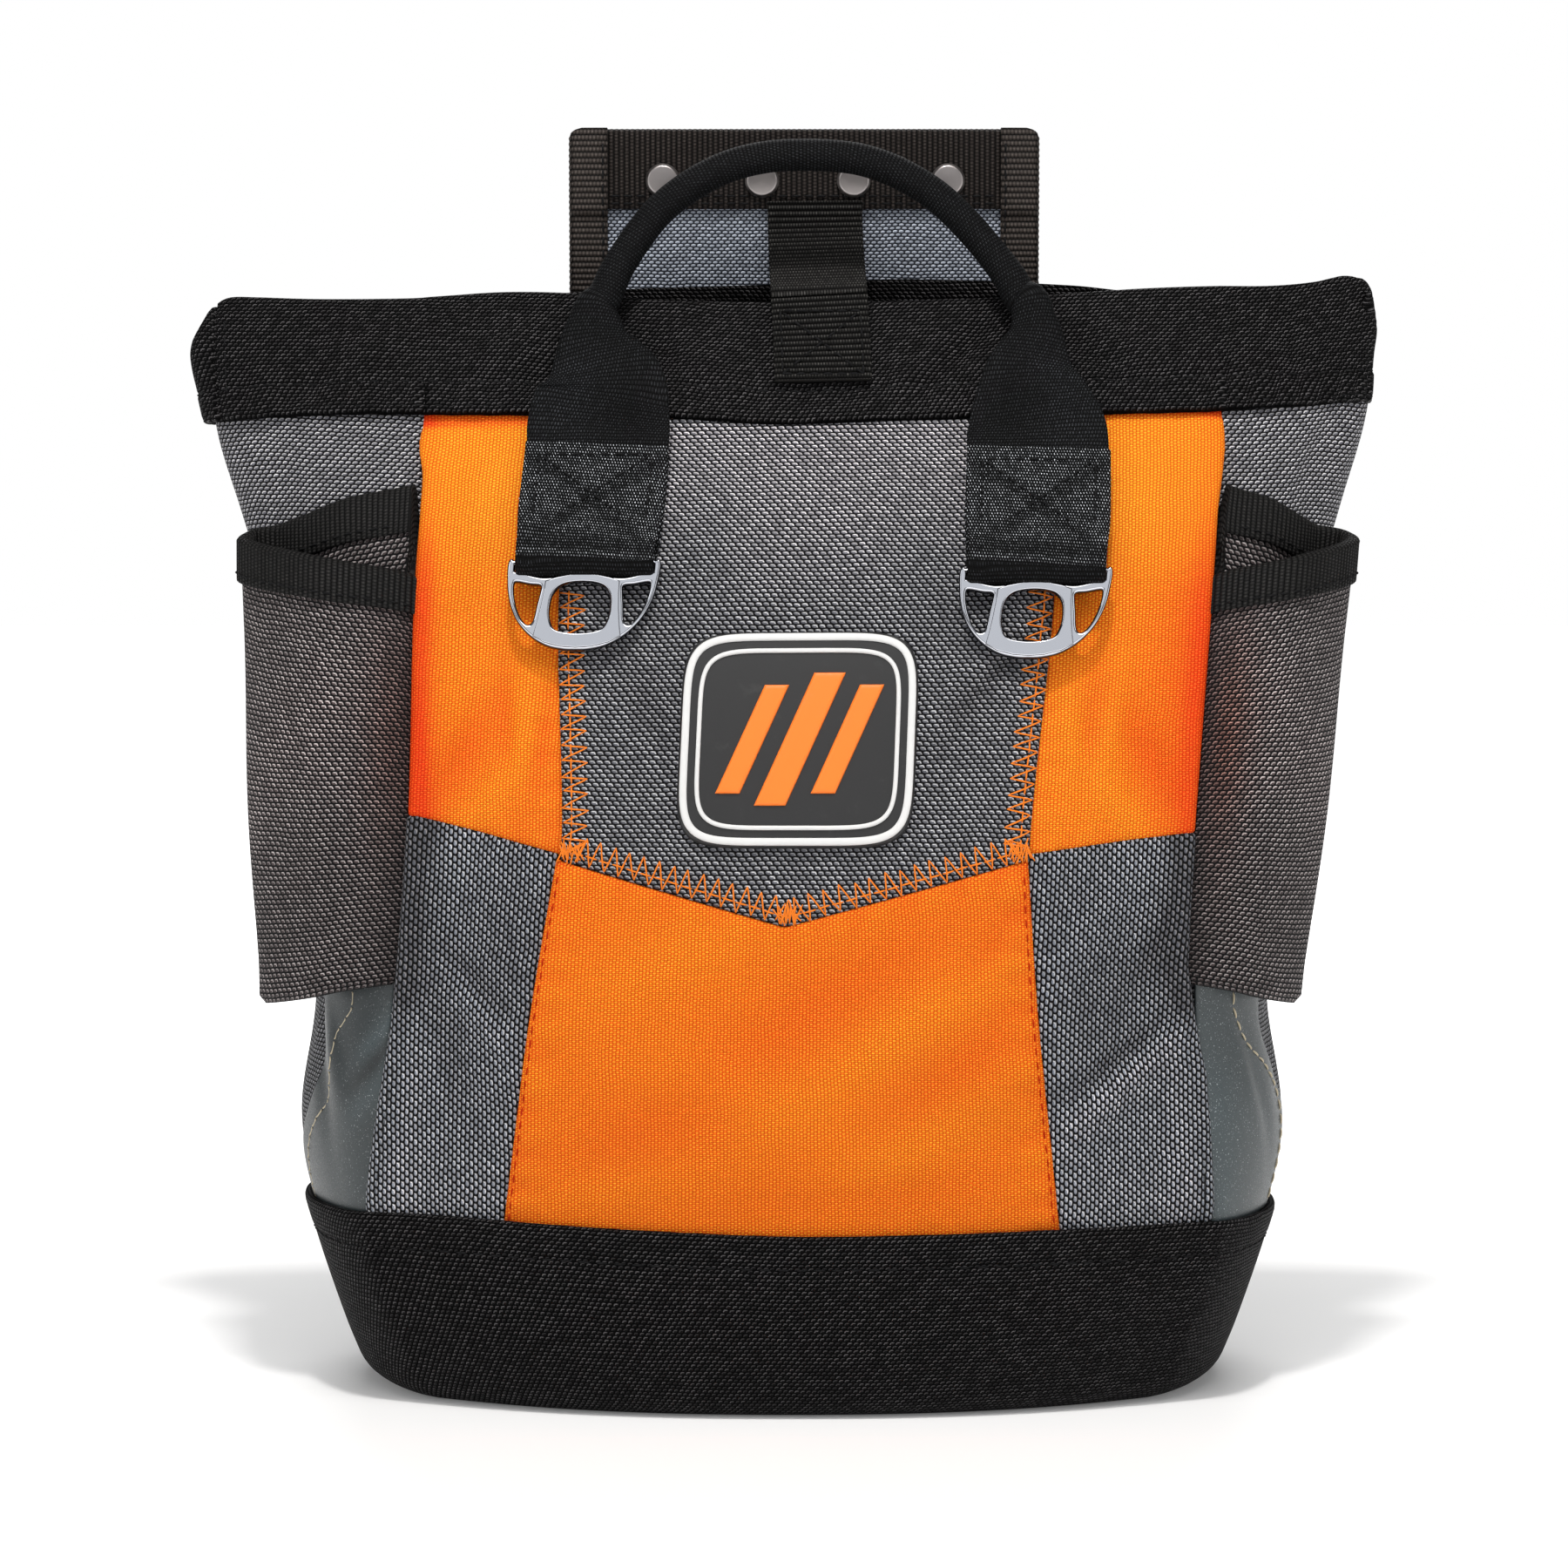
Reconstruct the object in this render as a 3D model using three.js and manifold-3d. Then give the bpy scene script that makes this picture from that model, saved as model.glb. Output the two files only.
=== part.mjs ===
// Tool pouch: a soft panelled bag with a boot, side pockets, a handle on two D-rings and a belt panel.
// Millimetres, +Z up, the front faces -Y, the wearer stands on the +Y side.
import * as THREE from 'three';
import { mergeVertices } from 'three/addons/utils/BufferGeometryUtils.js';
import Module from 'manifold-3d';

const wasm = await Module();
wasm.setup();

// Named sizes
const CLOTH = 1.6;            // thickness of a cloth wall
const SEAM = 0.4;             // gap left between neighbouring panels
const BAND = { low: 253, top: 285, rise: 3.6, inner: 0.9, outer: 2.7 };
const BOOT = { top: 45.5, bow: 3, inner: 1.2, outer: 3, floor: 2.2, round: 6, cornerRound: 15 };
const WEB = { wide: 37, thick: 1.6 };            // handle webbing, laid flat
const HANDLE = { apart: 56.5, arch: 55, foot: 286, apex: 320.8, tube: 8.4, lean: 9 };
const RING = { axis: 216.2, settle: 2.6, wide: 38.6, thick: 3, bar: 1.2, cross: 4.3, low: 22.6, clear: 2.25 };
const TAB = { top: 247.3, sewn: 230, under: 1.4, narrow: 31.6 };
const STRAP = { x: 7, wide: 25.4, thick: 1.7, end: 262.6 };
const PANEL = { x: 3.4, wide: 125, top: 333, low: 150, bare: 104.8, band: 21.5, stand: 287, off: 5.4, hug: 2 };
const LOOP = { wide: 101, bulge: 15, low: 152 };
const RIVET = { cap: 4.2, shank: 1.9, hole: 2.3, z: 319, step: 25.4 };
const BADGE = { x: -2.4, z: 173, halfWide: 30, halfTall: 27, thick: 2.2 };
const POCKET = { low: 110.3, foldLow: 103.3, wall: 1.6, tape: 11, tapeThick: 1 };
const LEAN = 0.016;           // the mouth climbs a little towards the right-hand end

// Body sections from the underside to the mouth
// z height, cx sideways drift of the front panel, hw half width between the front seams, yf depth of those seams,
// crown bulge of the front beyond its seams, side half width over the gussets, hb and yb the same for the back seams
const SECTIONS = [
  { z: 0, cx: 0, hw: 92, yf: 40, crown: 20, side: 110.5, hb: 92, yb: 47 },
  { z: 18, cx: 0, hw: 99, yf: 45, crown: 20, side: 117.5, hb: 99, yb: 51 },
  { z: 46, cx: 0, hw: 107, yf: 49, crown: 18, side: 126, hb: 106, yb: 54 },
  { z: 71, cx: 0.2, hw: 105.5, yf: 52, crown: 17, side: 130, hb: 104, yb: 55.5 },
  { z: 105, cx: 0.6, hw: 102, yf: 53.5, crown: 14.5, side: 128, hb: 102, yb: 55 },
  { z: 150, cx: 2.9, hw: 100.5, yf: 52, crown: 11.5, side: 132.5, hb: 101, yb: 50 },
  { z: 208, cx: 5.5, hw: 102, yf: 42.5, crown: 7, side: 141, hb: 102, yb: 38.5 },
  { z: 232, cx: 7, hw: 102.5, yf: 33, crown: 4.5, side: 147, hb: 103, yb: 30.5 },
  { z: 254, cx: 8, hw: 103, yf: 20.5, crown: 2.5, side: 153, hb: 104, yb: 22.5 },
  { z: 285, cx: 8.3, hw: 104, yf: 5.5, crown: 0.6, side: 156.5, hb: 104, yb: 12.5 },
  { z: 296, cx: 8.3, hw: 104, yf: 3, crown: 0.3, side: 156, hb: 104, yb: 11 },
];

// Soft dents in the front: x from the panel centre, z height, rx and rz reach, deep how far it sinks
const FRONT_DENTS = [
  { x: -94, z: 112, rx: 15, rz: 24, deep: 3.4 },
  { x: 95, z: 92, rx: 17, rz: 30, deep: 3.8 },
  { x: 62, z: 74, rx: 26, rz: 12, deep: 1.8 },
  { x: -57, z: 186, rx: 9, rz: 20, deep: 1.6 },
  { x: 57, z: 184, rx: 9, rz: 20, deep: 1.6 },
  { x: 0, z: 246, rx: 34, rz: 12, deep: 1.4 },
];
// Folds of the gussets: t from the front seam to the back seam, z height, rt and rz reach, deep
const SIDE_DENTS = [
  { t: 0.22, z: 236, rt: 0.09, rz: 20, deep: 3 },
  { t: 0.5, z: 170, rt: 0.16, rz: 60, deep: 3.5 },
  { t: 0.3, z: 92, rt: 0.1, rz: 16, deep: 1.8 },
];

// Small maths
const clamp = (v, a, b) => Math.min(b, Math.max(a, v));
const lerp = (a, b, t) => a + (b - a) * t;
const smooth = (a, b, v) => {
  const t = clamp((v - a) / (b - a), 0, 1);
  return t * t * (3 - 2 * t);
};
const bump = (d) => Math.exp(-d * d);
const vec = (x, y, z) => new THREE.Vector3(x, y, z);

// The columns of a table at a height, drawn smoothly through its rows
function rowAt(rows, z) {
  const last = rows.length - 1;
  let i = 0;
  while (i < last - 1 && z > rows[i + 1].z) i += 1;
  const [a, b] = [rows[i], rows[i + 1]];
  const [before, after] = [rows[Math.max(i - 1, 0)], rows[Math.min(i + 2, last)]];
  const step = b.z - a.z;
  const t = clamp((z - a.z) / step, 0, 1);
  const row = {};
  for (const key of Object.keys(a)) {
    const slopeA = ((b[key] - before[key]) / (b.z - before.z)) * step;
    const slopeB = ((after[key] - a[key]) / (after.z - a.z)) * step;
    const t2 = t * t;
    const t3 = t2 * t;
    row[key] = (2 * t3 - 3 * t2 + 1) * a[key] + (t3 - 2 * t2 + t) * slopeA
      + (-2 * t3 + 3 * t2) * b[key] + (t3 - t2) * slopeB;
  }
  row.z = z;
  return row;
}
const section = (z) => rowAt(SECTIONS, z);
const leaned = (p) => p.setZ(p.z + LEAN * p.x * smooth(140, 285, p.z));

// The three faces of the soft body
function front(x, z) {
  const s = section(z);
  const u = clamp((x - s.cx) / s.hw, -1, 1);
  let y = -(s.yf + s.crown * (1 - Math.abs(u) ** 2.4));
  for (const d of FRONT_DENTS) y += d.deep * bump((x - s.cx - d.x) / d.rx) * bump((z - d.z) / d.rz);
  return leaned(vec(s.cx + u * s.hw, y, z));
}
function gusset(side, t, z) {
  const s = section(z);
  const seam = lerp(side * s.hw + s.cx, side * s.hb, t);
  const swell = Math.max(4 * t * (1 - t), 0) ** 0.75;
  let x = seam + (side * s.side - seam) * swell;
  for (const d of SIDE_DENTS) x -= side * d.deep * swell * bump((t - d.t) / d.rt) * bump((z - d.z) / d.rz);
  let y = lerp(-s.yf, s.yb, t);
  for (const d of FRONT_DENTS) {
    if (d.x * side > 80) y += d.deep * bump((s.hw - Math.abs(d.x)) / d.rx) * bump((z - d.z) / d.rz) * (1 - t) ** 6;
  }
  return leaned(vec(x, y, z));
}
function back(x, z) {
  const s = section(z);
  const u = clamp(x / s.hb, -1, 1);
  return leaned(vec(u * s.hb, s.yb + 3 * (1 - u * u) * smooth(290, 200, z), z));
}
// Once round the body: w 0..1 front from left to right, 1..2 right gusset, 2..3 back, 3..4 left gusset
const ease = (v) => 0.5 - 0.5 * Math.cos(Math.PI * v);
function around(w, z) {
  const s = section(z);
  const v = ((w % 4) + 4) % 4;
  if (v <= 1) return front(s.cx + (2 * v - 1) * s.hw, z);
  if (v <= 2) return gusset(1, ease(v - 1), z);
  if (v <= 3) return back((5 - 2 * v) * s.hb, z);
  return gusset(-1, ease(4 - v), z);
}

// A closed mesh from points and faces, wound outwards
function solid(points, faces) {
  let volume = 0;
  for (const [a, b, c] of faces) volume += points[a].dot(points[b].clone().cross(points[c]));
  const index = faces.flatMap(([a, b, c]) => (volume < 0 ? [a, c, b] : [a, b, c]));
  const geometry = new THREE.BufferGeometry();
  geometry.setAttribute('position', new THREE.Float32BufferAttribute(points.flatMap((p) => p.toArray()), 3));
  geometry.setIndex(index);
  geometry.computeVertexNormals();
  return geometry;
}

// A cloth sheet laid on a surface: at(p, q) gives the surface, inner and outer the offsets along its normal
function sheet(cols, rows, at, inner, outer, reach = 0.01) {
  const points = [];
  const faces = [];
  const normal = (p, q) => {
    const du = at(p + reach, q).sub(at(p - reach, q));
    const dv = at(p, q + reach).sub(at(p, q - reach));
    return du.cross(dv).normalize();
  };
  for (const off of [outer, inner]) {
    for (let j = 0; j <= rows; j += 1) {
      for (let i = 0; i <= cols; i += 1) {
        points.push(at(i / cols, j / rows).addScaledVector(normal(i / cols, j / rows), off));
      }
    }
  }
  const n = (cols + 1) * (rows + 1);
  const id = (i, j) => j * (cols + 1) + i;
  for (let j = 0; j < rows; j += 1) {
    for (let i = 0; i < cols; i += 1) {
      const [a, b, c, d] = [id(i, j), id(i + 1, j), id(i + 1, j + 1), id(i, j + 1)];
      faces.push([a, b, c], [a, c, d], [n + a, n + c, n + b], [n + a, n + d, n + c]);
    }
  }
  const rim = (a, b) => faces.push([a, n + a, n + b], [a, n + b, b]);
  for (let i = 0; i < cols; i += 1) {
    rim(id(i, 0), id(i + 1, 0));
    rim(id(i + 1, rows), id(i, rows));
  }
  for (let j = 0; j < rows; j += 1) {
    rim(id(0, j + 1), id(0, j));
    rim(id(cols, j), id(cols, j + 1));
  }
  return solid(points, faces);
}

// A skin through loops of equal count; the ends are closed by fans, or joined to each other for a ring
function skin(loops, joined = false) {
  const m = loops[0].length;
  const points = loops.flat();
  const faces = [];
  const bands = joined ? loops.length : loops.length - 1;
  for (let k = 0; k < bands; k += 1) {
    const next = (k + 1) % loops.length;
    for (let i = 0; i < m; i += 1) {
      const j = (i + 1) % m;
      faces.push([k * m + i, k * m + j, next * m + j], [k * m + i, next * m + j, next * m + i]);
    }
  }
  if (!joined) {
    for (const [k, turn] of [[0, 1], [loops.length - 1, 0]]) {
      const middle = loops[k].reduce((sum, p) => sum.add(p), vec(0, 0, 0)).divideScalar(m);
      points.push(middle);
      const hub = points.length - 1;
      for (let i = 0; i < m; i += 1) {
        const j = (i + 1) % m;
        faces.push(turn ? [hub, k * m + j, k * m + i] : [hub, k * m + i, k * m + j]);
      }
    }
  }
  return solid(points, faces);
}

// A flat strip along stations {p centre, across, out, wide, thick}
function strip(stations) {
  return skin(stations.map((s) => [[-1, -1], [1, -1], [1, 1], [-1, 1]].map(([i, j]) => s.p.clone()
    .addScaledVector(s.across, (i * s.wide) / 2).addScaledVector(s.out, (j * s.thick) / 2))));
}

// Cutting one closed mesh from another
function toManifold(geometry) {
  const g = geometry.clone();
  g.deleteAttribute('normal');
  g.deleteAttribute('uv');
  const m = mergeVertices(g, 1e-4);
  const mesh = new wasm.Mesh({
    numProp: 3,
    vertProperties: new Float32Array(m.attributes.position.array),
    triVerts: new Uint32Array(m.index.array),
  });
  return new wasm.Manifold(mesh);
}
function cut(geometry, tools) {
  let body = toManifold(geometry);
  for (const tool of tools) body = body.subtract(toManifold(tool));
  const mesh = body.getMesh();
  const out = new THREE.BufferGeometry();
  out.setAttribute('position', new THREE.Float32BufferAttribute(mesh.vertProperties, 3));
  out.setIndex(Array.from(mesh.triVerts));
  out.computeVertexNormals();
  return out;
}

// Materials, one slot each
const cloth = (name, color, roughness, metalness = 0) => {
  const m = new THREE.MeshStandardMaterial({ color, roughness, metalness });
  m.name = name;
  return m;
};
const LOOKS = {
  grey: cloth('grey_cloth', 0x3c3e40, 0.85),
  orange: cloth('orange_cloth', 0xf4701a, 0.7),
  black: cloth('black_cloth', 0x1b1b1d, 0.85),
  webbing: cloth('black_webbing', 0x161617, 0.8),
  silver: cloth('silver_cloth', 0x6b7678, 0.45),
  blue: cloth('blue_grey_cloth', 0x67748a, 0.85),
  chrome: cloth('chrome', 0xdadcde, 0.12, 1),
  nickel: cloth('nickel', 0xb9b4a8, 0.25, 1),
  rubber: cloth('badge_rubber', 0x202123, 0.6),
};
const part = new THREE.Group();
part.name = 'tool_pouch';
function add(name, geometry, look) {
  const mesh = new THREE.Mesh(geometry, look);
  mesh.name = name;
  part.add(mesh);
}

// Seams of the front, as x from the panel centre at a height, or heights at a place
const YOKE = {
  left: (z) => lerp(-60.2, -64.4, smooth(140, 215, z)),
  right: (z) => lerp(56.6, 60.8, smooth(140, 215, z)),
  point: { x: -3, z: 127 },
  corner: { left: 143.6, right: 143.6 },
};
const STRIP_FOOT = { left: 153.2, right: 148.8 };          // where the strips end at the outer seams
const LOWER = { left: [-72.8, -61.6], right: [67.4, 56.6] };  // lower centre panel, half widths at bottom and top
const PANEL_FOOT = 38;                                     // panels tuck behind the boot down to here
const PANEL_HEAD = 280;                                    // and behind the band up to here

// A four-sided panel of the front: left(q), right(q) give x from the panel centre, low(p), high(p) give z
function frontPanel(cols, rows, edges, inner, outer) {
  const at = (p, q) => {
    const z = lerp(edges.low(p), edges.high(p), q);
    const x = lerp(edges.left(z), edges.right(z), p);
    return front(x + section(z).cx, z);
  };
  return sheet(cols, rows, at, inner, outer);
}
const g = SEAM / 2;
const yokeLow = (p) => {
  const x = lerp(YOKE.left(143), YOKE.right(143), p);
  const side = x < YOKE.point.x ? 'left' : 'right';
  const far = YOKE[side](143);
  return lerp(YOKE.point.z, YOKE.corner[side], (x - YOKE.point.x) / (far - YOKE.point.x));
};
const outerSeam = (side) => (z) => side * (section(z).hw - 0.6);
const high = () => PANEL_HEAD;

add('front_yoke', frontPanel(10, 10, {
  left: (z) => YOKE.left(z) + g, right: (z) => YOKE.right(z) - g, low: (p) => yokeLow(p) + g, high,
}, -CLOTH, 0.4), LOOKS.grey);
add('front_strip_left', frontPanel(4, 10, {
  left: outerSeam(-1), right: (z) => YOKE.left(z) - g, low: (p) => lerp(STRIP_FOOT.left, YOKE.corner.left, p) + g, high,
}, -CLOTH, 0), LOOKS.orange);
add('front_strip_right', frontPanel(4, 10, {
  left: (z) => YOKE.right(z) + g, right: outerSeam(1), low: (p) => lerp(YOKE.corner.right, STRIP_FOOT.right, p) + g, high,
}, -CLOTH, 0), LOOKS.orange);
const lowerEdge = (side) => (z) => lerp(LOWER[side][0], LOWER[side][1], (z - 50) / 93);
add('front_lower_centre', frontPanel(10, 8, {
  left: (z) => lowerEdge('left')(z) + g,
  right: (z) => lowerEdge('right')(z) - g,
  low: () => PANEL_FOOT,
  high: (p) => yokeLow(clamp((p - 0.01) / 0.98, 0, 1)) - g,
}, -CLOTH, 0), LOOKS.orange);
add('front_lower_left', frontPanel(4, 9, {
  left: outerSeam(-1),
  right: (z) => lowerEdge('left')(z) - g,
  low: () => PANEL_FOOT,
  high: (p) => lerp(STRIP_FOOT.left, YOKE.corner.left, p) - g,
}, -CLOTH, 0.2), LOOKS.grey);
add('front_lower_right', frontPanel(4, 9, {
  left: (z) => lowerEdge('right')(z) + g,
  right: outerSeam(1),
  low: () => PANEL_FOOT,
  high: (p) => lerp(YOKE.corner.right, STRIP_FOOT.right, p) - g,
}, -CLOTH, 0.2), LOOKS.grey);

// Gussets and the silver strips on them
for (const [side, label] of [[-1, 'left'], [1, 'right']]) {
  const walk = (t, z) => (side > 0 ? around(1 + t, z) : around(4 - t, z));
  const on = (t0, t1, z0, z1, outerDrop = 0) => (p, q) => {
    const share = side > 0 ? p : 1 - p;
    return walk(lerp(t0, t1, share), lerp(z0, z1 - outerDrop * smooth(0.1, 0.5, share), q));
  };
  add(`side_gusset_${label}`, sheet(10, 12, on(0.014, 0.986, PANEL_FOOT, PANEL_HEAD), -CLOTH, 0, 0.012), LOOKS.grey);
  add(`reflective_strip_${label}`, sheet(3, 6, on(0.064, 0.3, 49.5, POCKET.low - 0.9, 7.4), 0.5, 1.1, 0.03), LOOKS.silver);
}
add('back_panel', sheet(6, 11, (p, q) => {
  const z = lerp(PANEL_FOOT, PANEL_HEAD, q);
  return back(lerp(1, -1, p) * (section(z).hb - 0.6), z);
}, -CLOTH, 0), LOOKS.grey);

// The boot: a bowl that takes the lower edges of the panels inside it
{
  const count = 56;
  // The underside turns up gently at the middle of the front and back, and more at the corners and sides
  const turnUp = (w) => {
    const v = ((w % 2) + 2) % 2;
    const middle = Math.max(0, 1 - Math.abs(v - 0.5) / 0.62);
    return lerp(BOOT.cornerRound, BOOT.round, smooth(0, 1, middle));
  };
  const ring = (height, off, { tall = false, drop = 0 } = {}) => Array.from({ length: count }, (_, i) => {
    const w = (i * 4) / count + 0.5;
    const bow = BOOT.bow * Math.max(0, 1 - Math.abs(((w % 4) - 0.5) * 1.6)) ** 0.6;
    const z = tall ? height + bow : height;
    const e = 0.05;
    const along = around(w + e, z).sub(around(w - e, z));
    const out = vec(along.y, -along.x, 0).normalize();
    const r = turnUp(w);
    const inset = r - Math.sqrt(Math.max(0, r ** 2 - Math.max(0, r - (height - drop)) ** 2));
    const p = around(w, z).addScaledVector(out, off - inset * (drop ? 1.04 : 1));
    p.z = z;
    return p;
  });
  const outside = [0, 1.4, 5, 13, 30].map((z) => ring(z, BOOT.outer));
  const inside = [34, 14, 6, BOOT.floor].map((z) => ring(z, BOOT.inner, { drop: BOOT.floor }));
  add('base_boot', skin([
    ...outside, ring(BOOT.top, BOOT.outer, { tall: true }), ring(BOOT.top, BOOT.inner, { tall: true }), ...inside,
  ]), LOOKS.black);
}

// The bands round the mouth and the folded ends that join them
const bandSheet = (cols, w0, w1, low, top, reach) => sheet(cols, 3, (p, q) => {
  return around(lerp(w0, w1, p), lerp(low, top, q));
}, BAND.inner, BAND.outer, reach);
const END = 0.4;
add('top_band_front', bandSheet(24, -END, 1 + END, BAND.low, BAND.top, 0.03), LOOKS.black);
add('top_band_back', bandSheet(24, 2 - END, 3 + END, BAND.low, BAND.top + BAND.rise, 0.03), LOOKS.black);
add('top_band_end_right', bandSheet(6, 1 + END + 0.008, 2 - END - 0.008, BAND.low, BAND.top, 0.05), LOOKS.black);
add('top_band_end_left', bandSheet(6, 3 + END + 0.008, 4 - END - 0.008, BAND.low, BAND.top, 0.05), LOOKS.black);

// Pocket sleeves beside the front seams, and the tape over their rims
// fold x of the outer fold, back its setback behind the seam, swell of the front wall, at the bottom (f 0) and rim (f 1)
const SLEEVES = {
  left: { side: -1, foldLow: 137.4, foldTop: 142.2 },
  right: { side: 1, foldLow: 133.5, foldTop: 146.6 },
};
// Height of the rim against the way round the sleeve: at share of the loop, z height
const RIM = [
  { at: 0, z: 214.5 }, { at: 0.4, z: 222 }, { at: 0.52, z: 226 }, { at: 0.88, z: 235.5 }, { at: 0.94, z: 234 }, { at: 1, z: 214.5 },
];
function rimHeight(t) {
  let i = 0;
  while (i < RIM.length - 2 && t > RIM[i + 1].at) i += 1;
  return lerp(RIM[i].z, RIM[i + 1].z, smooth(RIM[i].at, RIM[i + 1].at, t));
}
function sleevePoint(s, t, f, drop) {
  const droop = smooth(0, 0.34, t) * smooth(1, 0.62, t);      // the bottom hangs lower at the outer fold
  const z = lerp(lerp(POCKET.low, POCKET.foldLow, droop), rimHeight(t) - drop, f);
  const gap = lerp(2.5, 2.9, smooth(0.2, 0.9, f));
  const lift = (u, out) => {
    const p = gusset(s.side, u, z);
    const along = gusset(s.side, u + 0.02, z).sub(gusset(s.side, Math.max(u - 0.02, 0), z));
    return p.addScaledVector(vec(along.y * s.side, -along.x * s.side, 0).normalize(), out);
  };
  const base = gusset(s.side, 0, z);
  const seam = vec(base.x - s.side * 0.2, base.y - gap - 1, z);
  const foldX = s.side * lerp(s.foldLow, s.foldTop, f);
  const foldY = seam.y + lerp(20, 15, f);
  const middle = vec(lerp(seam.x, foldX, 0.52), lerp(seam.y, foldY, 0.42) - lerp(5, 10.5, f), z);
  const loop = [
    seam, middle, vec(foldX, foldY, z), vec(foldX - s.side * 1.8, foldY + lerp(9, 5, f), z),
    lift(lerp(0.32, 0.21, f), gap + 0.8), lift(lerp(0.2, 0.14, f), gap), lift(0.07, gap),
  ];
  const curve = new THREE.CatmullRomCurve3(loop.map((p) => vec(p.x, p.y, 0)), true, 'centripetal');
  const p = curve.getPoint(t);
  const q = curve.getTangent(t);
  return { p: vec(p.x, p.y, z), out: vec(q.y, -q.x, 0).multiplyScalar(s.side).normalize() };
}
for (const [label, s] of Object.entries(SLEEVES)) {
  const count = 26;
  const loop = (f, off, drop, rise = 0) => Array.from({ length: count }, (_, i) => {
    const { p, out } = sleevePoint(s, i / count, f, drop);
    return p.addScaledVector(out, off).setZ(p.z + rise);
  });
  const half = POCKET.wall / 2;
  const low = 1 - POCKET.tape / (224 - POCKET.low);
  const heights = [0, 0.25, 0.55, 0.78, low, 1];
  add(`pocket_${label}`, skin([
    ...heights.map((f) => loop(f, half, 1.3)),
    ...heights.slice().reverse().map((f) => loop(f, -half, 1.3, f === 0 ? POCKET.wall : 0)),
  ]), LOOKS.grey);
  const [near, far] = [half + 0.35, half + 0.35 + POCKET.tapeThick];
  add(`pocket_binding_${label}`, skin([
    loop(low, far, 0), loop(1, far, 0), loop(1, -far, 0), loop(low, -far, 0),
    loop(low, -near, 0), loop(1, -near, 1), loop(1, near, 1), loop(low, near, 0),
  ], true), LOOKS.webbing);
}

// A point off the front at a distance from the panel centre line, with its frame
function offFront(x, z, off) {
  const cx = section(z).cx;
  const e = 1;
  const p = front(x + cx, z);
  const across = front(x + cx + e, z).sub(front(x + cx - e, z)).normalize();
  const up = front(x + section(z + e).cx, z + e).sub(front(x + section(z - e).cx, z - e)).normalize();
  const out = across.clone().cross(up).normalize();
  return { p: p.addScaledVector(out, off), across, up, out };
}

// D-rings, their webbing tabs and the handle ends between the tabs' layers
const TAB_MID = TAB.under + WEB.thick / 2;
const AXIS_OFF = TAB.under + WEB.thick + RING.clear;
const LEG_OFF = TAB.under + WEB.thick + 0.3 + WEB.thick / 2;
const FACE_OFF = LEG_OFF + WEB.thick + 0.3;
const hang = (side) => (side > 0 ? RING.settle : 0);   // the right-hand ring hangs a little lower
function ringFrame(side) {
  const f = offFront(side * HANDLE.apart, RING.axis - hang(side), AXIS_OFF);
  const out = vec(0, f.out.y, f.out.z).normalize();
  const across = vec(1, 0, 0);
  const down = out.clone().cross(across).normalize();
  if (down.z > 0) down.negate();
  return { p: f.p, across, out, down };
}
function ringTab(side) {
  const a = ringFrame(side);
  const radius = RING.clear + WEB.thick / 2;
  const stations = [];
  const put = (p, out, wide) => stations.push({ p, out, across: a.across, wide, thick: WEB.thick });
  for (const z of [TAB.top, 240, 233, 225]) {
    const f = offFront(side * HANDLE.apart, z - hang(side), TAB_MID);
    put(f.p, vec(0, f.out.y, f.out.z).normalize(), lerp(TAB.narrow, WEB.wide, smooth(219, 229, z)));
  }
  for (let k = 0; k <= 8; k += 1) {
    const turn = (k / 8) * Math.PI;
    const out = a.out.clone().multiplyScalar(Math.cos(turn)).addScaledVector(a.down, -Math.sin(turn));
    put(a.p.clone().addScaledVector(out, -radius), out, TAB.narrow);
  }
  for (const z of [221.5, 225.5, 233, 240, TAB.top]) {
    const puff = lerp(AXIS_OFF + radius, FACE_OFF, smooth(RING.axis, TAB.sewn, z));
    const f = offFront(side * HANDLE.apart, z - hang(side), puff);
    put(f.p, vec(0, -f.out.y, -f.out.z).normalize(), lerp(TAB.narrow, WEB.wide, smooth(219, 229, z)));
  }
  return strip(stations);
}
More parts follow.
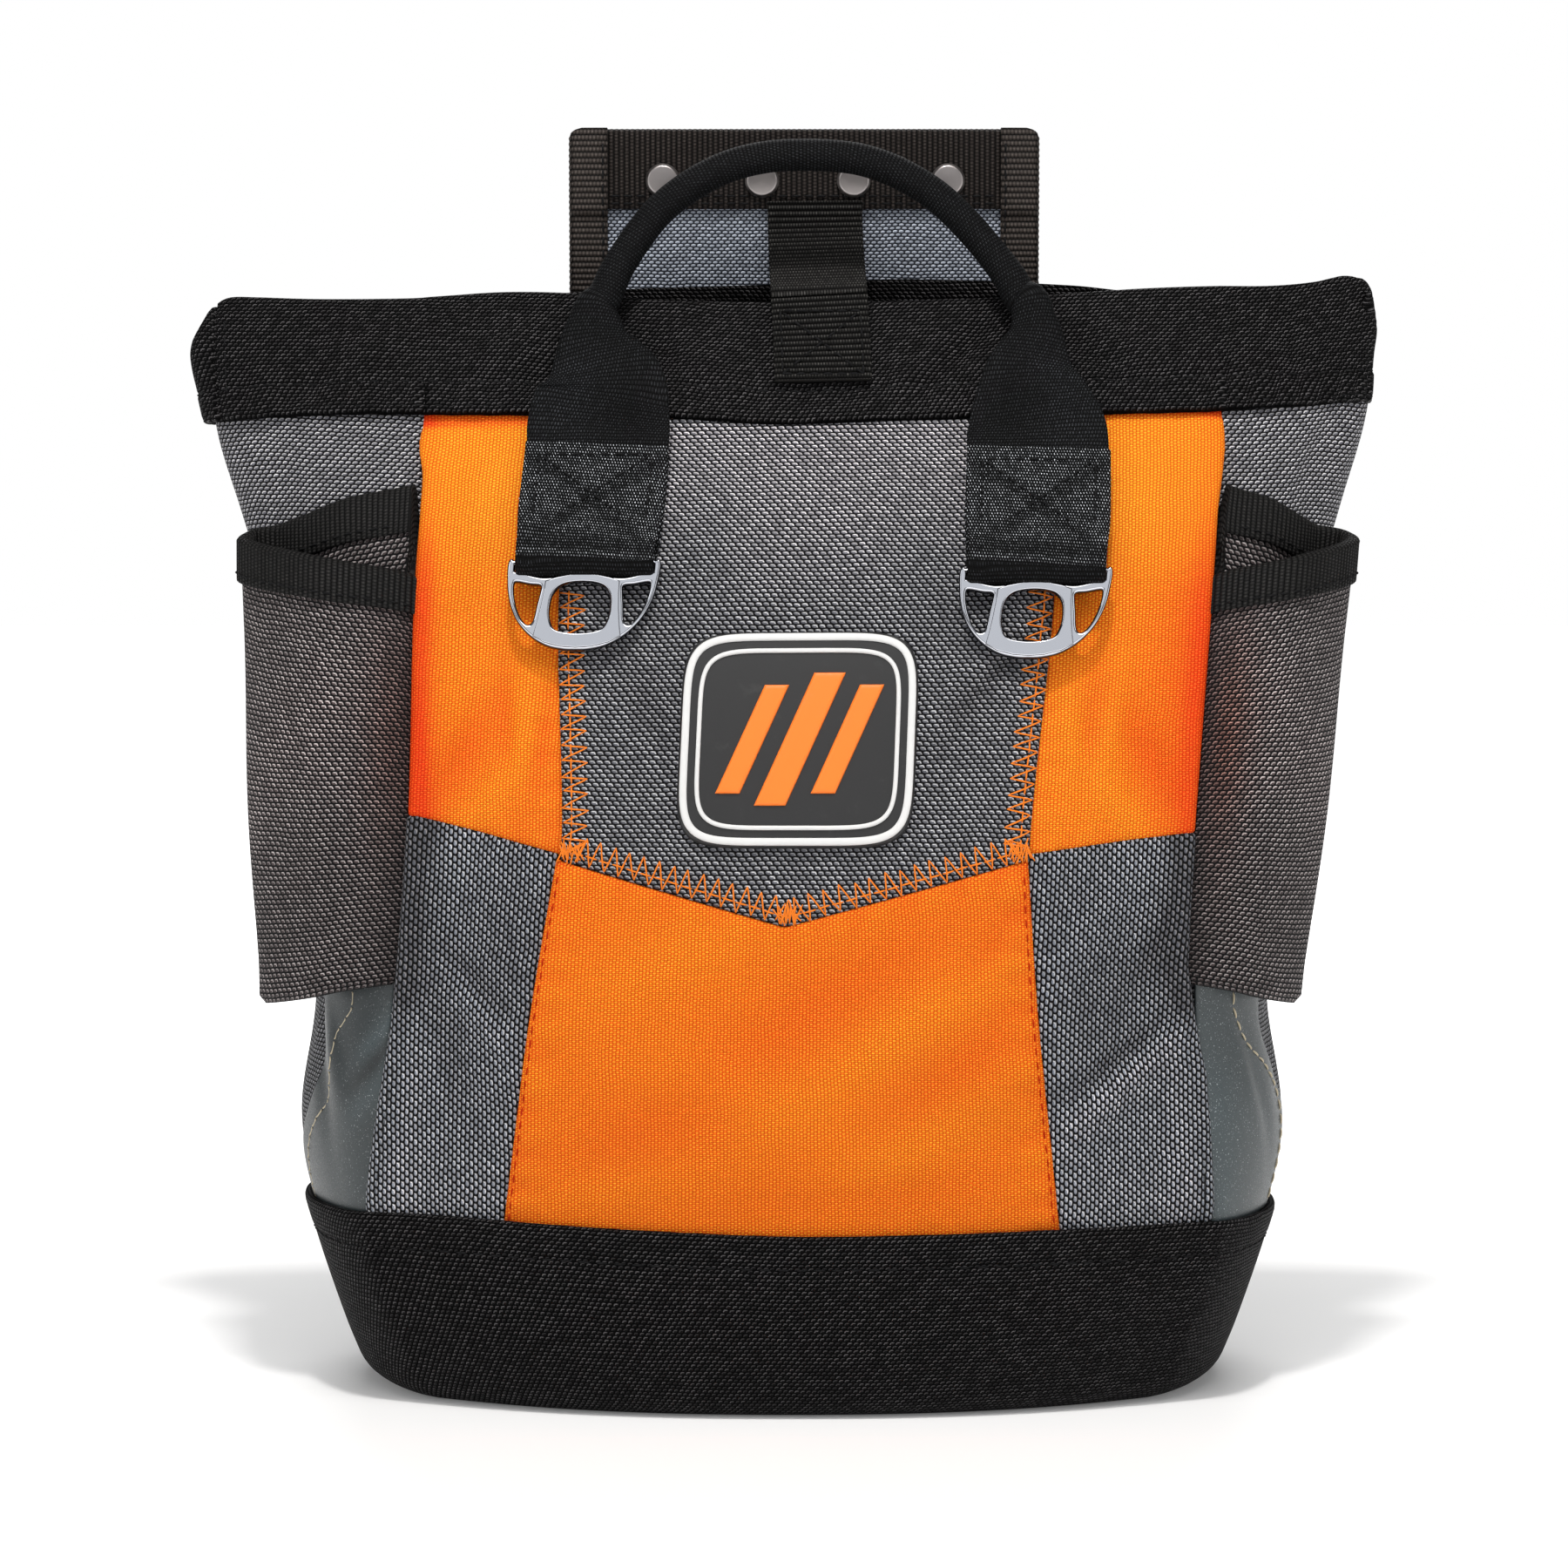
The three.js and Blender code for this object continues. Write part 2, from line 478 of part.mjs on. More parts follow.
// Ring outline: x across, r down from the bar
function ringShape() {
  const half = RING.wide / 2;
  const belly = RING.low - 5;
  const shape = new THREE.Shape();
  const edge = [];
  for (let k = 0; k <= 14; k += 1) {
    const turn = Math.PI * (k / 14);
    const c = Math.cos(turn);
    edge.push(vec(half * Math.sign(c) * Math.abs(c) ** 0.86, 5 + belly * Math.sin(turn) ** 0.9, 0));
  }
  shape.moveTo(half - 0.8, -RING.bar - 0.5);
  shape.lineTo(half, -RING.bar + 0.6);
  for (const p of edge) shape.lineTo(p.x, p.y);
  shape.lineTo(-half, -RING.bar + 0.6);
  shape.lineTo(-half + 0.8, -RING.bar - 0.5);
  shape.lineTo(-half + 2.2, -RING.bar - 0.5);
  shape.lineTo(-half + 2.8, -RING.bar);
  shape.lineTo(half - 2.8, -RING.bar);
  shape.lineTo(half - 2.2, -RING.bar - 0.5);
  const hole = (points) => shape.holes.push(new THREE.Path(points.map(([x, r]) => new THREE.Vector2(x, r))));
  const slot = half - 2.8;
  hole([[-slot, RING.bar], [slot, RING.bar], [slot, RING.cross + 0.4], [slot / 2, RING.cross + 0.3], [0, RING.cross - 0.1],
    [-slot / 2, RING.cross + 0.3], [-slot, RING.cross + 0.4]]);
  hole([[-7, 7], [-5, 6.3], [5, 6.3], [7, 7], [7.8, 9.5], [7.4, 14.5], [5.4, 17.6], [2.6, 18.8], [-2.6, 18.8], [-5.4, 17.6],
    [-7.4, 14.5], [-7.8, 9.5]]);
  for (const s of [-1, 1]) {
    hole([[10.6, 6.6], [16.2, 6.6], [16.8, 7.4], [15.4, 12], [12.6, 15.8], [11.4, 16], [10.2, 13.4], [10.2, 8]]
      .map(([x, r]) => [s * x, r]));
  }
  return shape;
}
function ring(side) {
  const a = ringFrame(side);
  const plate = new THREE.ExtrudeGeometry(ringShape(), { depth: RING.thick, bevelEnabled: false, steps: 1 });
  plate.translate(0, 0, -RING.thick / 2);
  // Hang the ring from its bar, turned in until its lower edge all but rests on the front
  const pose = (tilt) => {
    const down = a.down.clone().applyAxisAngle(a.across, tilt);
    const behind = a.out.clone().negate().applyAxisAngle(a.across, tilt);
    return new THREE.Matrix4().makeBasis(a.across, down, behind).setPosition(a.p);
  };
  const room = (tilt) => {
    let least = Infinity;
    for (const x of [-10, 0, 10]) {
      for (const r of [12, 17, RING.low]) {
        const p = vec(x, r, RING.thick / 2).applyMatrix4(pose(tilt));
        const f = offFront(p.x - section(p.z).cx, p.z, 0.5);
        least = Math.min(least, p.sub(f.p).dot(f.out));
      }
    }
    return least;
  };
  let tilt = -0.2;
  while (room(tilt) > 0.8 && tilt < 0.4) tilt += 0.005;
  return mergeVertices(stripped(plate.applyMatrix4(pose(tilt))), 1e-4);
}

// Handle: width and thickness of the flat legs as they gather into the tube, with their offset from the front
const LEGS = [
  { z: 226.5, wide: 36.6, thick: 1.6, off: LEG_OFF },
  { z: 233, wide: 36.6, thick: 1.6, off: LEG_OFF },
  { z: 240, wide: 36.6, thick: 1.6, off: LEG_OFF },
  { z: TAB.top, wide: 36.6, thick: 1.6, off: LEG_OFF },
  { z: 254, wide: 35.8, thick: 1.8, off: LEG_OFF + 0.7 },
  { z: 263, wide: 31.5, thick: 2.6, off: LEG_OFF + 1.2 },
  { z: 270, wide: 24, thick: 4, off: LEG_OFF + 1.9 },
  { z: 276, wide: 16.5, thick: 6, off: LEG_OFF + 3 },
  { z: 281, wide: 11.5, thick: 7.8, off: LEG_OFF + 3.9 },
];
function handle() {
  const stations = [];
  const leg = (side) => LEGS.map((row) => {
    const f = offFront(side * HANDLE.apart, row.z - hang(side) * smooth(275, 240, row.z), row.off);
    return { p: f.p, out: vec(0, f.out.y, f.out.z).normalize(), wide: row.wide, thick: row.thick };
  });
  stations.push(...leg(-1));
  const foot = offFront(0, HANDLE.foot, LEG_OFF + 4.4).p;
  const steps = 14;
  for (let k = 0; k <= steps; k += 1) {
    const turn = Math.PI * (k / steps);
    const rise = Math.sin(turn);
    const p = vec(foot.x - 1 - HANDLE.arch * Math.cos(turn), foot.y + HANDLE.lean * rise,
      foot.z + (HANDLE.apex - HANDLE.foot) * rise + LEAN * (0 - foot.x));
    stations.push({ p, out: vec(0, -1, 0), wide: HANDLE.tube, thick: HANDLE.tube });
  }
  stations.push(...leg(1).reverse());
  const loops = stations.map((s, k) => {
    const ahead = stations[Math.min(k + 1, stations.length - 1)].p.clone().sub(stations[Math.max(k - 1, 0)].p).normalize();
    const across = s.out.clone().cross(ahead).normalize();
    const out = ahead.clone().cross(across).normalize();
    const flat = clamp(s.wide / s.thick / 8, 0, 1);
    return Array.from({ length: 12 }, (_, i) => {
      const turn = (i / 12) * 2 * Math.PI;
      const power = lerp(1, 0.55, flat);
      const c = Math.sign(Math.cos(turn)) * Math.abs(Math.cos(turn)) ** power;
      const n = Math.sign(Math.sin(turn)) * Math.abs(Math.sin(turn)) ** power;
      return s.p.clone().addScaledVector(across, (c * s.wide) / 2).addScaledVector(out, (n * s.thick) / 2);
    });
  });
  return skin(loops);
}
for (const [side, label] of [[-1, 'left'], [1, 'right']]) {
  add(`ring_tab_${label}`, ringTab(side), LOOKS.webbing);
  add(`d_ring_${label}`, ring(side), LOOKS.chrome);
}
add('handle', handle(), LOOKS.webbing);

// The belt panel follows the back of the pouch, then stands up straight behind the mouth
const panelY = (z) => {
  const on = (h) => back(PANEL.x, Math.min(h, PANEL.stand)).y;
  return lerp(lerp(on(z - 3), on(z + 3), 0.5), on(z), smooth(240, 200, z)) + lerp(PANEL.hug, PANEL.off, smooth(212, 250, z));
};
const PANEL_FACE = panelY(PANEL.top);
const PANEL_ROWS = [PANEL.low, 165, 180, 200, 220, 240, 254, 268, 280, 286, 292, 311];
const shafts = [-1.5, -0.5, 0.5, 1.5].map((k) => PANEL.x + 0.6 + k * RIVET.step);
const bores = shafts.map((x) => {
  const bore = new THREE.CylinderGeometry(RIVET.hole, RIVET.hole, 30, 12);
  return bore.translate(x, PANEL_FACE, RIVET.z);
});
add('belt_panel', cut(strip([...PANEL_ROWS, PANEL.top - 1.8].map((z) => ({
  p: vec(PANEL.x, panelY(z) + CLOTH / 2, z),
  across: vec(1, 0, 0),
  out: vec(0, 1, 0),
  wide: PANEL.wide - 3.2,
  thick: CLOTH,
}))), bores), LOOKS.blue);

// Side tapes folded over the panel's edges
function edgeTape(side) {
  const wide = (PANEL.wide - PANEL.bare) / 2 - 0.3;
  const edge = PANEL.x + (side * PANEL.wide) / 2;
  const rows = [...PANEL_ROWS, 320, PANEL.top];
  const [gap, thick] = [0.3, 1.1];
  return skin(rows.map((z) => {
    const y = panelY(z);
    const [near, far] = [y - gap, y + CLOTH + gap];
    return [[0, near - thick], [wide, near - thick], [wide, near], [thick + 0.2, near], [thick + 0.2, far], [wide, far],
      [wide, far + thick], [0, far + thick]].map(([d, yy]) => vec(edge - side * d, yy, z));
  }));
}
add('belt_panel_binding_left', capped(edgeTape, -1), LOOKS.webbing);
add('belt_panel_binding_right', capped(edgeTape, 1), LOOKS.webbing);

// Fans over a U-shaped end would cross the hollow of the U, so the ends are closed by a strip instead
function capped(make, side) {
  const geometry = make(side);
  const position = geometry.attributes.position;
  const m = 8;
  const loops = (position.count - 2) / m;
  const points = [];
  for (let i = 0; i < loops * m; i += 1) points.push(vec(position.getX(i), position.getY(i), position.getZ(i)));
  const faces = [];
  for (let k = 0; k < loops - 1; k += 1) {
    for (let i = 0; i < m; i += 1) {
      const j = (i + 1) % m;
      faces.push([k * m + i, k * m + j, (k + 1) * m + j], [k * m + i, (k + 1) * m + j, (k + 1) * m + i]);
    }
  }
  const flat = [[0, 1, 2], [0, 2, 3], [0, 3, 7], [3, 4, 7], [4, 5, 6], [4, 6, 7]];
  for (const [a, b, c] of flat) {
    const top = (loops - 1) * m;
    faces.push([c, b, a], [top + a, top + b, top + c]);
  }
  return solid(points, faces);
}

// The rear layer of the belt loop hangs from the top of the panel and is sewn down below
{
  const path = [
    { z: PANEL.top - 2, out: 0 }, { z: 322, out: 0 }, { z: 312, out: 0 }, { z: 310, out: 0 }, { z: 306, out: 1.2 }, { z: 299, out: 5.5 },
    { z: 285, out: 12 }, { z: 262, out: LOOP.bulge }, { z: 230, out: LOOP.bulge }, { z: 200, out: 10.5 }, { z: 178, out: 5 },
    { z: 166, out: 1.2 }, { z: 160, out: 0 }, { z: LOOP.low, out: 0 },
  ];
  const y = (row) => panelY(row.z) + CLOTH + 0.3 + row.out;
  const stations = path.map((row, k) => {
    const [a, b] = [path[Math.max(k - 1, 0)], path[Math.min(k + 1, path.length - 1)]];
    const slope = Math.atan2(y(b) - y(a), b.z - a.z);
    const out = vec(0, Math.abs(Math.cos(slope)), -Math.sin(slope) * Math.sign(Math.cos(slope))).normalize();
    return { p: vec(PANEL.x, y(row) + CLOTH / 2, row.z), across: vec(1, 0, 0), out, wide: LOOP.wide, thick: CLOTH };
  });
  add('belt_loop', cut(strip(stations), bores), LOOKS.black);
}

// Tape folded over the top of the panel and the loop behind it
{
  const [front0, rear0] = [PANEL_FACE - 0.3, PANEL_FACE + 2 * CLOTH + 0.3 + 0.3];
  const thick = 1.3;
  const profile = [
    [front0 - thick, PANEL.top - PANEL.band], [front0, PANEL.top - PANEL.band], [front0, PANEL.top - thick],
    [rear0, PANEL.top - thick], [rear0, PANEL.top - PANEL.band], [rear0 + thick, PANEL.top - PANEL.band],
    [rear0 + thick, PANEL.top], [front0 - thick, PANEL.top],
  ];
  const shape = new THREE.Shape(profile.map(([y, z]) => new THREE.Vector2(y, z)));
  const tape = new THREE.ExtrudeGeometry(shape, { depth: PANEL.bare - 0.4, bevelEnabled: false, steps: 1 });
  tape.translate(0, 0, -(PANEL.bare - 0.4) / 2);
  tape.applyMatrix4(new THREE.Matrix4().makeBasis(vec(0, 1, 0), vec(0, 0, 1), vec(1, 0, 0)));
  tape.translate(PANEL.x, 0, 0);
  add('belt_panel_band', cut(tape, bores), LOOKS.webbing);
  // Rivets right through, a domed cap in front and a flat head behind
  const [near, far] = [front0 - thick - 0.3, rear0 + thick + 0.3];
  shafts.forEach((x, k) => {
    const outline = [[0, -1.3], [RIVET.cap - 0.7, -0.9], [RIVET.cap, 0], [RIVET.shank, 0], [RIVET.shank, far - near],
      [3.4, far - near], [3.1, far - near + 0.7], [0, far - near + 0.7]];
    const pin = new THREE.LatheGeometry(outline.map(([r, h]) => new THREE.Vector2(r, h)), 12);
    pin.translate(x, near, RIVET.z);
    add(`rivet_${k + 1}`, mergeVertices(stripped(pin), 1e-4), LOOKS.nickel);
  });
}
function stripped(geometry) {
  geometry.deleteAttribute('normal');
  geometry.deleteAttribute('uv');
  return geometry;
}

// The pull strap from the panel's top tape, over the mouth, down onto the front band
{
  const onBand = (z) => {
    const f = offFront(STRAP.x - section(z).cx, z, BAND.outer + 0.6 + STRAP.thick / 2);
    return [f.p.y, f.p.z];
  };
  const faceY = PANEL_FACE - 0.3 - 1.3 - 0.4 - STRAP.thick / 2;
  const route = [
    [faceY, 313.5], [faceY - 0.1, 308], [faceY - 3, 303], [faceY - 10, 296.6], [faceY - 18, 291.6], [faceY - 24, 288.8],
    onBand(285.2), onBand(281), onBand(275), onBand(269), onBand(STRAP.end),
  ];
  const stations = route.map(([y, z], k) => {
    const [a, b] = [route[Math.max(k - 1, 0)], route[Math.min(k + 1, route.length - 1)]];
    const out = vec(0, b[1] - a[1], -(b[0] - a[0])).normalize();
    return { p: vec(STRAP.x, y, z), across: vec(1, 0, 0), out, wide: STRAP.wide, thick: STRAP.thick };
  });
  add('pull_strap', strip(stations), LOOKS.webbing);
}

// The badge, a soft rounded patch on the yoke
add('badge', sheet(8, 8, (p, q) => {
  const [a, b] = [2 * p - 1, 2 * q - 1];
  const far = Math.max(Math.abs(a), Math.abs(b), 1e-6);
  const pull = far / (Math.abs(a) ** 6 + Math.abs(b) ** 6 + 1e-30) ** (1 / 6);
  const x = BADGE.x + BADGE.halfWide * a * pull;
  const z = BADGE.z + BADGE.halfTall * b * pull;
  return front(x + section(z).cx, z);
}, 0.85, 0.85 + BADGE.thick), LOOKS.rubber);

// Centre of the underside at the origin
part.updateMatrixWorld(true);
const box = new THREE.Box3().setFromObject(part);
const centre = box.getCenter(new THREE.Vector3());
for (const mesh of part.children) mesh.geometry.translate(-centre.x, -centre.y, -box.min.z);

export default part;
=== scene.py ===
"""Tool pouch: the finished look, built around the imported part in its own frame."""
import math

import bpy
import numpy as np
from mathutils import Matrix, Vector


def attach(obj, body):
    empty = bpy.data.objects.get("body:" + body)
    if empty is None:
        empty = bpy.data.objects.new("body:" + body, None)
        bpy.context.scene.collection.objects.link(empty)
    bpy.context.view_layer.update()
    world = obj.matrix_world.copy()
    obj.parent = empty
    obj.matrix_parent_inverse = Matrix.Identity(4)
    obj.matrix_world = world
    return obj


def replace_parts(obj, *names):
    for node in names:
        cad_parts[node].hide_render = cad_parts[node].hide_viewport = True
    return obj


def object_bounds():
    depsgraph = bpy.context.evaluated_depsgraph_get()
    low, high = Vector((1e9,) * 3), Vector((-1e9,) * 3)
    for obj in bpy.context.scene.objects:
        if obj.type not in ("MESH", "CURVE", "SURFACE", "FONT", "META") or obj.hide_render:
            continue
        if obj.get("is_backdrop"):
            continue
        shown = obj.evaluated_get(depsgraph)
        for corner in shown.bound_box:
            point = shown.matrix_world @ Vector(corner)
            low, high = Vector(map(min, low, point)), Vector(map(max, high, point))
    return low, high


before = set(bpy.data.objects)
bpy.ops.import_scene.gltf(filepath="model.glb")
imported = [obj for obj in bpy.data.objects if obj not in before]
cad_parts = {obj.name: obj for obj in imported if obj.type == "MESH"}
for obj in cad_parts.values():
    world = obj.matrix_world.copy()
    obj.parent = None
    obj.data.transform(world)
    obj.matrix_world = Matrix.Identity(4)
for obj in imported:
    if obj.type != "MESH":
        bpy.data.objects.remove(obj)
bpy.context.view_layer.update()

MM = 0.001
TAU = 2 * math.pi
SHIFT = np.array([0.0, 5.1237, 0.0])     # drawing frame to part frame, in millimetres

# Sizes shared with the solid part, in millimetres
CLOTH = 1.6
SEAM = 0.4
BAND = {"low": 253, "inner": 0.9, "outer": 2.7, "span": 208}
BOOT = {"top": 45.5, "inner": 1.2, "outer": 3, "floor": 2.2, "round": 6, "corner": 7}
WEB = {"wide": 37, "thick": 1.6}
HANDLE = {"apart": 56.5, "foot": 281, "apex": 324.1, "tube": 8.4, "lean": 9}
RING = {"axis": 216.2, "settle": 2.6, "thick": 3, "low": 22.6, "clear": 2.25}
TAB = {"top": 245.4, "sewn": 230, "under": 1.4, "narrow": 35.2, "box": 14.5, "box_low": 223.1,
       "box_high": 242.3}
STRAP = {"x": 7, "wide": 25.4, "thick": 1.7, "end": 262.6}
PANEL = {"x": 3.4, "wide": 125, "top": 333, "low": 150, "bare": 104.8, "band": 21.5, "stand": 287,
         "off": 5.4, "hug": 2}
LOOP = {"wide": 101, "bulge": 15, "low": 152}
RIVET = {"cap": 4.6, "shank": 1.9, "z": 319, "step": 25.4}
BADGE = {"x": -2.4, "z": 173, "half_wide": 30, "half_tall": 27, "thick": 2.2, "seat": 0.85, "square": 6}
POCKET = {"low": 110.3, "rim": 224, "fold_low": 103.3, "wall": 1.6, "tape": 11, "tape_thick": 1}
LEAN = 0.016
PANEL_FOOT = 38
PANEL_HEAD = 280
GUSSET_SPAN = 120
TAPE_GAP = 0.3
SIDES = ((-1, "left"), (1, "right"))

# Body sections: height, sideways drift of the front, half width and depth of the front seams,
# bulge of the front, half width over the gussets, half width and depth of the back seams
SECTION_COLUMNS = ("z", "cx", "hw", "yf", "crown", "side", "hb", "yb")
SECTIONS = np.array([
    (0, 0, 92, 40, 20, 110.5, 92, 47),
    (18, 0, 99, 45, 20, 117.5, 99, 51),
    (46, 0, 107, 49, 18, 126, 106, 54),
    (71, 0.2, 105.5, 52, 17, 130, 104, 55.5),
    (105, 0.6, 102, 53.5, 14.5, 128, 102, 55),
    (150, 2.9, 100.5, 52, 11.5, 132.5, 101, 50),
    (208, 5.5, 102, 42.5, 7, 141, 102, 38.5),
    (232, 7, 102.5, 33, 4.5, 147, 103, 30.5),
    (254, 8, 103, 20.5, 2.5, 153, 104, 22.5),
    (285, 8.3, 104, 5.5, 0.6, 156.5, 104, 12.5),
    (296, 8.3, 104, 3, 0.3, 156, 104, 11),
], float)
# Dents: place across and up, reach across and up, depth
FRONT_DENTS = [(-94, 112, 15, 24, 3.4), (95, 92, 17, 30, 3.8), (62, 74, 26, 12, 1.8),
               (-57, 186, 9, 20, 1.6), (57, 184, 9, 20, 1.6), (0, 246, 34, 12, 1.4)]
SIDE_DENTS = [(0.22, 236, 0.09, 20, 3), (0.5, 170, 0.16, 60, 3.5), (0.3, 92, 0.1, 16, 1.0),
              (0.42, 70, 0.3, 20, -1.4)]
# Creases in the front: place across and up, half length, lean from upright in degrees, half width, rise
FRONT_CREASES = [
    (-77, 178, 14, -6, 2.6, -0.7), (-72.5, 176, 14, 2, 2.6, 0.7), (-67, 174, 13, 6, 2.2, -0.8),
    (72, 176, 14, 4, 2.8, -0.7), (66.5, 175, 14, -3, 2.4, 0.7), (78, 178, 14, 8, 3.0, 0.6),
    (-82, 112, 13, -42, 3.0, -1.6), (-78, 103, 18, -34, 4.0, 1.2), (-88, 96, 20, -14, 4.5, -1.0),
    (84, 92, 16, 52, 3.4, -2.0), (82, 84, 22, 48, 4.6, 1.7), (90, 118, 16, 28, 3.4, -1.1),
    (72, 120, 20, 30, 6.0, 0.9), (-30, 118, 30, 66, 9.0, 0.6), (6, 106, 40, 58, 9.0, -0.6),
    (28, 100, 34, 54, 7.0, 0.8), (44, 92, 26, 50, 6.0, -0.5), (30, 70, 30, 62, 8.0, 0.6),
    (-36, 74, 28, 70, 9.0, -0.4), (-14, 84, 34, -70, 9.0, 0.4), (50, 122, 14, 40, 4.0, -0.6),
    (-46, 60, 22, 80, 6.0, 0.4), (14, 58, 30, 84, 5.0, -0.4), (-84, 236, 16, 8, 5.0, 1.0),
    (82, 230, 20, -6, 6.0, 0.9), (-30, 222, 24, 18, 9.0, -0.8), (30, 215, 26, -20, 9.0, -0.7),
    (-42, 184, 18, -30, 5.0, -0.9), (40, 182, 18, 30, 5.0, -0.9), (48, 190, 14, 40, 2.6, -1.0),
    (45, 194, 15, 40, 2.6, 0.8), (-80, 158, 16, 34, 4.0, 1.0), (80, 156, 16, -40, 4.0, 1.0),
    (86, 170, 18, -30, 5.0, -0.9), (-86, 172, 18, 26, 5.0, -0.9),
]
# Creases in the gussets: share from front seam to back seam, height, half length, lean, half width, rise
# and the side they are on, 0 for both
SIDE_CREASES = [
    (0.2, 246, 14, 30, 4, -1.5, -1), (0.26, 238, 15, 26, 4.5, 1.2, -1), (0.12, 242, 12, -20, 4, 1.0, -1),
    (0.2, 244, 14, 24, 4, -1.2, 1), (0.3, 238, 16, 20, 5, 1.1, 1), (0.12, 86, 16, 28, 3.0, 1.7, -1),
    (0.17, 80, 18, 22, 3.2, -1.7, -1), (0.28, 96, 14, -24, 4, 0.9, -1), (0.1, 88, 18, -26, 3.2, 1.5, 1),
    (0.16, 82, 18, -20, 3.4, -1.5, 1), (0.34, 90, 18, 16, 5, -0.8, 1), (0.6, 190, 40, 8, 9, 1.2, 0),
    (0.42, 150, 36, -6, 9, -1.0, 0), (0.72, 110, 30, 10, 8, 0.9, 0),
]


# Small maths on arrays
def lerp(a, b, t):
    return a + (b - a) * t


def smooth(a, b, v):
    t = np.clip((v - a) / (b - a), 0, 1)
    return t * t * (3 - 2 * t)


def bump(d):
    return np.exp(-d * d)


def unit(v):
    return v / np.maximum(np.linalg.norm(v, axis=-1, keepdims=True), 1e-12)


def crease(across, up, lean, half, run):
    """A ridge one high: its lean from upright in degrees, its half width and its half length."""
    c, s = math.cos(math.radians(lean)), math.sin(math.radians(lean))
    return bump((across * c - up * s) / half) * bump((up * c + across * s) / run)


def stack(x, y, z):
    return np.stack(np.broadcast_arrays(x, y, z), -1).astype(float)


def section(z):
    z = np.asarray(z, float)
    last = len(SECTIONS) - 1
    i = np.clip(np.searchsorted(SECTIONS[:, 0], z) - 1, 0, last - 1)
    a, b = SECTIONS[i], SECTIONS[i + 1]
    before, after = SECTIONS[np.maximum(i - 1, 0)], SECTIONS[np.minimum(i + 2, last)]
    step = (b[..., :1] - a[..., :1])
    t = np.clip((z[..., None] - a[..., :1]) / step, 0, 1)
    slope_a = (b - before) / (b[..., :1] - before[..., :1]) * step
    slope_b = (after - a) / (after[..., :1] - a[..., :1]) * step
    t2, t3 = t * t, t * t * t
    row = ((2 * t3 - 3 * t2 + 1) * a + (t3 - 2 * t2 + t) * slope_a + (3 * t2 - 2 * t3) * b
           + (t3 - t2) * slope_b)
    return dict(zip(SECTION_COLUMNS, np.moveaxis(row, -1, 0)))


def leaned(p):
    p[..., 2] += LEAN * p[..., 0] * smooth(140, 285, p[..., 2])
    return p


# Seams of the front, as x from the panel's middle
def yoke_left(z):
    return lerp(-60.2, -64.4, smooth(140, 215, z))


def yoke_right(z):
    return lerp(56.6, 60.8, smooth(140, 215, z))


YOKE_POINT = (-3, 127)
YOKE_CORNER = 143.6
YOKE_SIDES_END = 143.0
YOKE_LEFT_END = yoke_left(YOKE_SIDES_END)
YOKE_RIGHT_END = yoke_right(YOKE_SIDES_END)
STRIP_FOOT = (153.2, 148.8)
LOWER_FOOT = 50


def yoke_foot(x):
    left = lerp(YOKE_POINT[1], YOKE_CORNER, (x - YOKE_POINT[0]) / (YOKE_LEFT_END - YOKE_POINT[0]))
    right = lerp(YOKE_POINT[1], YOKE_CORNER, (x - YOKE_POINT[0]) / (YOKE_RIGHT_END - YOKE_POINT[0]))
    return np.where(x < YOKE_POINT[0], left, right)


def lower_left(z):
    return lerp(-72.8, -61.6, (z - LOWER_FOOT) / (YOKE_SIDES_END - LOWER_FOOT))


def lower_right(z):
    return lerp(67.4, 56.6, (z - LOWER_FOOT) / (YOKE_SIDES_END - LOWER_FOOT))


def pucker(away, along, deep, wave, pitch):
    """A sewn line: a narrow valley with small uneven puckers on both sides."""
    ripple = np.sin(along * TAU / pitch + 1.7 * np.sin(along * 0.11))
    return -deep * bump(away / 2.4) + wave * ripple * bump((np.abs(away) - 3.5) / 4.5)


def front_relief(x, z):
    """How far the cloth of the front stands out of its plain shape."""
    d = np.zeros(np.broadcast(x, z).shape)
    for cx, cz, run, lean, half, rise in FRONT_CREASES:
        d = d + rise * crease(x - cx, z - cz, lean, half, run)
    high = smooth(138, 146, z)
    d = d + high * pucker(x - yoke_left(z), z, 0.35, 0.2, 9.5)
    d = d + high * pucker(x - yoke_right(z), z, 0.35, 0.2, 8.8)
    low = smooth(150, 142, z)
    d = d + low * pucker(x - lower_left(z), z, 0.4, 0.25, 10.5)
    d = d + low * pucker(x - lower_right(z), z, 0.4, 0.25, 9.6)
    inside = smooth(-64, -58, x) * smooth(61, 55, x)
    d = d + inside * pucker(z - yoke_foot(x), x, 0.4, 0.22, 10)
    outside_left = smooth(-60, -66, x)
    foot_left = lerp(STRIP_FOOT[0], YOKE_CORNER, (x + 100.5) / 40)
    d = d + outside_left * pucker(z - foot_left, x, 0.4, 0.2, 9)
    outside_right = smooth(56, 62, x)
    foot_right = lerp(YOKE_CORNER, STRIP_FOOT[1], (x - 57) / 43.5)
    d = d + outside_right * pucker(z - foot_right, x, 0.4, 0.2, 9)
    return d


def front(x, z, relief=True):
    s = section(z)
    u = np.clip((x - s["cx"]) / s["hw"], -1, 1)
    y = -(s["yf"] + s["crown"] * (1 - np.abs(u) ** 2.4))
    for dx, dz, rx, rz, deep in FRONT_DENTS:
        y = y + deep * bump((x - s["cx"] - dx) / rx) * bump((z - dz) / rz)
    if relief:
        y = y - front_relief(x - s["cx"], z) * smooth(1, 0.94, np.abs(u))
        y = y - seam_puff(z) * smooth(0.82, 0.985, np.abs(u))
    return leaned(stack(s["cx"] + u * s["hw"], y, z))


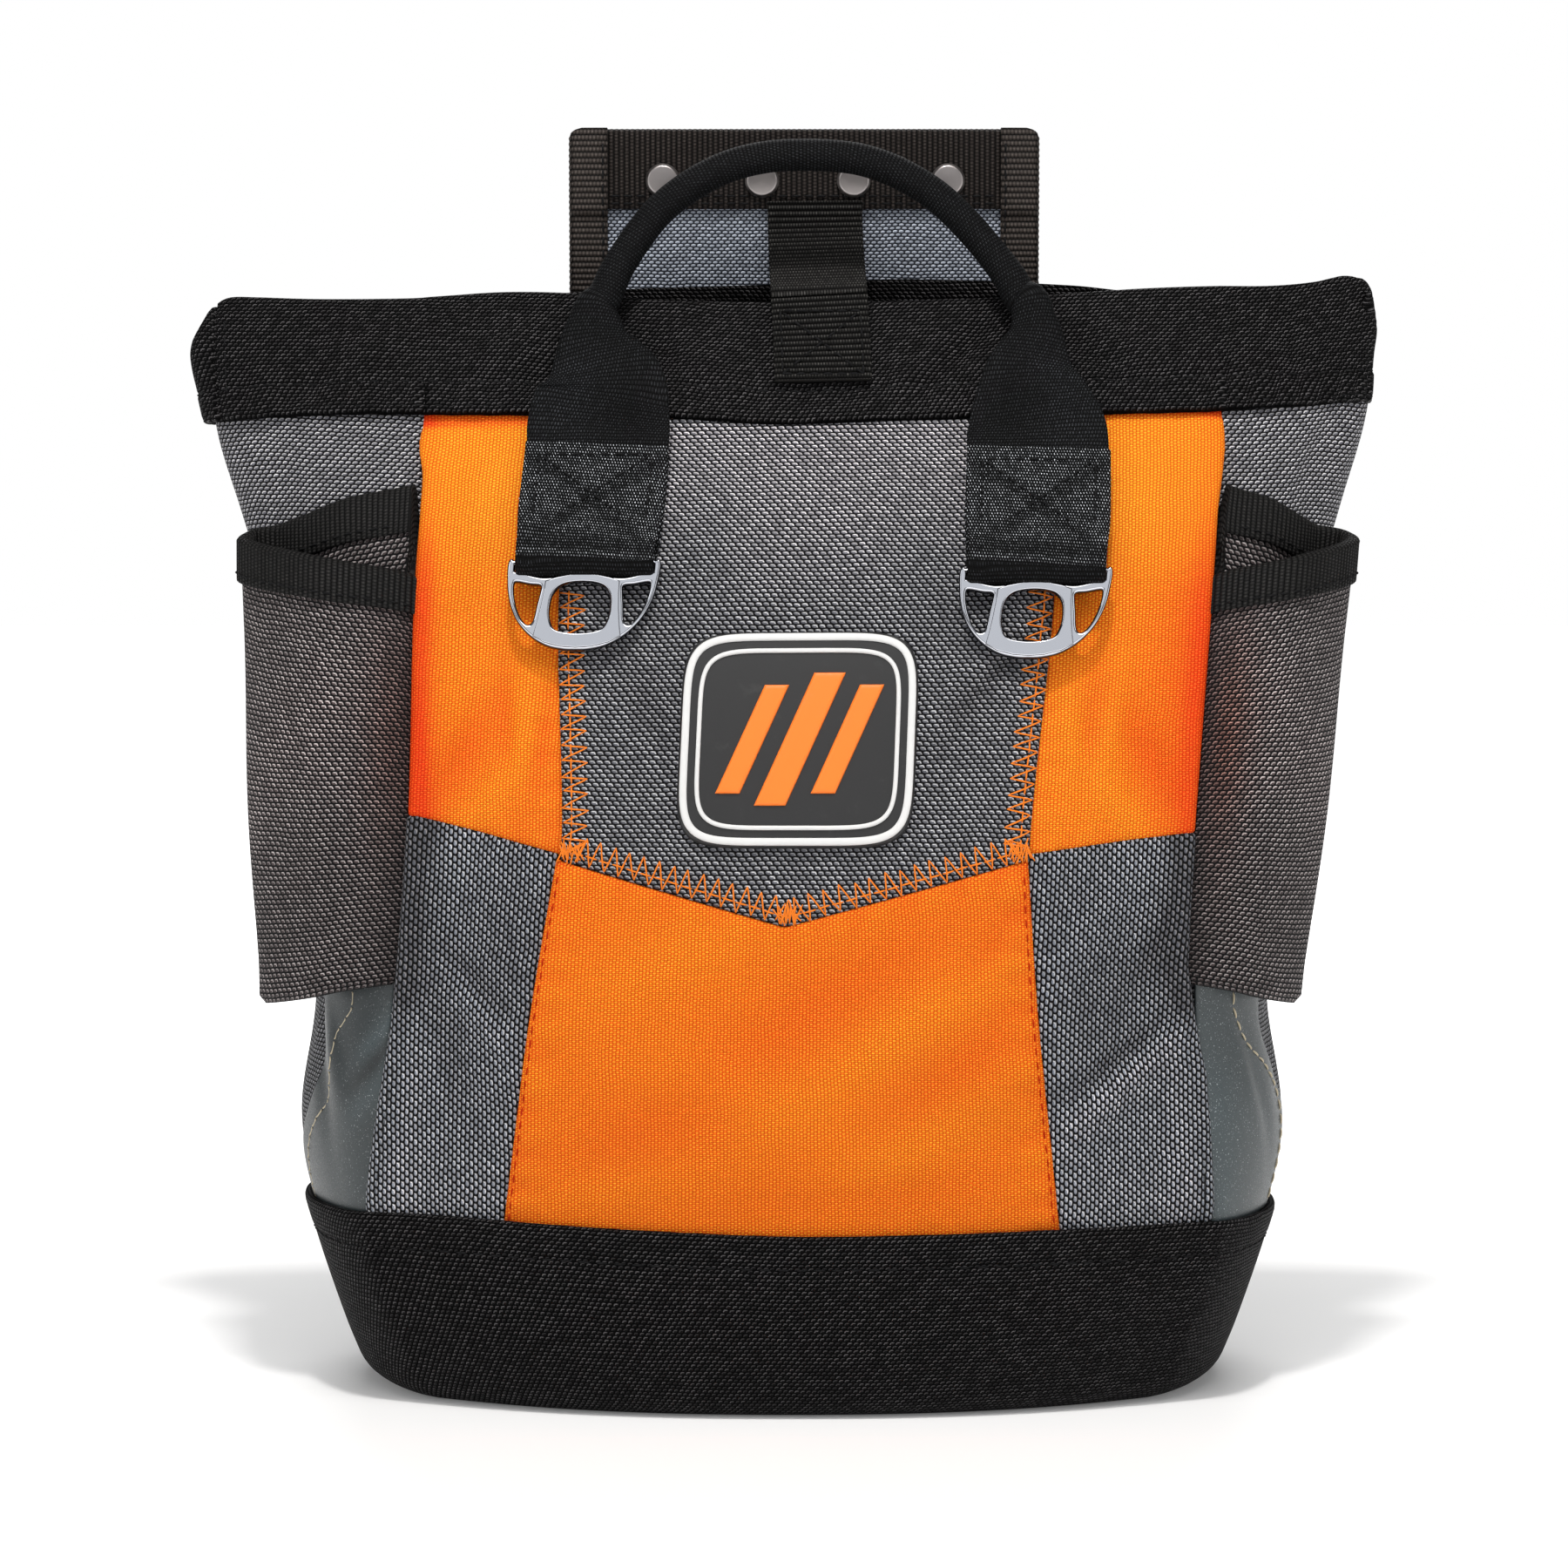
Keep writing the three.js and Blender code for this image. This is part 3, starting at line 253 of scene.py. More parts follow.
def gusset(side, t, z, relief=False):
    s = section(z)
    seam = lerp(side * s["hw"] + s["cx"], side * s["hb"], t)
    swell = np.maximum(4 * t * (1 - t), 0) ** 0.75
    x = seam + (side * s["side"] - seam) * swell
    for dt, dz, rt, rz, deep in SIDE_DENTS:
        x = x - side * deep * swell * bump((t - dt) / rt) * bump((z - dz) / rz)
    if relief:
        for ct, cz, run, lean, half, rise, where in SIDE_CREASES:
            if where in (0, side):
                ridge = crease((t - ct) * GUSSET_SPAN, z - cz, lean, half, run)
                x = x + side * rise * swell * ridge
    y = lerp(-s["yf"], s["yb"], t)
    for dx, dz, rx, rz, deep in FRONT_DENTS:
        if dx * side > 80:
            y = y + deep * bump((s["hw"] - abs(dx)) / rx) * bump((z - dz) / rz) * (1 - t) ** 6
    return leaned(stack(x, y, z))


def back(x, z):
    s = section(z)
    u = np.clip(x / s["hb"], -1, 1)
    return leaned(stack(u * s["hb"], s["yb"] + 3 * (1 - u * u) * smooth(290, 200, z), z))


def ease(v):
    return 0.5 - 0.5 * np.cos(np.pi * v)


def around(w, z, relief=False):
    """Once round the body: 0..1 front, 1..2 right gusset, 2..3 back, 3..4 left gusset."""
    w, z = np.broadcast_arrays(np.asarray(w, float), np.asarray(z, float))
    s = section(z)
    v = np.mod(w, 4)
    faces = [
        (v <= 1, lambda: front(s["cx"] + (2 * v - 1) * s["hw"], z, relief)),
        ((v > 1) & (v <= 2), lambda: gusset(1, ease(np.clip(v - 1, 0, 1)), z, relief)),
        ((v > 2) & (v <= 3), lambda: back((5 - 2 * v) * s["hb"], z)),
        (v > 3, lambda: gusset(-1, ease(np.clip(4 - v, 0, 1)), z, relief)),
    ]
    p = np.zeros(w.shape + (3,))
    for here, make in faces:
        if here.any():
            p = np.where(here[..., None], make(), p)
    return p


def normals(p):
    return unit(np.cross(np.gradient(p, axis=1), np.gradient(p, axis=0)))


def run_length(p, axis):
    """Distance walked along rows or columns of a grid of points."""
    step = np.linalg.norm(np.diff(p, axis=axis), axis=-1)
    start = np.zeros_like(np.take(step, [0], axis=axis))
    return np.concatenate([start, np.cumsum(step, axis=axis)], axis=axis)


def ticks(count, size, roll):
    """Places from 0 to 1, closer together where an edge rolls over."""
    near = np.array([0, 0.05, 0.2, 0.5, 1.0]) * roll / size
    middle = np.linspace(near[-1], 1 - near[-1], count)
    return np.concatenate([near[:-1], middle, (1 - near[:-1])[::-1]])


# Meshes
def build(name, points, faces, places, look, body="pouch", fold=None):
    """A piece from points in millimetres, arrays of faces, and a cloth place for each corner."""
    volume = 0.0
    for f in faces:
        p = points[f]
        for k in range(1, f.shape[1] - 1):
            volume += np.einsum("ij,ij->", p[:, 0], np.cross(p[:, k], p[:, k + 1]))
    if volume < 0:
        faces = [f[:, ::-1] for f in faces]
        places = [u[:, ::-1] for u in places]
    loops = np.concatenate([f.ravel() for f in faces]).astype(np.int32)
    sizes = np.concatenate([np.full(len(f), f.shape[1]) for f in faces])
    starts = np.concatenate([[0], np.cumsum(sizes)[:-1]]).astype(np.int32)
    mesh = bpy.data.meshes.new(name)
    mesh.vertices.add(len(points))
    mesh.vertices.foreach_set("co", ((points + SHIFT) * MM).astype(np.float32).ravel())
    mesh.loops.add(len(loops))
    mesh.loops.foreach_set("vertex_index", loops)
    mesh.polygons.add(len(sizes))
    mesh.polygons.foreach_set("loop_start", starts)
    mesh.polygons.foreach_set("use_smooth", np.ones(len(sizes), bool))
    layer = mesh.uv_layers.new(name="Weave")
    layer.data.foreach_set("uv",
                           np.concatenate([u.reshape(-1, 2) for u in places]).astype(np.float32).ravel())
    mesh.update(calc_edges=True)
    # The fold value is painted shade: below zero darkens the colour, above zero lightens it
    shade = mesh.attributes.new("fold", "FLOAT", "POINT")
    if fold is not None:
        shade.data.foreach_set("value", np.asarray(fold, np.float32).ravel())
    return finish_piece(name, mesh, look, body)


def finish_piece(name, mesh, look, body="pouch"):
    piece = bpy.data.objects.new(name, mesh)
    bpy.context.scene.collection.objects.link(piece)
    material, slot = LOOKS[look]
    mesh.materials.append(material)
    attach(piece, body)
    return piece


def grid(rows, cols, place, wrap_rows=False, wrap_cols=False, start=0):
    """Quads over a grid of points; the cloth places have the wrapped row and column too."""
    r, c = np.meshgrid(np.arange(rows if wrap_rows else rows - 1),
                       np.arange(cols if wrap_cols else cols - 1), indexing="ij")
    corner = [(r, c), (r, c + 1), (r + 1, c + 1), (r + 1, c)]
    quads = np.stack([(i % rows) * cols + j % cols for i, j in corner], -1).reshape(-1, 4) + start
    return quads, np.stack([place[i, j] for i, j in corner], -2).reshape(-1, 4, 2)


def cloth(name, points, inner, outer, look, roll=1.2, place=None, body="pouch", rest=0.12, fold=None):
    """A cloth sheet on a grid of points; its outer face rolls over to the inner one at every edge."""
    rows, cols = points.shape[:2]
    across, up = run_length(points, 1), run_length(points, 0)
    edge = np.minimum(np.minimum(across, across[:, -1:] - across), np.minimum(up, up[-1:] - up))
    turn = np.clip(edge / roll, 0, 1)
    rise = rest + (1 - rest) * np.sqrt(1 - (1 - turn) ** 2)
    out = normals(points)
    inner, outer = np.broadcast_to(inner, turn.shape), np.broadcast_to(outer, turn.shape)
    face = points + out * (inner + (outer - inner) * rise)[..., None]
    under = points + out * inner[..., None]
    if place is None:
        place = np.stack([across - across[:, -1:] / 2, up], -1)
    n = rows * cols
    quads, at = grid(rows, cols, place)
    faces, places = [quads, quads[:, ::-1] + n], [at, at[:, ::-1]]
    index = np.arange(n).reshape(rows, cols)
    for line in (index[0], index[:, -1], index[-1, ::-1], index[::-1, 0]):
        a, b = line[:-1], line[1:]
        faces.append(np.stack([b, a, a + n, b + n], -1))
        flat = place.reshape(-1, 2)
        places.append(np.stack([flat[b], flat[a], flat[a], flat[b]], -2))
    if fold is not None:
        fold = np.tile(fold.ravel(), 2)
    return build(name, np.concatenate([face.reshape(-1, 3), under.reshape(-1, 3)]), faces, places, look,
                 body, fold)


def tube(name, loops, look, joined=False, place=None, body="pouch", fold=None):
    """A skin through closed loops; the ends are closed by fans, or joined to each other for a ring."""
    rows, cols = loops.shape[:2]
    wrapped = np.concatenate([loops, loops[:, :1]], axis=1)
    if joined:
        wrapped = np.concatenate([wrapped, wrapped[:1]], axis=0)
    if place is None:
        place = np.stack([run_length(wrapped, 1), run_length(wrapped, 0)], -1)
    points = loops.reshape(-1, 3)
    quads, at = grid(rows, cols, place, wrap_rows=joined, wrap_cols=True)
    faces, places = [quads], [at]
    if not joined:
        points = np.concatenate([points, loops[:1].mean(axis=1), loops[-1:].mean(axis=1)])
        a = np.arange(cols)
        b = (a + 1) % cols
        for hub, row, flip in ((rows * cols, 0, True), (rows * cols + 1, rows - 1, False)):
            near, far = row * cols + a, row * cols + b
            fan = np.stack([np.full(cols, hub), far, near] if flip else [np.full(cols, hub), near, far],
                           -1)
            faces.append(fan)
            places.append(np.zeros((cols, 3, 2)) + place[row, 0])
        if fold is not None:
            fold = np.concatenate([fold.ravel(), [0, 0]])
    return build(name, points, faces, places, look, body, fold)


def spline(points, count, closed=False):
    """A smooth curve through rows of numbers, sampled evenly by row."""
    p = np.asarray(points, float)
    n = len(p)
    t = np.linspace(0, n if closed else n - 1, count, endpoint=not closed)
    i = np.minimum(t.astype(int), n - 1 if closed else n - 2)
    f = (t - i)[:, None]

    def pick(k):
        return p[k % n] if closed else p[np.clip(k, 0, n - 1)]
    a, b, c, d = pick(i - 1), pick(i), pick(i + 1), pick(i + 2)
    return (0.5 * (2 * b + (c - a) * f + (2 * a - 5 * b + 4 * c - d) * f ** 2
                   + (3 * b - a - 3 * c + d) * f ** 3))


def spaced(line, step):
    """Points along a line of points, a step apart."""
    far = run_length(line, 0)
    count = max(2, int(round(far[-1] / step)) + 1)
    at = np.linspace(0, far[-1], count)
    return np.stack([np.interp(at, far, line[:, k]) for k in range(line.shape[1])], -1)


def threads(name, centre, out, look, radius=0.28, sink=0.6, body="pouch"):
    """Stitches along rows of points on the cloth with their outward direction; the ends dive in."""
    count, steps = centre.shape[:2]
    along = unit(np.gradient(centre, axis=1))
    side = unit(np.cross(along, out))
    up = unit(np.cross(side, along))
    share = np.linspace(0, 1, steps)
    arch = np.sin(np.pi * share) ** 0.5
    lift = (radius * 0.75 * arch - sink * radius * (1 - arch))[None, :, None]
    girth = (radius * (0.65 + 0.35 * arch))[None, :, None, None]
    n = 6
    angle = np.linspace(0, TAU, n, endpoint=False)
    ring = (np.cos(angle)[None, None, :, None] * side[:, :, None]
            + np.sin(angle)[None, None, :, None] * up[:, :, None])
    points = (centre + up * lift)[:, :, None] + ring * girth
    size = steps * n
    r, c = np.meshgrid(np.arange(steps - 1), np.arange(n), indexing="ij")
    one = np.stack([r * n + c, r * n + (c + 1) % n, (r + 1) * n + (c + 1) % n, (r + 1) * n + c], -1)
    one = one.reshape(-1, 4)
    caps = np.array([np.arange(n)[::-1], size - n + np.arange(n)])
    start = (np.arange(count) * size)[:, None, None]
    quads = (one[None] + start).reshape(-1, 4)
    ends = (caps[None] + start).reshape(-1, n)
    pitch = 0.3
    places = [np.stack([quads % n, (quads // n) % steps], -1) * pitch,
              np.stack([ends % n, ends * 0], -1) * pitch]
    return build(name, points.reshape(-1, 3), [quads, ends], places, look, body)


def stitches(surface, line, length, gap, steps=6):
    """Cuts a line of surface places into stitches; surface(a, b) gives points and directions."""
    pts, _ = surface(line[:, 0], line[:, 1])
    far = run_length(pts, 0)
    count = max(1, int(far[-1] / (length + gap)))
    pitch = far[-1] / count
    at = (np.arange(count)[:, None] * pitch) + np.linspace(0, length, steps)[None]
    a = np.interp(at, far, line[:, 0])
    b = np.interp(at, far, line[:, 1])
    return surface(a, b)


def facing(make, step_a=0.4, step_b=0.4):
    """Points and outward directions of a surface made by make(a, b)."""
    def surface(a, b):
        du = make(a + step_a, b) - make(a - step_a, b)
        dv = make(a, b + step_b) - make(a, b - step_b)
        return make(a, b), unit(np.cross(du, dv))
    return surface


def raised(surface, off):
    def lifted(a, b):
        p, out = surface(a, b)
        return p + out * off, out
    return lifted


# Shader node helpers
def feed(tree, node, inputs):
    """Links sockets and sets plain values on a node's inputs."""
    for key, value in inputs.items():
        if isinstance(value, bpy.types.NodeSocket):
            tree.links.new(value, node.inputs[key])
        else:
            node.inputs[key].default_value = value
    return node


def put(tree, kind, inputs=None, **settings):
    node = tree.nodes.new(kind)
    for key, value in settings.items():
        setattr(node, key, value)
    return feed(tree, node, inputs or {})


def calc(tree, operation, a, b=0.0, c=0.0):
    return put(tree, "ShaderNodeMath", {0: a, 1: b, 2: c}, operation=operation).outputs[0]


def blend(tree, share, a, b, mode="MIX"):
    node = put(tree, "ShaderNodeMix", {0: share, 6: a, 7: b}, data_type="RGBA", blend_type=mode)
    return node.outputs[2]


def soft_step(tree, value, low, high):
    node = put(tree, "ShaderNodeMapRange", {"Value": value, "From Min": low, "From Max": high},
               interpolation_type="SMOOTHSTEP")
    return node.outputs[0]


def half_wave(tree, share):
    """Nought at both ends of a share and one in its middle."""
    return calc(tree, "SINE", calc(tree, "MULTIPLY", share, math.pi))


def cell_chance(tree, col, row):
    """A number of its own for each crossing of the cloth."""
    cell = put(tree, "ShaderNodeCombineXYZ", {0: col, 1: row})
    noise = put(tree, "ShaderNodeTexWhiteNoise", {"Vector": cell.outputs[0]}, noise_dimensions="2D")
    return noise.outputs["Value"]


def toned(tree, color, value):
    """A colour made lighter or darker by a number."""
    grey = put(tree, "ShaderNodeCombineXYZ", {0: value, 1: value, 2: value})
    return blend(tree, 1.0, color, grey.outputs[0], "MULTIPLY")


def group(name, inputs, outputs):
    """A shader node group with named sockets; returns the tree and its input sockets by name."""
    tree = bpy.data.node_groups.new(name, "ShaderNodeTree")
    for key, (kind, value) in inputs.items():
        socket = tree.interface.new_socket(key, in_out="INPUT", socket_type="NodeSocket" + kind)
        if value is not None:
            socket.default_value = value
    for key, kind in outputs.items():
        tree.interface.new_socket(key, in_out="OUTPUT", socket_type="NodeSocket" + kind)
    source = tree.nodes.new("NodeGroupInput")
    return tree, {key: source.outputs[key] for key in inputs}


def close_group(tree, results):
    put(tree, "NodeGroupOutput", results)
    return tree


def rgb(r, g, b):
    return (r, g, b, 1.0)


WEAVE_SOCKETS = {
    "Place": ("Vector", None), "Warp pitch": ("Float", 0.7), "Weft pitch": ("Float", 1.0),
    "Warp": ("Color", rgb(0.2, 0.2, 0.2)), "Weft": ("Color", rgb(0.1, 0.1, 0.1)),
    "Gap": ("Color", rgb(0.01, 0.01, 0.01)), "Glint": ("Color", rgb(0.6, 0.6, 0.6)),
    "Glint share": ("Float", 0.4), "Slub": ("Float", 0.4), "Slant": ("Float", 0.3),
}
CLOTH_RESULTS = {"Color": "Color", "Height": "Float", "Roughness": "Float"}


def thread_rows(tree, i):
    """The weft row, the share up it and the warp steps along it, in cloth that sways a little."""
    sway = put(tree, "ShaderNodeTexNoise", {"Vector": i["Place"], "Scale": 0.09, "Detail": 2.0})
    moved = sway.outputs["Color"]
    for operation, amount in (("SUBTRACT", (0.5, 0.5, 0.5)), ("MULTIPLY", (1.0, 1.0, 0.0)),
                              ("ADD", i["Place"])):
        moved = put(tree, "ShaderNodeVectorMath", {0: moved, 1: amount}, operation=operation).outputs[0]
    xyz = put(tree, "ShaderNodeSeparateXYZ", {0: moved})
    v = calc(tree, "DIVIDE", xyz.outputs[1], i["Weft pitch"])
    in_row = calc(tree, "FRACT", v)
    lean = calc(tree, "MULTIPLY", calc(tree, "SUBTRACT", in_row, 0.5), i["Slant"])
    along = calc(tree, "SUBTRACT", calc(tree, "DIVIDE", xyz.outputs[0], i["Warp pitch"]), lean)
    return calc(tree, "FLOOR", v), in_row, along


def close_weave(tree, i, height, shade, thread, shine, chance):
    """Colours the threads, the painted shade in the gaps and the painted glints, and closes the group."""
    color = blend(tree, shade, i["Gap"], thread)
    color = blend(tree, shine, color, i["Glint"])
    slub = calc(tree, "MULTIPLY_ADD", calc(tree, "SUBTRACT", chance, 0.5), i["Slub"], 1.0)
    rough = calc(tree, "MULTIPLY_ADD", shade, -0.3, 0.85)
    return close_group(tree, {"Color": toned(tree, color, slub), "Height": height, "Roughness": rough})


def weave_group():
    """A plain weave: warp and weft cross over and under, in millimetres of cloth, the under ones painted
    darker.
    """
    tree, i = group("plain_weave", WEAVE_SOCKETS, CLOTH_RESULTS)
    row, in_row, u = thread_rows(tree, i)
    col = calc(tree, "FLOOR", u)
    over = calc(tree, "FLOORED_MODULO", calc(tree, "ADD", row, col), 2.0)
    under = calc(tree, "SUBTRACT", 1.0, over)
    across, along = half_wave(tree, calc(tree, "FRACT", u)), half_wave(tree, in_row)
    warp, weft = [calc(tree, "MULTIPLY", calc(tree, "POWER", a, 0.6),
                       calc(tree, "MULTIPLY_ADD", b, 0.75, 0.25))
                  for a, b in ((across, along), (along, across))]
    height = calc(tree, "ADD", calc(tree, "MULTIPLY", warp, over),
                  calc(tree, "MULTIPLY", calc(tree, "MULTIPLY", weft, under), 0.8))
    chance = cell_chance(tree, col, row)
    thread = blend(tree, over, i["Weft"], i["Warp"])
    shine = calc(tree, "MULTIPLY", soft_step(tree, height, 0.62, 0.98), i["Glint share"])
    shine = calc(tree, "MULTIPLY", shine,
                 calc(tree, "MULTIPLY", over, calc(tree, "MULTIPLY_ADD", chance, 0.75, 0.25)))
    return close_weave(tree, i, height, soft_step(tree, height, 0.12, 0.8), thread, shine, chance)


def basket_group():
    """A coarse weave: short fat threads laid like bricks, painted dark between, each painted lit near a
    corner.
    """
    tree, i = group("basket_weave", dict(WEAVE_SOCKETS, Open=("Float", 0.6)), CLOTH_RESULTS)
    row, in_row, half_steps = thread_rows(tree, i)
    odd = calc(tree, "FLOORED_MODULO", row, 2.0)
    u = calc(tree, "MULTIPLY", calc(tree, "ADD", half_steps, odd), 0.5)
    in_col = calc(tree, "FRACT", u)
    across, along = half_wave(tree, in_col), half_wave(tree, in_row)
    height = calc(tree, "MULTIPLY", calc(tree, "POWER", across, 0.5),
                  calc(tree, "MULTIPLY_ADD", calc(tree, "POWER", along, 0.65), 0.75, 0.25))
    chance = cell_chance(tree, calc(tree, "FLOOR", u), row)
    thread = blend(tree, across, i["Weft"], i["Warp"])
    shade = soft_step(tree, height, i["Open"], calc(tree, "ADD", i["Open"], 0.22))
    glints = ((in_col, 0.36, 2.6), (in_row, 0.76, 6.0), (in_col, 0.17, 8.0), (in_row, 0.5, 3.0))
    far = [calc(tree, "POWER", calc(tree, "MULTIPLY", calc(tree, "SUBTRACT", way, middle), narrow), 2.0)
           for way, middle, narrow in glints]
    stroke = calc(tree, "MINIMUM", calc(tree, "ADD", far[0], far[1]), calc(tree, "ADD", far[2], far[3]))
    spot = calc(tree, "MAXIMUM", calc(tree, "SUBTRACT", 1.0, stroke), 0.0)
    shine = calc(tree, "MULTIPLY", calc(tree, "MULTIPLY", spot, i["Glint share"]),
                 calc(tree, "MULTIPLY_ADD", chance, 0.5, 0.5))
    return close_weave(tree, i, height, shade, thread, shine, chance)


def rib_group():
    """Ribbed tape: cords side by side, each wound with small beads; painted shade between, painted glints
    on top.
    """
    tree, i = group("ribbed_tape", {
        "Place": ("Vector", None), "Rib pitch": ("Float", 1.8), "Bead pitch": ("Float", 1.0),
        "Cord": ("Color", rgb(0.05, 0.05, 0.05)), "Gap": ("Color", rgb(0.004, 0.004, 0.004)),
        "Glint": ("Color", rgb(0.2, 0.2, 0.2)), "Glint share": ("Float", 0.4),
        "Bead depth": ("Float", 0.4),
    }, CLOTH_RESULTS)
    xyz = put(tree, "ShaderNodeSeparateXYZ", {0: i["Place"]})
    v = calc(tree, "DIVIDE", xyz.outputs[1], i["Rib pitch"])
    row = calc(tree, "FLOOR", v)
    in_row = calc(tree, "FRACT", v)
    odd = calc(tree, "MULTIPLY", calc(tree, "FLOORED_MODULO", row, 2.0), 0.5)
    u = calc(tree, "ADD", calc(tree, "DIVIDE", xyz.outputs[0], i["Bead pitch"]), odd)
    along, up = half_wave(tree, calc(tree, "FRACT", u)), half_wave(tree, in_row)
    bead = calc(tree, "MULTIPLY_ADD", calc(tree, "SUBTRACT", along, 1.0), i["Bead depth"], 1.0)
    height = calc(tree, "MULTIPLY", calc(tree, "POWER", up, 0.6), bead)
    chance = cell_chance(tree, calc(tree, "FLOOR", u), row)
    shade = soft_step(tree, height, 0.1, 0.85)
    color = blend(tree, shade, i["Gap"], i["Cord"])
    shine = calc(tree, "MULTIPLY", soft_step(tree, height, 0.75, 1.0), i["Glint share"])
    shine = calc(tree, "MULTIPLY", shine, calc(tree, "MULTIPLY_ADD", chance, 0.8, 0.2))
    color = blend(tree, shine, color, i["Glint"])
    rough = calc(tree, "MULTIPLY_ADD", shade, -0.25, 0.85)
    return close_group(tree, {"Color": color, "Height": height, "Roughness": rough})


def painted_shade_group():
    """Paints shade in valleys and light on ridges by the fold shade, and light bounced from the next
    piece.
    """
    tree, i = group("painted_shade_tint", {
        "Color": ("Color", rgb(0.5, 0.5, 0.5)), "Light_and_shade": ("Float", 0.0), "Glow": ("Float", 0.0),
        "Painted shade tint": ("Color", rgb(0.7, 0.7, 0.7)), "Painted light tint": ("Color", rgb(1.1, 1.1, 1.1)),
        "Cast": ("Color", rgb(0.2, 0.05, 0.02)),
    }, {"Color": "Color"})
    down = put(tree, "ShaderNodeMapRange",
               {"Value": i["Light_and_shade"], "From Min": 0.0, "From Max": -1.0}).outputs[0]
    up = put(tree, "ShaderNodeMapRange",
             {"Value": i["Light_and_shade"], "From Min": 0.0, "From Max": 1.0}).outputs[0]
    tint = blend(tree, down, rgb(1.0, 1.0, 1.0), i["Painted shade tint"])
    tint = blend(tree, up, tint, i["Painted light tint"])
    color = blend(tree, 1.0, i["Color"], tint, "MULTIPLY")
    lit = blend(tree, 1.0, color, i["Cast"], "MULTIPLY")
    return close_group(tree, {"Color": blend(tree, i["Glow"], color, lit)})


def use_group():
    """Slow change of tone over the cloth, with a little pale dust in specks."""
    tree, i = group("cloth_use", {
        "Color": ("Color", rgb(0.5, 0.5, 0.5)), "Where": ("Vector", None), "Tone": ("Float", 0.12),
        "Dust": ("Float", 0.05), "Dust color": ("Color", rgb(0.3, 0.28, 0.25)),
    }, {"Color": "Color"})
    wide = put(tree, "ShaderNodeTexNoise",
               {"Vector": i["Where"], "Scale": 22.0, "Detail": 3.0, "Roughness": 0.55})
    tone = calc(tree, "MULTIPLY_ADD", calc(tree, "SUBTRACT", wide.outputs[0], 0.5),
                calc(tree, "MULTIPLY", i["Tone"], 2.0), 1.0)
    color = toned(tree, i["Color"], tone)
    fine = put(tree, "ShaderNodeTexNoise",
               {"Vector": i["Where"], "Scale": 160.0, "Detail": 4.0, "Roughness": 0.7})
    specks = soft_step(tree, fine.outputs[0], 0.56, 0.8)
    color = blend(tree, calc(tree, "MULTIPLY", specks, i["Dust"]), color, i["Dust color"])
    return close_group(tree, {"Color": color})


GROUPS = {"weave": weave_group(), "basket": basket_group(), "rib": rib_group(), "use": use_group(),
          "fold": painted_shade_group()}


def material(name):
    m = bpy.data.materials.new(name)
    m.use_nodes = True
    return m, m.node_tree, m.node_tree.nodes["Principled BSDF"]


def placed(tree, kind, values):
    node = put(tree, "ShaderNodeGroup")
    node.node_tree = GROUPS[kind]
    return feed(tree, node, values)


def cloth_look(name, kind, values, depth, sheen=0.0, tone=0.1, turn=0.0, specular=0.16, fold=None):
    """A woven or ribbed material on the piece's own cloth places."""
    m, tree, shader = material(name)
    uv = put(tree, "ShaderNodeUVMap", uv_map="Weave")
    where = put(tree, "ShaderNodeMapping", {"Vector": uv.outputs[0], "Rotation": (0.0, 0.0, turn)})
    weave = placed(tree, kind, dict(values, Place=where.outputs[0]))
    object_place = put(tree, "ShaderNodeTexCoord")
    color = weave.outputs["Color"]
    # fold tints paint shade and light by each point's fold value, and bounced light by its glow value
    if fold:
        shade = put(tree, "ShaderNodeAttribute", attribute_name="fold")
        glow = put(tree, "ShaderNodeAttribute", attribute_name="glow")
        color = placed(tree, "fold",
                       dict(fold, Color=color, Light_and_shade=shade.outputs["Fac"],
                            Glow=glow.outputs["Fac"])).outputs["Color"]
    use = placed(tree, "use",
                 {"Color": color, "Where": object_place.outputs["Object"], "Tone": tone, "Dust": 0.0})
    tree.links.new(use.outputs["Color"], shader.inputs["Base Color"])
    tree.links.new(weave.outputs["Roughness"], shader.inputs["Roughness"])
    bumped = put(tree, "ShaderNodeBump",
                 {"Height": weave.outputs["Height"], "Strength": 1.0, "Distance": depth * MM})
    tree.links.new(bumped.outputs[0], shader.inputs["Normal"])
    shader.inputs["Sheen Weight"].default_value = sheen
    shader.inputs["Sheen Roughness"].default_value = 0.4
    shader.inputs["Specular IOR Level"].default_value = specular
    return m


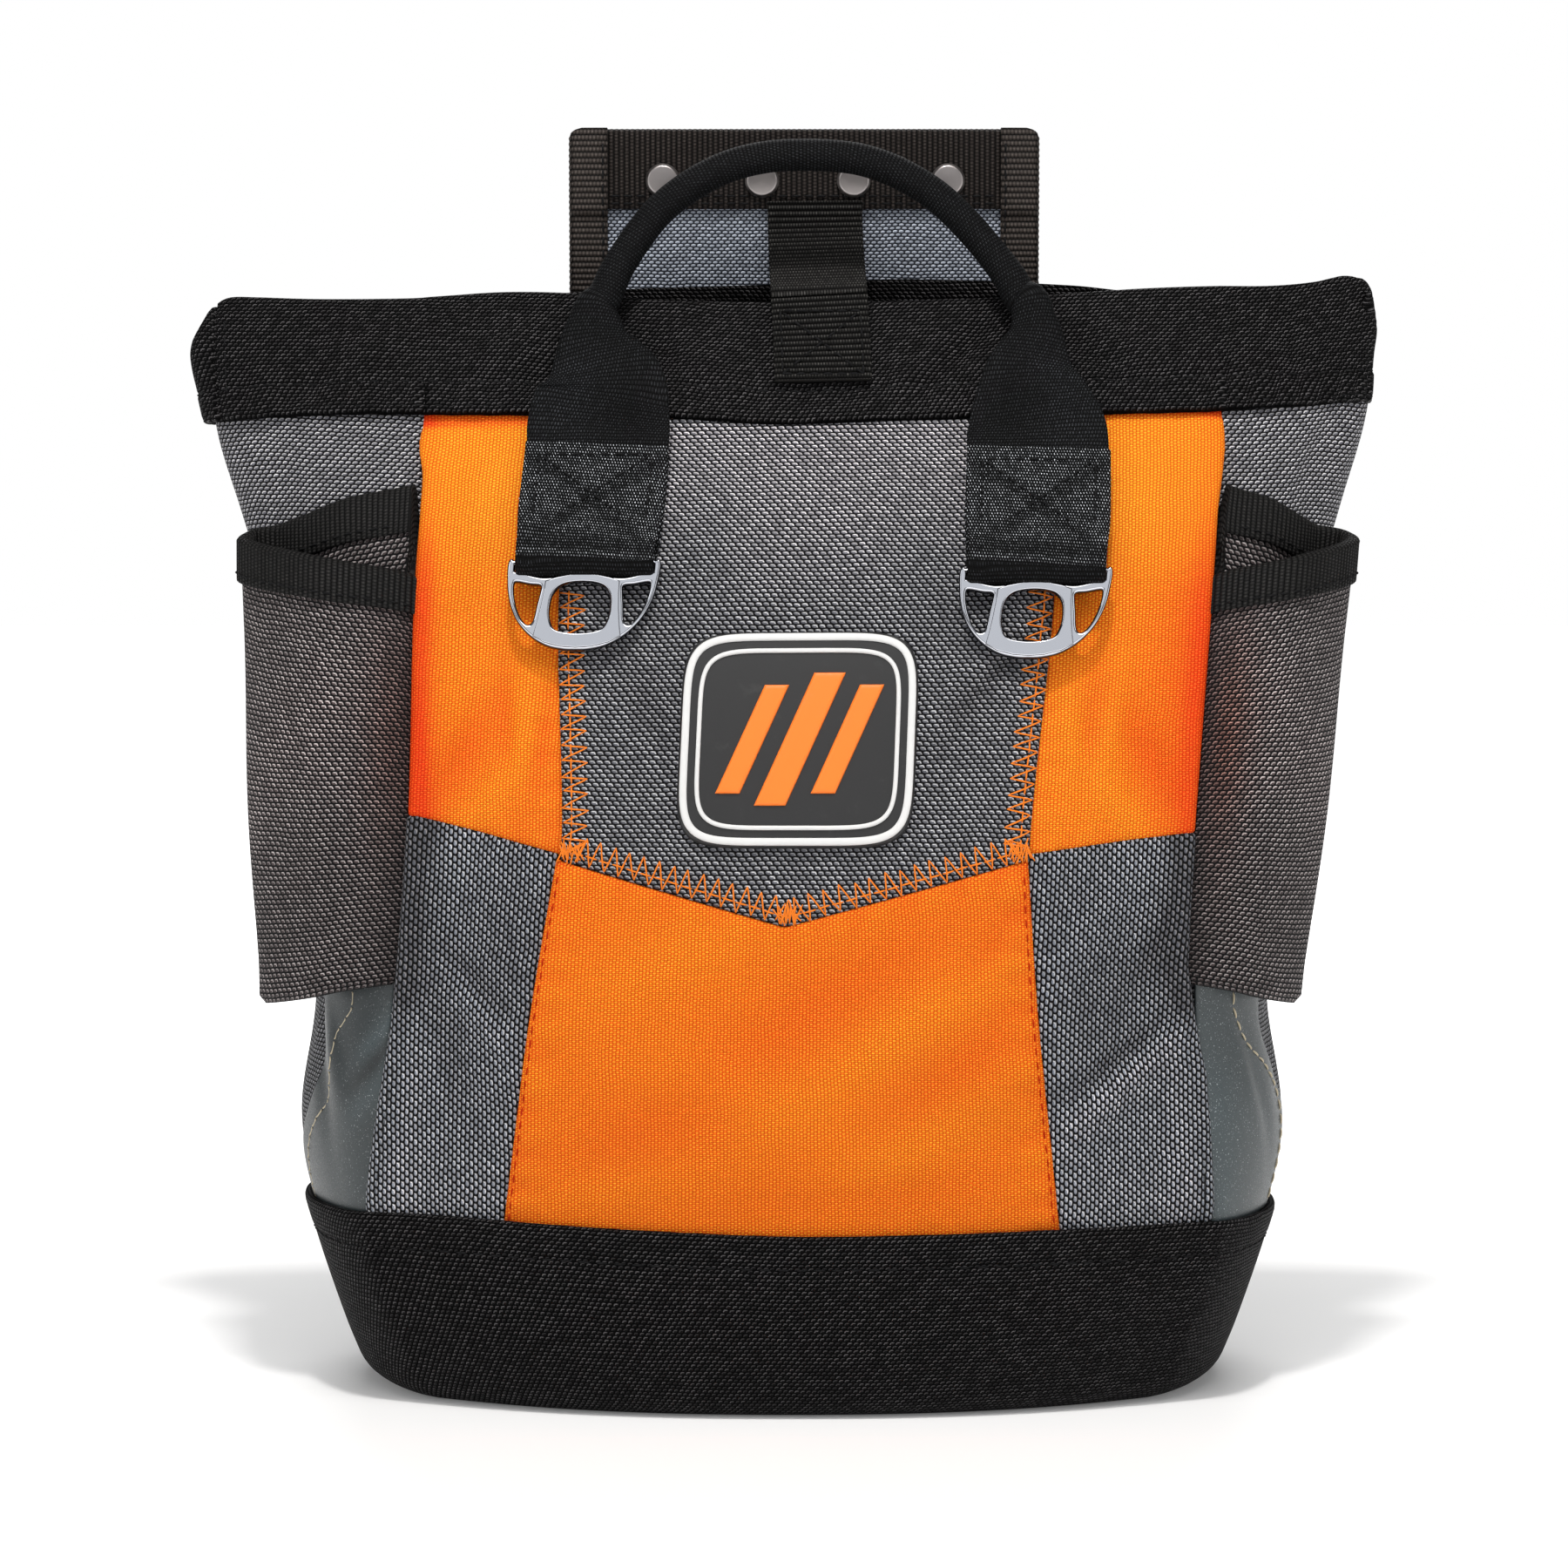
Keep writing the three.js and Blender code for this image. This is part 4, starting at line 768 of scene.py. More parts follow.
def plain_look(name, color, roughness, metallic=0.0, grain=300.0, tone=0.15, rough_change=0.1, depth=0.03,
               edge=None, specular=0.5, sparkle=0.0):
    """A solid finish with fine grain in its colour, gloss and surface."""
    m, tree, shader = material(name)
    object_place = put(tree, "ShaderNodeTexCoord")
    noise = put(tree, "ShaderNodeTexNoise",
                {"Vector": object_place.outputs["Object"], "Scale": grain, "Detail": 5.0,
                 "Roughness": 0.6})
    use = placed(tree, "use",
                 {"Color": rgb(*color), "Where": object_place.outputs["Object"], "Tone": tone,
                  "Dust": 0.03, "Dust color": rgb(0.5, 0.49, 0.47)})
    color = use.outputs["Color"]
    if sparkle:
        spots = put(tree, "ShaderNodeTexNoise",
                    {"Vector": object_place.outputs["Object"], "Scale": 2600.0, "Detail": 1.0})
        spots = put(tree, "ShaderNodeMapRange",
                    {"Value": spots.outputs[0], "From Min": 0.66, "From Max": 0.74, "To Max": sparkle})
        color = blend(tree, spots.outputs[0], color, rgb(0.5, 0.53, 0.54))
    # edge tints paint shade on rounded ring edges, or sheen on the silver strips, by each point's fold
    # value
    if edge:
        shade = put(tree, "ShaderNodeAttribute", attribute_name="fold")
        color = placed(tree, "fold", dict(edge, Color=color, Light_and_shade=shade.outputs["Fac"])).outputs["Color"]
    tree.links.new(color, shader.inputs["Base Color"])
    rough = put(tree, "ShaderNodeMapRange",
                {"Value": noise.outputs[0], "From Min": 0.3, "From Max": 0.7,
                 "To Min": roughness - rough_change / 2, "To Max": roughness + rough_change / 2})
    tree.links.new(rough.outputs[0], shader.inputs["Roughness"])
    bumped = put(tree, "ShaderNodeBump",
                 {"Height": noise.outputs[0], "Strength": 0.5, "Distance": depth * MM})
    tree.links.new(bumped.outputs[0], shader.inputs["Normal"])
    shader.inputs["Metallic"].default_value = metallic
    shader.inputs["Specular IOR Level"].default_value = specular
    return m


# Weaves and ribs: thread pitches in millimetres of cloth, and the colours of threads, gaps and glints
# Each weft is a darker copy of its warp as painted shade; gap colours are painted shade, glints painted
# highlights
GREY_WEAVE = {
    "Warp pitch": 0.98, "Weft pitch": 1.17, "Slub": 0.2, "Slant": 0.7, "Open": 0.6, "Glint share": 0.58,
    "Warp": rgb(0.094, 0.096, 0.111), "Weft": rgb(0.044, 0.045, 0.052),
    "Gap": rgb(0.0015, 0.0015, 0.002), "Glint": rgb(0.98, 0.98, 1.0),
}
LOW_WEAVE = dict(GREY_WEAVE, **{
    "Warp pitch": 1.0, "Weft pitch": 1.15, "Slant": 0.4, "Open": 0.66, "Glint share": 0.55,
    "Warp": rgb(0.185, 0.205, 0.245), "Weft": rgb(0.08, 0.088, 0.108),
})
POCKET_WEAVE = dict(GREY_WEAVE, **{
    "Warp pitch": 0.9, "Weft pitch": 1.22, "Glint share": 0.52,
    "Warp": rgb(0.058, 0.044, 0.044), "Weft": rgb(0.025, 0.019, 0.019), "Glint": rgb(0.95, 0.87, 0.86),
})
ORANGE_WEAVE = {
    "Warp pitch": 0.88, "Weft pitch": 0.5, "Slub": 0.1, "Slant": 0.1, "Glint share": 0.45,
    "Warp": rgb(0.91, 0.345, 0.013), "Weft": rgb(0.83, 0.198, 0.007),
    "Gap": rgb(0.58, 0.06, 0.003), "Glint": rgb(1.0, 0.45, 0.05),
}
BLACK_WEAVE = {
    "Warp pitch": 0.77, "Weft pitch": 1.02, "Slub": 0.7, "Slant": 0.7, "Glint share": 0.36,
    "Warp": rgb(0.0034, 0.0031, 0.0033), "Weft": rgb(0.0014, 0.0013, 0.0014),
    "Gap": rgb(0.0003, 0.0003, 0.0004), "Glint": rgb(0.22, 0.21, 0.215),
}
HANDLE_WEAVE = dict(BLACK_WEAVE, **{
    "Warp pitch": 0.42, "Weft pitch": 0.95, "Slant": 0.3, "Glint share": 0.4,
    "Warp": rgb(0.0085, 0.0088, 0.0096), "Weft": rgb(0.003, 0.0032, 0.0036),
    "Glint": rgb(0.06, 0.064, 0.07),
})
TAB_WEAVE = dict(BLACK_WEAVE, **{
    "Warp pitch": 0.36, "Weft pitch": 0.88, "Slant": 0.4, "Glint share": 0.8,
    "Warp": rgb(0.013, 0.0145, 0.0165), "Weft": rgb(0.004, 0.0045, 0.005), "Glint": rgb(0.75, 0.78, 0.82),
})
BLUE_WEAVE = {
    "Warp pitch": 0.85, "Weft pitch": 0.9, "Slub": 0.35, "Slant": 0.3, "Glint share": 0.5,
    "Warp": rgb(0.25, 0.275, 0.33), "Weft": rgb(0.1, 0.115, 0.15),
    "Gap": rgb(0.02, 0.023, 0.03), "Glint": rgb(0.85, 0.9, 1.0),
}
TAPE_RIB = {
    "Rib pitch": 1.54, "Bead pitch": 1.0, "Bead depth": 0.5, "Glint share": 0.4,
    "Cord": rgb(0.034, 0.027, 0.0235), "Gap": rgb(0.0008, 0.0007, 0.0007),
    "Glint": rgb(0.16, 0.135, 0.12),
}
BINDING_RIB = dict(TAPE_RIB, **{
    "Rib pitch": 1.4, "Bead pitch": 0.9, "Glint share": 0.25,
    "Cord": rgb(0.0085, 0.0082, 0.008), "Gap": rgb(0.0004, 0.0004, 0.0004),
    "Glint": rgb(0.1, 0.095, 0.09),
})
STRAP_RIB = dict(TAPE_RIB, **{
    "Rib pitch": 1.65, "Bead pitch": 0.76, "Glint share": 0.4,
    "Cord": rgb(0.011, 0.0105, 0.01), "Gap": rgb(0.0002, 0.0002, 0.0002),
    "Glint": rgb(0.15, 0.145, 0.135),
})
HEAD_RIB = dict(TAPE_RIB, **{
    "Rib pitch": 1.4, "Bead pitch": 0.9, "Glint share": 0.3,
    "Cord": rgb(0.0145, 0.0112, 0.0098), "Gap": rgb(0.0006, 0.0005, 0.0005),
    "Glint": rgb(0.12, 0.1, 0.09),
})
# Tints for painted shade in valleys and light on ridges, and for light painted as bounced off the next
# piece
GREY_PAINTED_SHADE = {"Painted shade tint": rgb(0.42, 0.4, 0.4), "Painted light tint": rgb(1.75, 1.64, 1.62), "Cast": rgb(1.1, 0.46, 0.32)}
ORANGE_PAINTED_SHADE = {"Painted shade tint": rgb(0.88, 0.26, 0.5), "Painted light tint": rgb(1.05, 1.36, 1.4)}
EDGE_SHADE = {"Painted shade tint": rgb(0.1, 0.1, 0.11)}
SILVER_PAINTED_SHEEN = {"Painted shade tint": rgb(0.3, 0.3, 0.3), "Painted light tint": rgb(1.9, 1.95, 2.0)}
HANDLE_PAINTED_SHADE = {"Painted shade tint": rgb(0.4, 0.4, 0.4), "Painted light tint": rgb(2.0, 2.02, 2.1)}
TAB_PAINTED_SHADE = {"Painted shade tint": rgb(0.06, 0.06, 0.065), "Painted light tint": rgb(1.5, 1.5, 1.5)}
# The finish of each kind of piece, and the material slot that it fills
LOOKS = {
    "grey": (cloth_look("grey_coarse_cloth", "basket", GREY_WEAVE, 0.3, sheen=0.03, fold=GREY_PAINTED_SHADE),
             "grey_cloth"),
    "low": (cloth_look("grey_turned_cloth", "basket", LOW_WEAVE, 0.3, sheen=0.03, turn=math.pi / 2,
                       fold=GREY_PAINTED_SHADE), "grey_cloth"),
    "pocket": (cloth_look("grey_pocket_cloth", "basket", POCKET_WEAVE, 0.3, sheen=0.03, fold=GREY_PAINTED_SHADE),
               "grey_cloth"),
    "orange": (cloth_look("orange_fine_cloth", "weave", ORANGE_WEAVE, 0.14, tone=0.05, specular=0.1,
                          fold=ORANGE_PAINTED_SHADE), "orange_cloth"),
    "black": (cloth_look("black_coarse_cloth", "basket", BLACK_WEAVE, 0.3, tone=0.25, specular=0.06),
              "black_cloth"),
    "blue": (cloth_look("blue_grey_cloth", "basket", BLUE_WEAVE, 0.28), "blue_grey_cloth"),
    "tape": (cloth_look("ribbed_edge_tape", "rib", TAPE_RIB, 0.3, tone=0.2), "black_webbing"),
    "binding": (cloth_look("ribbed_binding", "rib", BINDING_RIB, 0.28, tone=0.2, specular=0.12),
                "black_webbing"),
    "strap": (cloth_look("ribbed_strap", "rib", STRAP_RIB, 0.25, tone=0.15, specular=0.08),
              "black_webbing"),
    "handle": (cloth_look("handle_twill", "weave", HANDLE_WEAVE, 0.14, tone=0.2, specular=0.09,
                          fold=HANDLE_PAINTED_SHADE), "black_webbing"),
    "tab": (cloth_look("sewn_webbing", "weave", TAB_WEAVE, 0.25, tone=0.3, specular=0.12,
                       fold=TAB_PAINTED_SHADE), "black_webbing"),
    "head_tape": (cloth_look("ribbed_head_tape", "rib", HEAD_RIB, 0.28, tone=0.2, specular=0.12),
                  "black_webbing"),
    "silver": (plain_look("silver_tape", (0.03, 0.041, 0.044), 0.42, grain=2600.0, tone=0.25,
                          rough_change=0.4, depth=0.06, edge=SILVER_PAINTED_SHEEN, sparkle=0.6), "silver_cloth"),
    "chrome": (plain_look("chrome_plate", (0.6, 0.615, 0.66), 0.07, 1.0, grain=60.0, tone=0.02,
                          rough_change=0.04, depth=0.004, edge=EDGE_SHADE), "chrome"),
    "nickel": (plain_look("nickel_cap", (0.3, 0.275, 0.268), 0.34, 1.0, grain=900.0, tone=0.06,
                          rough_change=0.08, depth=0.003), "nickel"),
    "rubber": (plain_look("moulded_rubber", (0.012, 0.012, 0.0125), 0.5, grain=1500.0, tone=0.2,
                          depth=0.03), "badge_rubber"),
    "rim": (plain_look("pale_rubber", (0.66, 0.66, 0.65), 0.5, grain=900.0, tone=0.06, depth=0.03),
            "badge_rubber"),
    "bars": (plain_look("orange_rubber", (0.93, 0.19, 0.012), 0.48, grain=900.0, tone=0.05, depth=0.03),
             "badge_rubber"),
    "orange_thread": (plain_look("orange_thread", (0.78, 0.2, 0.02), 0.75, grain=2200.0, tone=0.15,
                                 depth=0.08, specular=0.1), None),
    "red_thread": (plain_look("red_orange_thread", (0.4, 0.02, 0.003), 0.8, grain=2200.0, tone=0.2,
                              depth=0.08, specular=0.05), None),
    "cream_thread": (plain_look("cream_thread", (0.5, 0.43, 0.3), 0.65, grain=2200.0, tone=0.2,
                                depth=0.08), None),
    "black_thread": (plain_look("black_thread", (0.006, 0.006, 0.0065), 0.75, grain=2200.0, tone=0.2,
                                depth=0.08, specular=0.12), None),
}


# Front panels
def seam_puff(z):
    """How far the outer seams of the front swell forward: most by the pockets, not at band and boot."""
    return lerp(2.6, 5.0, smooth(84, 112, z)) * smooth(257, 240, z) * smooth(45, 55, z)


def drawn_in(side, z):
    """How far a pocket's front seam is drawn in over the front."""
    if side < 0:
        return 1.7 * smooth(60, 107, z) * smooth(250, 240, z)
    return np.interp(z, (50, 70, 87, 104, 115, 165, 230, 246), (1.2, 0.4, 0.0, 2.1, 3.6, 2.4, 1.6, 0.0))


def rolled_edge(points, side):
    """Extra columns where the cloth turns back round its outer seam."""
    last = points[:, -1] if side > 0 else points[:, 0]
    reach = 2.5
    extra = [last + np.array([side * reach * math.sin(a), reach * (1 - math.cos(a)), 0])
             for a in np.linspace(0.3, 2.8, 8)]
    extra = np.stack(extra, axis=1)
    return (np.concatenate([points, extra], axis=1) if side > 0
            else np.concatenate([extra[:, ::-1], points], axis=1))


HEIGHTS = np.linspace(0, 300, 301)
FRONT_RUN = run_length(front(section(HEIGHTS)["cx"][:, None], HEIGHTS[:, None], False), 0)[:, 0]


def front_shade(x, z, side, look, near):
    """Painted shade: below zero in valleys, in the band's shadow and beside the pockets; above zero on
    ridges and near the top.
    """
    depth = np.clip(front_relief(x, z), -1.3, 1.3)
    band_shadow = -1.2 * smooth(252.6, 254.8, z)
    if look == "orange":
        shade = 0.35 * depth + band_shadow - (0.0 if side else 0.22)
        if side:
            shade = shade + 0.6 * smooth(205, 235, z)
        if side < 0:
            shade = (shade - 0.2 * smooth(190, 165, z) - 0.5 * bump(near / 5) * smooth(245, 215, z)
                     - 0.4 * bump(near / 2.5))
        if side > 0:
            shade = shade - 0.55 * bump(near / 15) * bump((z - 188) / 50) - 0.4 * bump(near / 4)
        return shade
    far = np.abs(x)
    shade = 0.45 * depth + band_shadow + 0.75 * smooth(196, 246, z)
    if side:
        shade = shade - 1.1 * bump(near / 6) * smooth(96, 112, z) - 0.5 * bump(near / 2.5)
    low = smooth(150, 140, z)
    return (shade
            + low * (0.3 * smooth(90, 100, far) - 0.5 * bump((far - 74) / 13) * bump((z - 118) / 26)
                     + 0.2 * smooth(75, 55, z)))


def panel(name, left, right, low, high, outer, look, cols, rows, side=0, mirror=False):
    """A front panel between its seams; side tells which seam rolls back."""
    p, q = ticks(cols, 60, 1.4)[None], ticks(rows, 110, 1.4)[:, None]
    z = lerp(low(p), high(p), q)
    x = lerp(left(z), right(z), p)
    points = front(x + section(z)["cx"], z)
    extra = 0
    if side:
        points = rolled_edge(points, side)
        extra = points.shape[1] - x.shape[1]
    across = run_length(points, 1)
    first = extra if side < 0 else 0
    u = across - across[:, first:first + 1] + x[:, :1]
    turned = ((0, 0), (extra, 0) if side < 0 else (0, extra))
    v = np.interp(np.pad(z, turned, mode="edge"), HEIGHTS, FRONT_RUN)
    near = right(z) - x if side > 0 else x - left(z)
    # The fold values are the front's painted shade and light
    fold = np.pad(front_shade(x, z, side, look, near), turned, mode="edge")
    if mirror:
        u = -u
    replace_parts(cloth(name, points, -CLOTH, outer, look, 1.4, np.stack([u, v], -1), fold=fold), name)


def outer_seam(side):
    return lambda z: side * (section(z)["hw"] - 0.6 - drawn_in(side, z))


def level(height):
    return lambda p: height + 0 * p


def yoke_foot_across(p):
    return yoke_foot(lerp(YOKE_LEFT_END, YOKE_RIGHT_END, p))


HALF_SEAM = SEAM / 2
LAP = 0.9
panel("front_yoke", lambda z: yoke_left(z) - LAP, lambda z: yoke_right(z) + LAP,
      lambda p: yoke_foot_across(p) - LAP, level(PANEL_HEAD), 1.0, "grey", 90, 110, mirror=True)
panel("front_strip_left", outer_seam(-1), lambda z: yoke_left(z) - HALF_SEAM,
      lambda p: lerp(STRIP_FOOT[0], YOKE_CORNER, p) + HALF_SEAM, level(PANEL_HEAD), 0, "orange", 50, 110,
      -1)
panel("front_strip_right", lambda z: yoke_right(z) + HALF_SEAM, outer_seam(1),
      lambda p: lerp(YOKE_CORNER, STRIP_FOOT[1], p) + HALF_SEAM, level(PANEL_HEAD), 0, "orange", 50, 110,
      1)
panel("front_lower_centre", lambda z: lower_left(z) - LAP, lambda z: lower_right(z) + LAP,
      level(PANEL_FOOT), lambda p: yoke_foot_across(p) - HALF_SEAM, 0.75, "orange", 90, 84)
panel("front_lower_left", outer_seam(-1), lambda z: lower_left(z) - HALF_SEAM, level(PANEL_FOOT),
      lambda p: lerp(STRIP_FOOT[0], YOKE_CORNER, p) + LAP, 0.4, "low", 56, 100, -1)
panel("front_lower_right", lambda z: lower_right(z) + HALF_SEAM, outer_seam(1), level(PANEL_FOOT),
      lambda p: lerp(YOKE_CORNER, STRIP_FOOT[1], p) + LAP, 0.4, "low", 56, 100, 1)


# Gussets, silver strips and the back
def end_roll(w, z):
    """The corners of the mouth roll inward near the top, the left one fuller, the right one flatter."""
    v = np.mod(w, 4)
    near = np.maximum(bump((v - 1.5) / 0.13), bump((v - 3.5) / 0.13))
    full = 1.6 * bump((v - 3.5) / 0.13) * bump((z - 274) / 10)
    flat = bump((v - 1.5) / 0.34) * (1.2 + 1.5 * bump((z - 272) / 13))
    return -9.0 * near * np.clip((z - 274) / 16, 0, 1) ** 1.8 + full - flat


def gusset_walk(side, share, z):
    return around(1 + share if side > 0 else 4 - share, z, True)


def strip_share(own, z, side):
    """Place on the gusset of a share across the silver strip, which widens towards the boot."""
    wider = smooth(88, 58, z) if side < 0 else smooth(100, 74, z)
    return lerp(0.02, 0.3 + 0.1 * wider, own)


def strip_shade(own, z, side):
    """Painted sheen and shade of folds in a silver strip: two slanted on the left, one upright on the
    right.
    """
    if side > 0:
        return 0.4 * bump((own - 0.2) / 0.22) * smooth(98, 76, z) - 0.15 * smooth(0.6, 1, own)
    # The left strip is also painted darker all over, besides its slanted folds
    slanted = (0.8 * bump((z - 101 + 20 * own) / 4) + 0.7 * bump((z - 87 + 24 * own) / 6)
               - 0.6 * bump((z - 94.5 + 22 * own) / 3))
    return slanted * smooth(0.65, 0.3, own) + 0.15 * smooth(80, 60, z) - 0.5


GUSSET_ROLL = 1.2
ALLOWANCE = 4
for side, label in SIDES:
    p, q = ticks(56, 130, GUSSET_ROLL)[None], ticks(110, 240, GUSSET_ROLL)[:, None]
    share = lerp(0.014, 0.986, p if side > 0 else 1 - p)
    z = lerp(PANEL_FOOT, PANEL_HEAD, q)
    points = gusset_walk(side, share, z)
    under = np.minimum(end_roll(1 + share if side > 0 else 4 - share, z), 0) - 0.8
    points[..., 0] += side * under * smooth(257, 262, z)
    # The front edge rolls over and goes on as a seam allowance turned in behind the front panels
    across = run_length(points, 1)
    turn = np.clip((across if side > 0 else across[:, -1:] - across) / GUSSET_ROLL, 0, 1)
    roll = -0.88 * CLOTH * (1 - np.sqrt(1 - (1 - turn) ** 2))
    order = slice(None, None, side)
    points, roll = points[:, order], roll[:, order]
    corner = section(z)
    turned_in = front(corner["cx"] + side * (corner["hw"] - ALLOWANCE), z) + np.array([0, 1.6 * CLOTH, 0])
    points = np.concatenate([turned_in, points], axis=1)[:, order]
    roll = np.concatenate([roll[:, :1], roll], axis=1)[:, order]
    # Painted light on the gussets towards the top and painted shade towards the foot
    fold = np.broadcast_to(0.25 * smooth(200, 240, z) - 0.2 * smooth(120, 90, z), points.shape[:2])
    gusset_piece = cloth(f"side_gusset_{label}", points, -CLOTH, roll, "grey", GUSSET_ROLL, fold=fold)
    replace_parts(gusset_piece, f"side_gusset_{label}")
    p, q = ticks(22, 34, 0.5)[None], ticks(44, 60, 0.5)[:, None]
    own = p if side > 0 else 1 - p
    z = lerp(47.5, POCKET["low"] + 2, q)
    points = gusset_walk(side, strip_share(own, z, side), z)
    strip = cloth(f"reflective_strip_{label}", points, 0.25, 1.0, "silver", 0.5,
                  fold=strip_shade(own, z, side))
    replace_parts(strip, f"reflective_strip_{label}")

# The back laps over the edges of both gussets
BACK_LAP = 0.8
p, q = ticks(60, 200, 1.2)[None], ticks(90, 240, 1.2)[:, None]
z = lerp(PANEL_FOOT, PANEL_HEAD, q)
points = back(lerp(1, -1, p) * section(z)["hb"], z)
points[..., 0] *= 1 + BACK_LAP / section(z)["hb"]
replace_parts(cloth("back_panel", points, -CLOTH, 0, "grey", 1.2), "back_panel")


# The boot
def boot_out(w, z):
    along = around(w + 0.05, z) - around(w - 0.05, z)
    return unit(np.stack([along[..., 1], -along[..., 0], np.zeros_like(along[..., 0])], -1))


BOOT_TOP = spline([(-0.5, 50), (-0.2, 50.8), (0, 51.6), (0.1, 51.6), (0.2, 50.6), (0.35, 49.2),
                   (0.5, 48.1), (0.65, 48.3), (0.8, 48.8), (1, 48.9), (1.2, 48.2), (1.5, 47.2), (2, 47),
                   (2.5, 47.5), (3, 48.5), (3.5, 50)], 300)


def boot_bow(w):
    """How far the boot's top edge stands above its lowest height."""
    return np.interp(np.mod(w + 0.5, 4) - 0.5, BOOT_TOP[:, 0], BOOT_TOP[:, 1]) - BOOT["top"]


def boot_point(w, height, off, drop=0.0):
    w, height = np.broadcast_arrays(np.asarray(w, float), np.asarray(height, float))
    z = height + boot_bow(w) * smooth(18, BOOT["top"], height)
    v = np.mod(w, 2)
    middle = np.maximum(0, 1 - np.abs(v - 0.5) / 0.62)
    r = lerp(BOOT["corner"], BOOT["round"], smooth(0, 1, middle))
    inset = r - np.sqrt(np.maximum(0, r ** 2 - np.maximum(0, r - (height - drop)) ** 2))
    p = around(w, z) + boot_out(w, z) * (off - inset)[..., None]
    p[..., 2] = z
    return p


BOOT_COLUMNS = 360
BOOT_W = np.linspace(0, 4, BOOT_COLUMNS, endpoint=False)[None] + 2.5
outside = [(h, BOOT["outer"]) for h in (0.0, 0.25, 0.7, 1.4, 2.4, 3.3)]
outside += [(h, BOOT["outer"] + 0.05) for h in (3.5, 4.2, 5.5, 7, 9, 12, 15, 19, 23, 27, 31, 34, 36.4)]
hem = [(37.0, 3.02), (37.5, 2.8), (38.0, 3.02), (38.8, 3.3), (40, 3.36), (42, 3.4), (43.6, 3.4),
       (44.6, 3.2), (45.2, 2.85), (45.5, 2.3), (45.5, 1.6), (45.2, 1.0), (44.6, 0.6)]
inside = ([(43, 0.5), (40, 0.8)]
          + [(h, BOOT["inner"]) for h in (34, 27, 20, 14, 10, 7, 5, 3.6, 2.7, BOOT["floor"])])
rows = [boot_point(BOOT_W, h, np.full(BOOT_W.shape, off)) for h, off in outside + hem]
rows += [boot_point(BOOT_W, h, np.full(BOOT_W.shape, off), BOOT["floor"]) for h, off in inside]
loops = np.concatenate(rows)


def shrunk(loop, height, shares):
    centre = loop.mean(axis=0)
    return [np.where([True, True, False], centre + (loop - centre) * k, height)[None] for k in shares]


loops = np.concatenate(shrunk(loops[0], 0.0, (0.12, 0.4, 0.7, 0.9)) + [loops]
                       + shrunk(loops[-1], BOOT["floor"], (0.9, 0.7, 0.4, 0.12)))
girth = boot_point(BOOT_W, 20, np.full(BOOT_W.shape, BOOT["outer"]))[0]
across = run_length(np.concatenate([girth, girth[:1]]), 0)
place = np.stack(np.broadcast_arrays(across[None], run_length(loops, 0)[:, BOOT_COLUMNS // 2][:, None]),
                 -1)
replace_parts(tube("base_boot", loops, "black", place=place), "base_boot")


# The bands round the mouth
# Height of the mouth's edge round the body, before its lean
FRONT_MOUTH = spline([(-0.5, 279), (-0.44, 284.5), (-0.4, 287.6), (-0.36, 289.4), (-0.3, 289.2),
                      (-0.2, 288.3), (-0.08, 288), (0, 288.3), (0.1, 289.3), (0.2, 288.4), (0.3, 286.2),
                      (0.5, 284.9), (0.7, 285.2), (0.8, 286.2), (0.9, 287.4), (1, 287.9), (1.15, 287.9),
                      (1.25, 289), (1.32, 290.8), (1.38, 290), (1.44, 286.5), (1.5, 281)], 300)
BACK_MOUTH = spline([(1.5, 281), (1.56, 286), (1.64, 287), (2, 287), (2.15, 289.8), (2.35, 292),
                     (2.5, 291.2), (2.75, 290.3), (2.9, 287.5), (3, 286), (3.36, 287), (3.44, 285),
                     (3.5, 279), (3.56, 285), (3.64, 288)], 300)
BAND_FOOT = spline([(-0.4, 256.4), (-0.2, 257.2), (0, 256.7), (0.17, 256.0), (0.3, 255.0), (0.38, 253.6),
                    (0.46, 252.8), (0.6, 253.4), (0.75, 254.0), (0.87, 254.4), (1, 254.8), (1.2, 256.0),
                    (1.4, 257.2), (1.6, 256.4), (2, 254.5), (2.5, 254), (3, 254.5), (3.4, 256),
                    (3.7, 256.4)], 300)


def band_foot(w):
    return np.interp(w, BAND_FOOT[:, 0], BAND_FOOT[:, 1])


def mouth_line(w):
    front_top = np.interp(w, FRONT_MOUTH[:, 0], FRONT_MOUTH[:, 1])
    return np.where(w < 1.5, front_top, np.interp(w, BACK_MOUTH[:, 0], BACK_MOUTH[:, 1]))


BAND_CREASES = [(0.16, 266, 9, 60, 4, -1.1), (0.1, 272, 10, 70, 5, 0.8), (0.3, 270, 9, -50, 4, -1.2),
                (0.36, 264, 10, -56, 4, 0.8), (0.68, 270, 9, 50, 4, -1.2), (0.62, 264, 10, 56, 4, 0.8),
                (0.84, 268, 10, -58, 4, -1.1), (0.92, 266, 14, -66, 5, 0.9), (1.2, 268, 12, -52, 5, -1.2),
                (1.12, 262, 12, -60, 5, 0.9), (-0.14, 270, 14, 70, 6, 0.9), (-0.22, 262, 12, 62, 5, -1.0),
                (0.5, 258, 20, 88, 3, -0.5)]


def band_relief(w, z):
    rise = np.zeros(np.broadcast(w, z).shape)
    for cw, cz, run, lean, half, deep in BAND_CREASES:
        rise = rise + deep * crease((w - cw) * BAND["span"], z - cz, lean, half, run)
    ripple = np.sin(w * BAND["span"] * TAU / 11 + 2 * np.sin(w * 9))
    return rise + 0.22 * ripple * bump((z - BAND["low"] - 6) / 7)


def band_face(w, z):
    """The band's cloth, with its folds and its rolled-in ends."""
    p, out = facing(around, 0.004)(w, z)
    return p + out * (band_relief(w, z) + end_roll(w, z))[..., None]


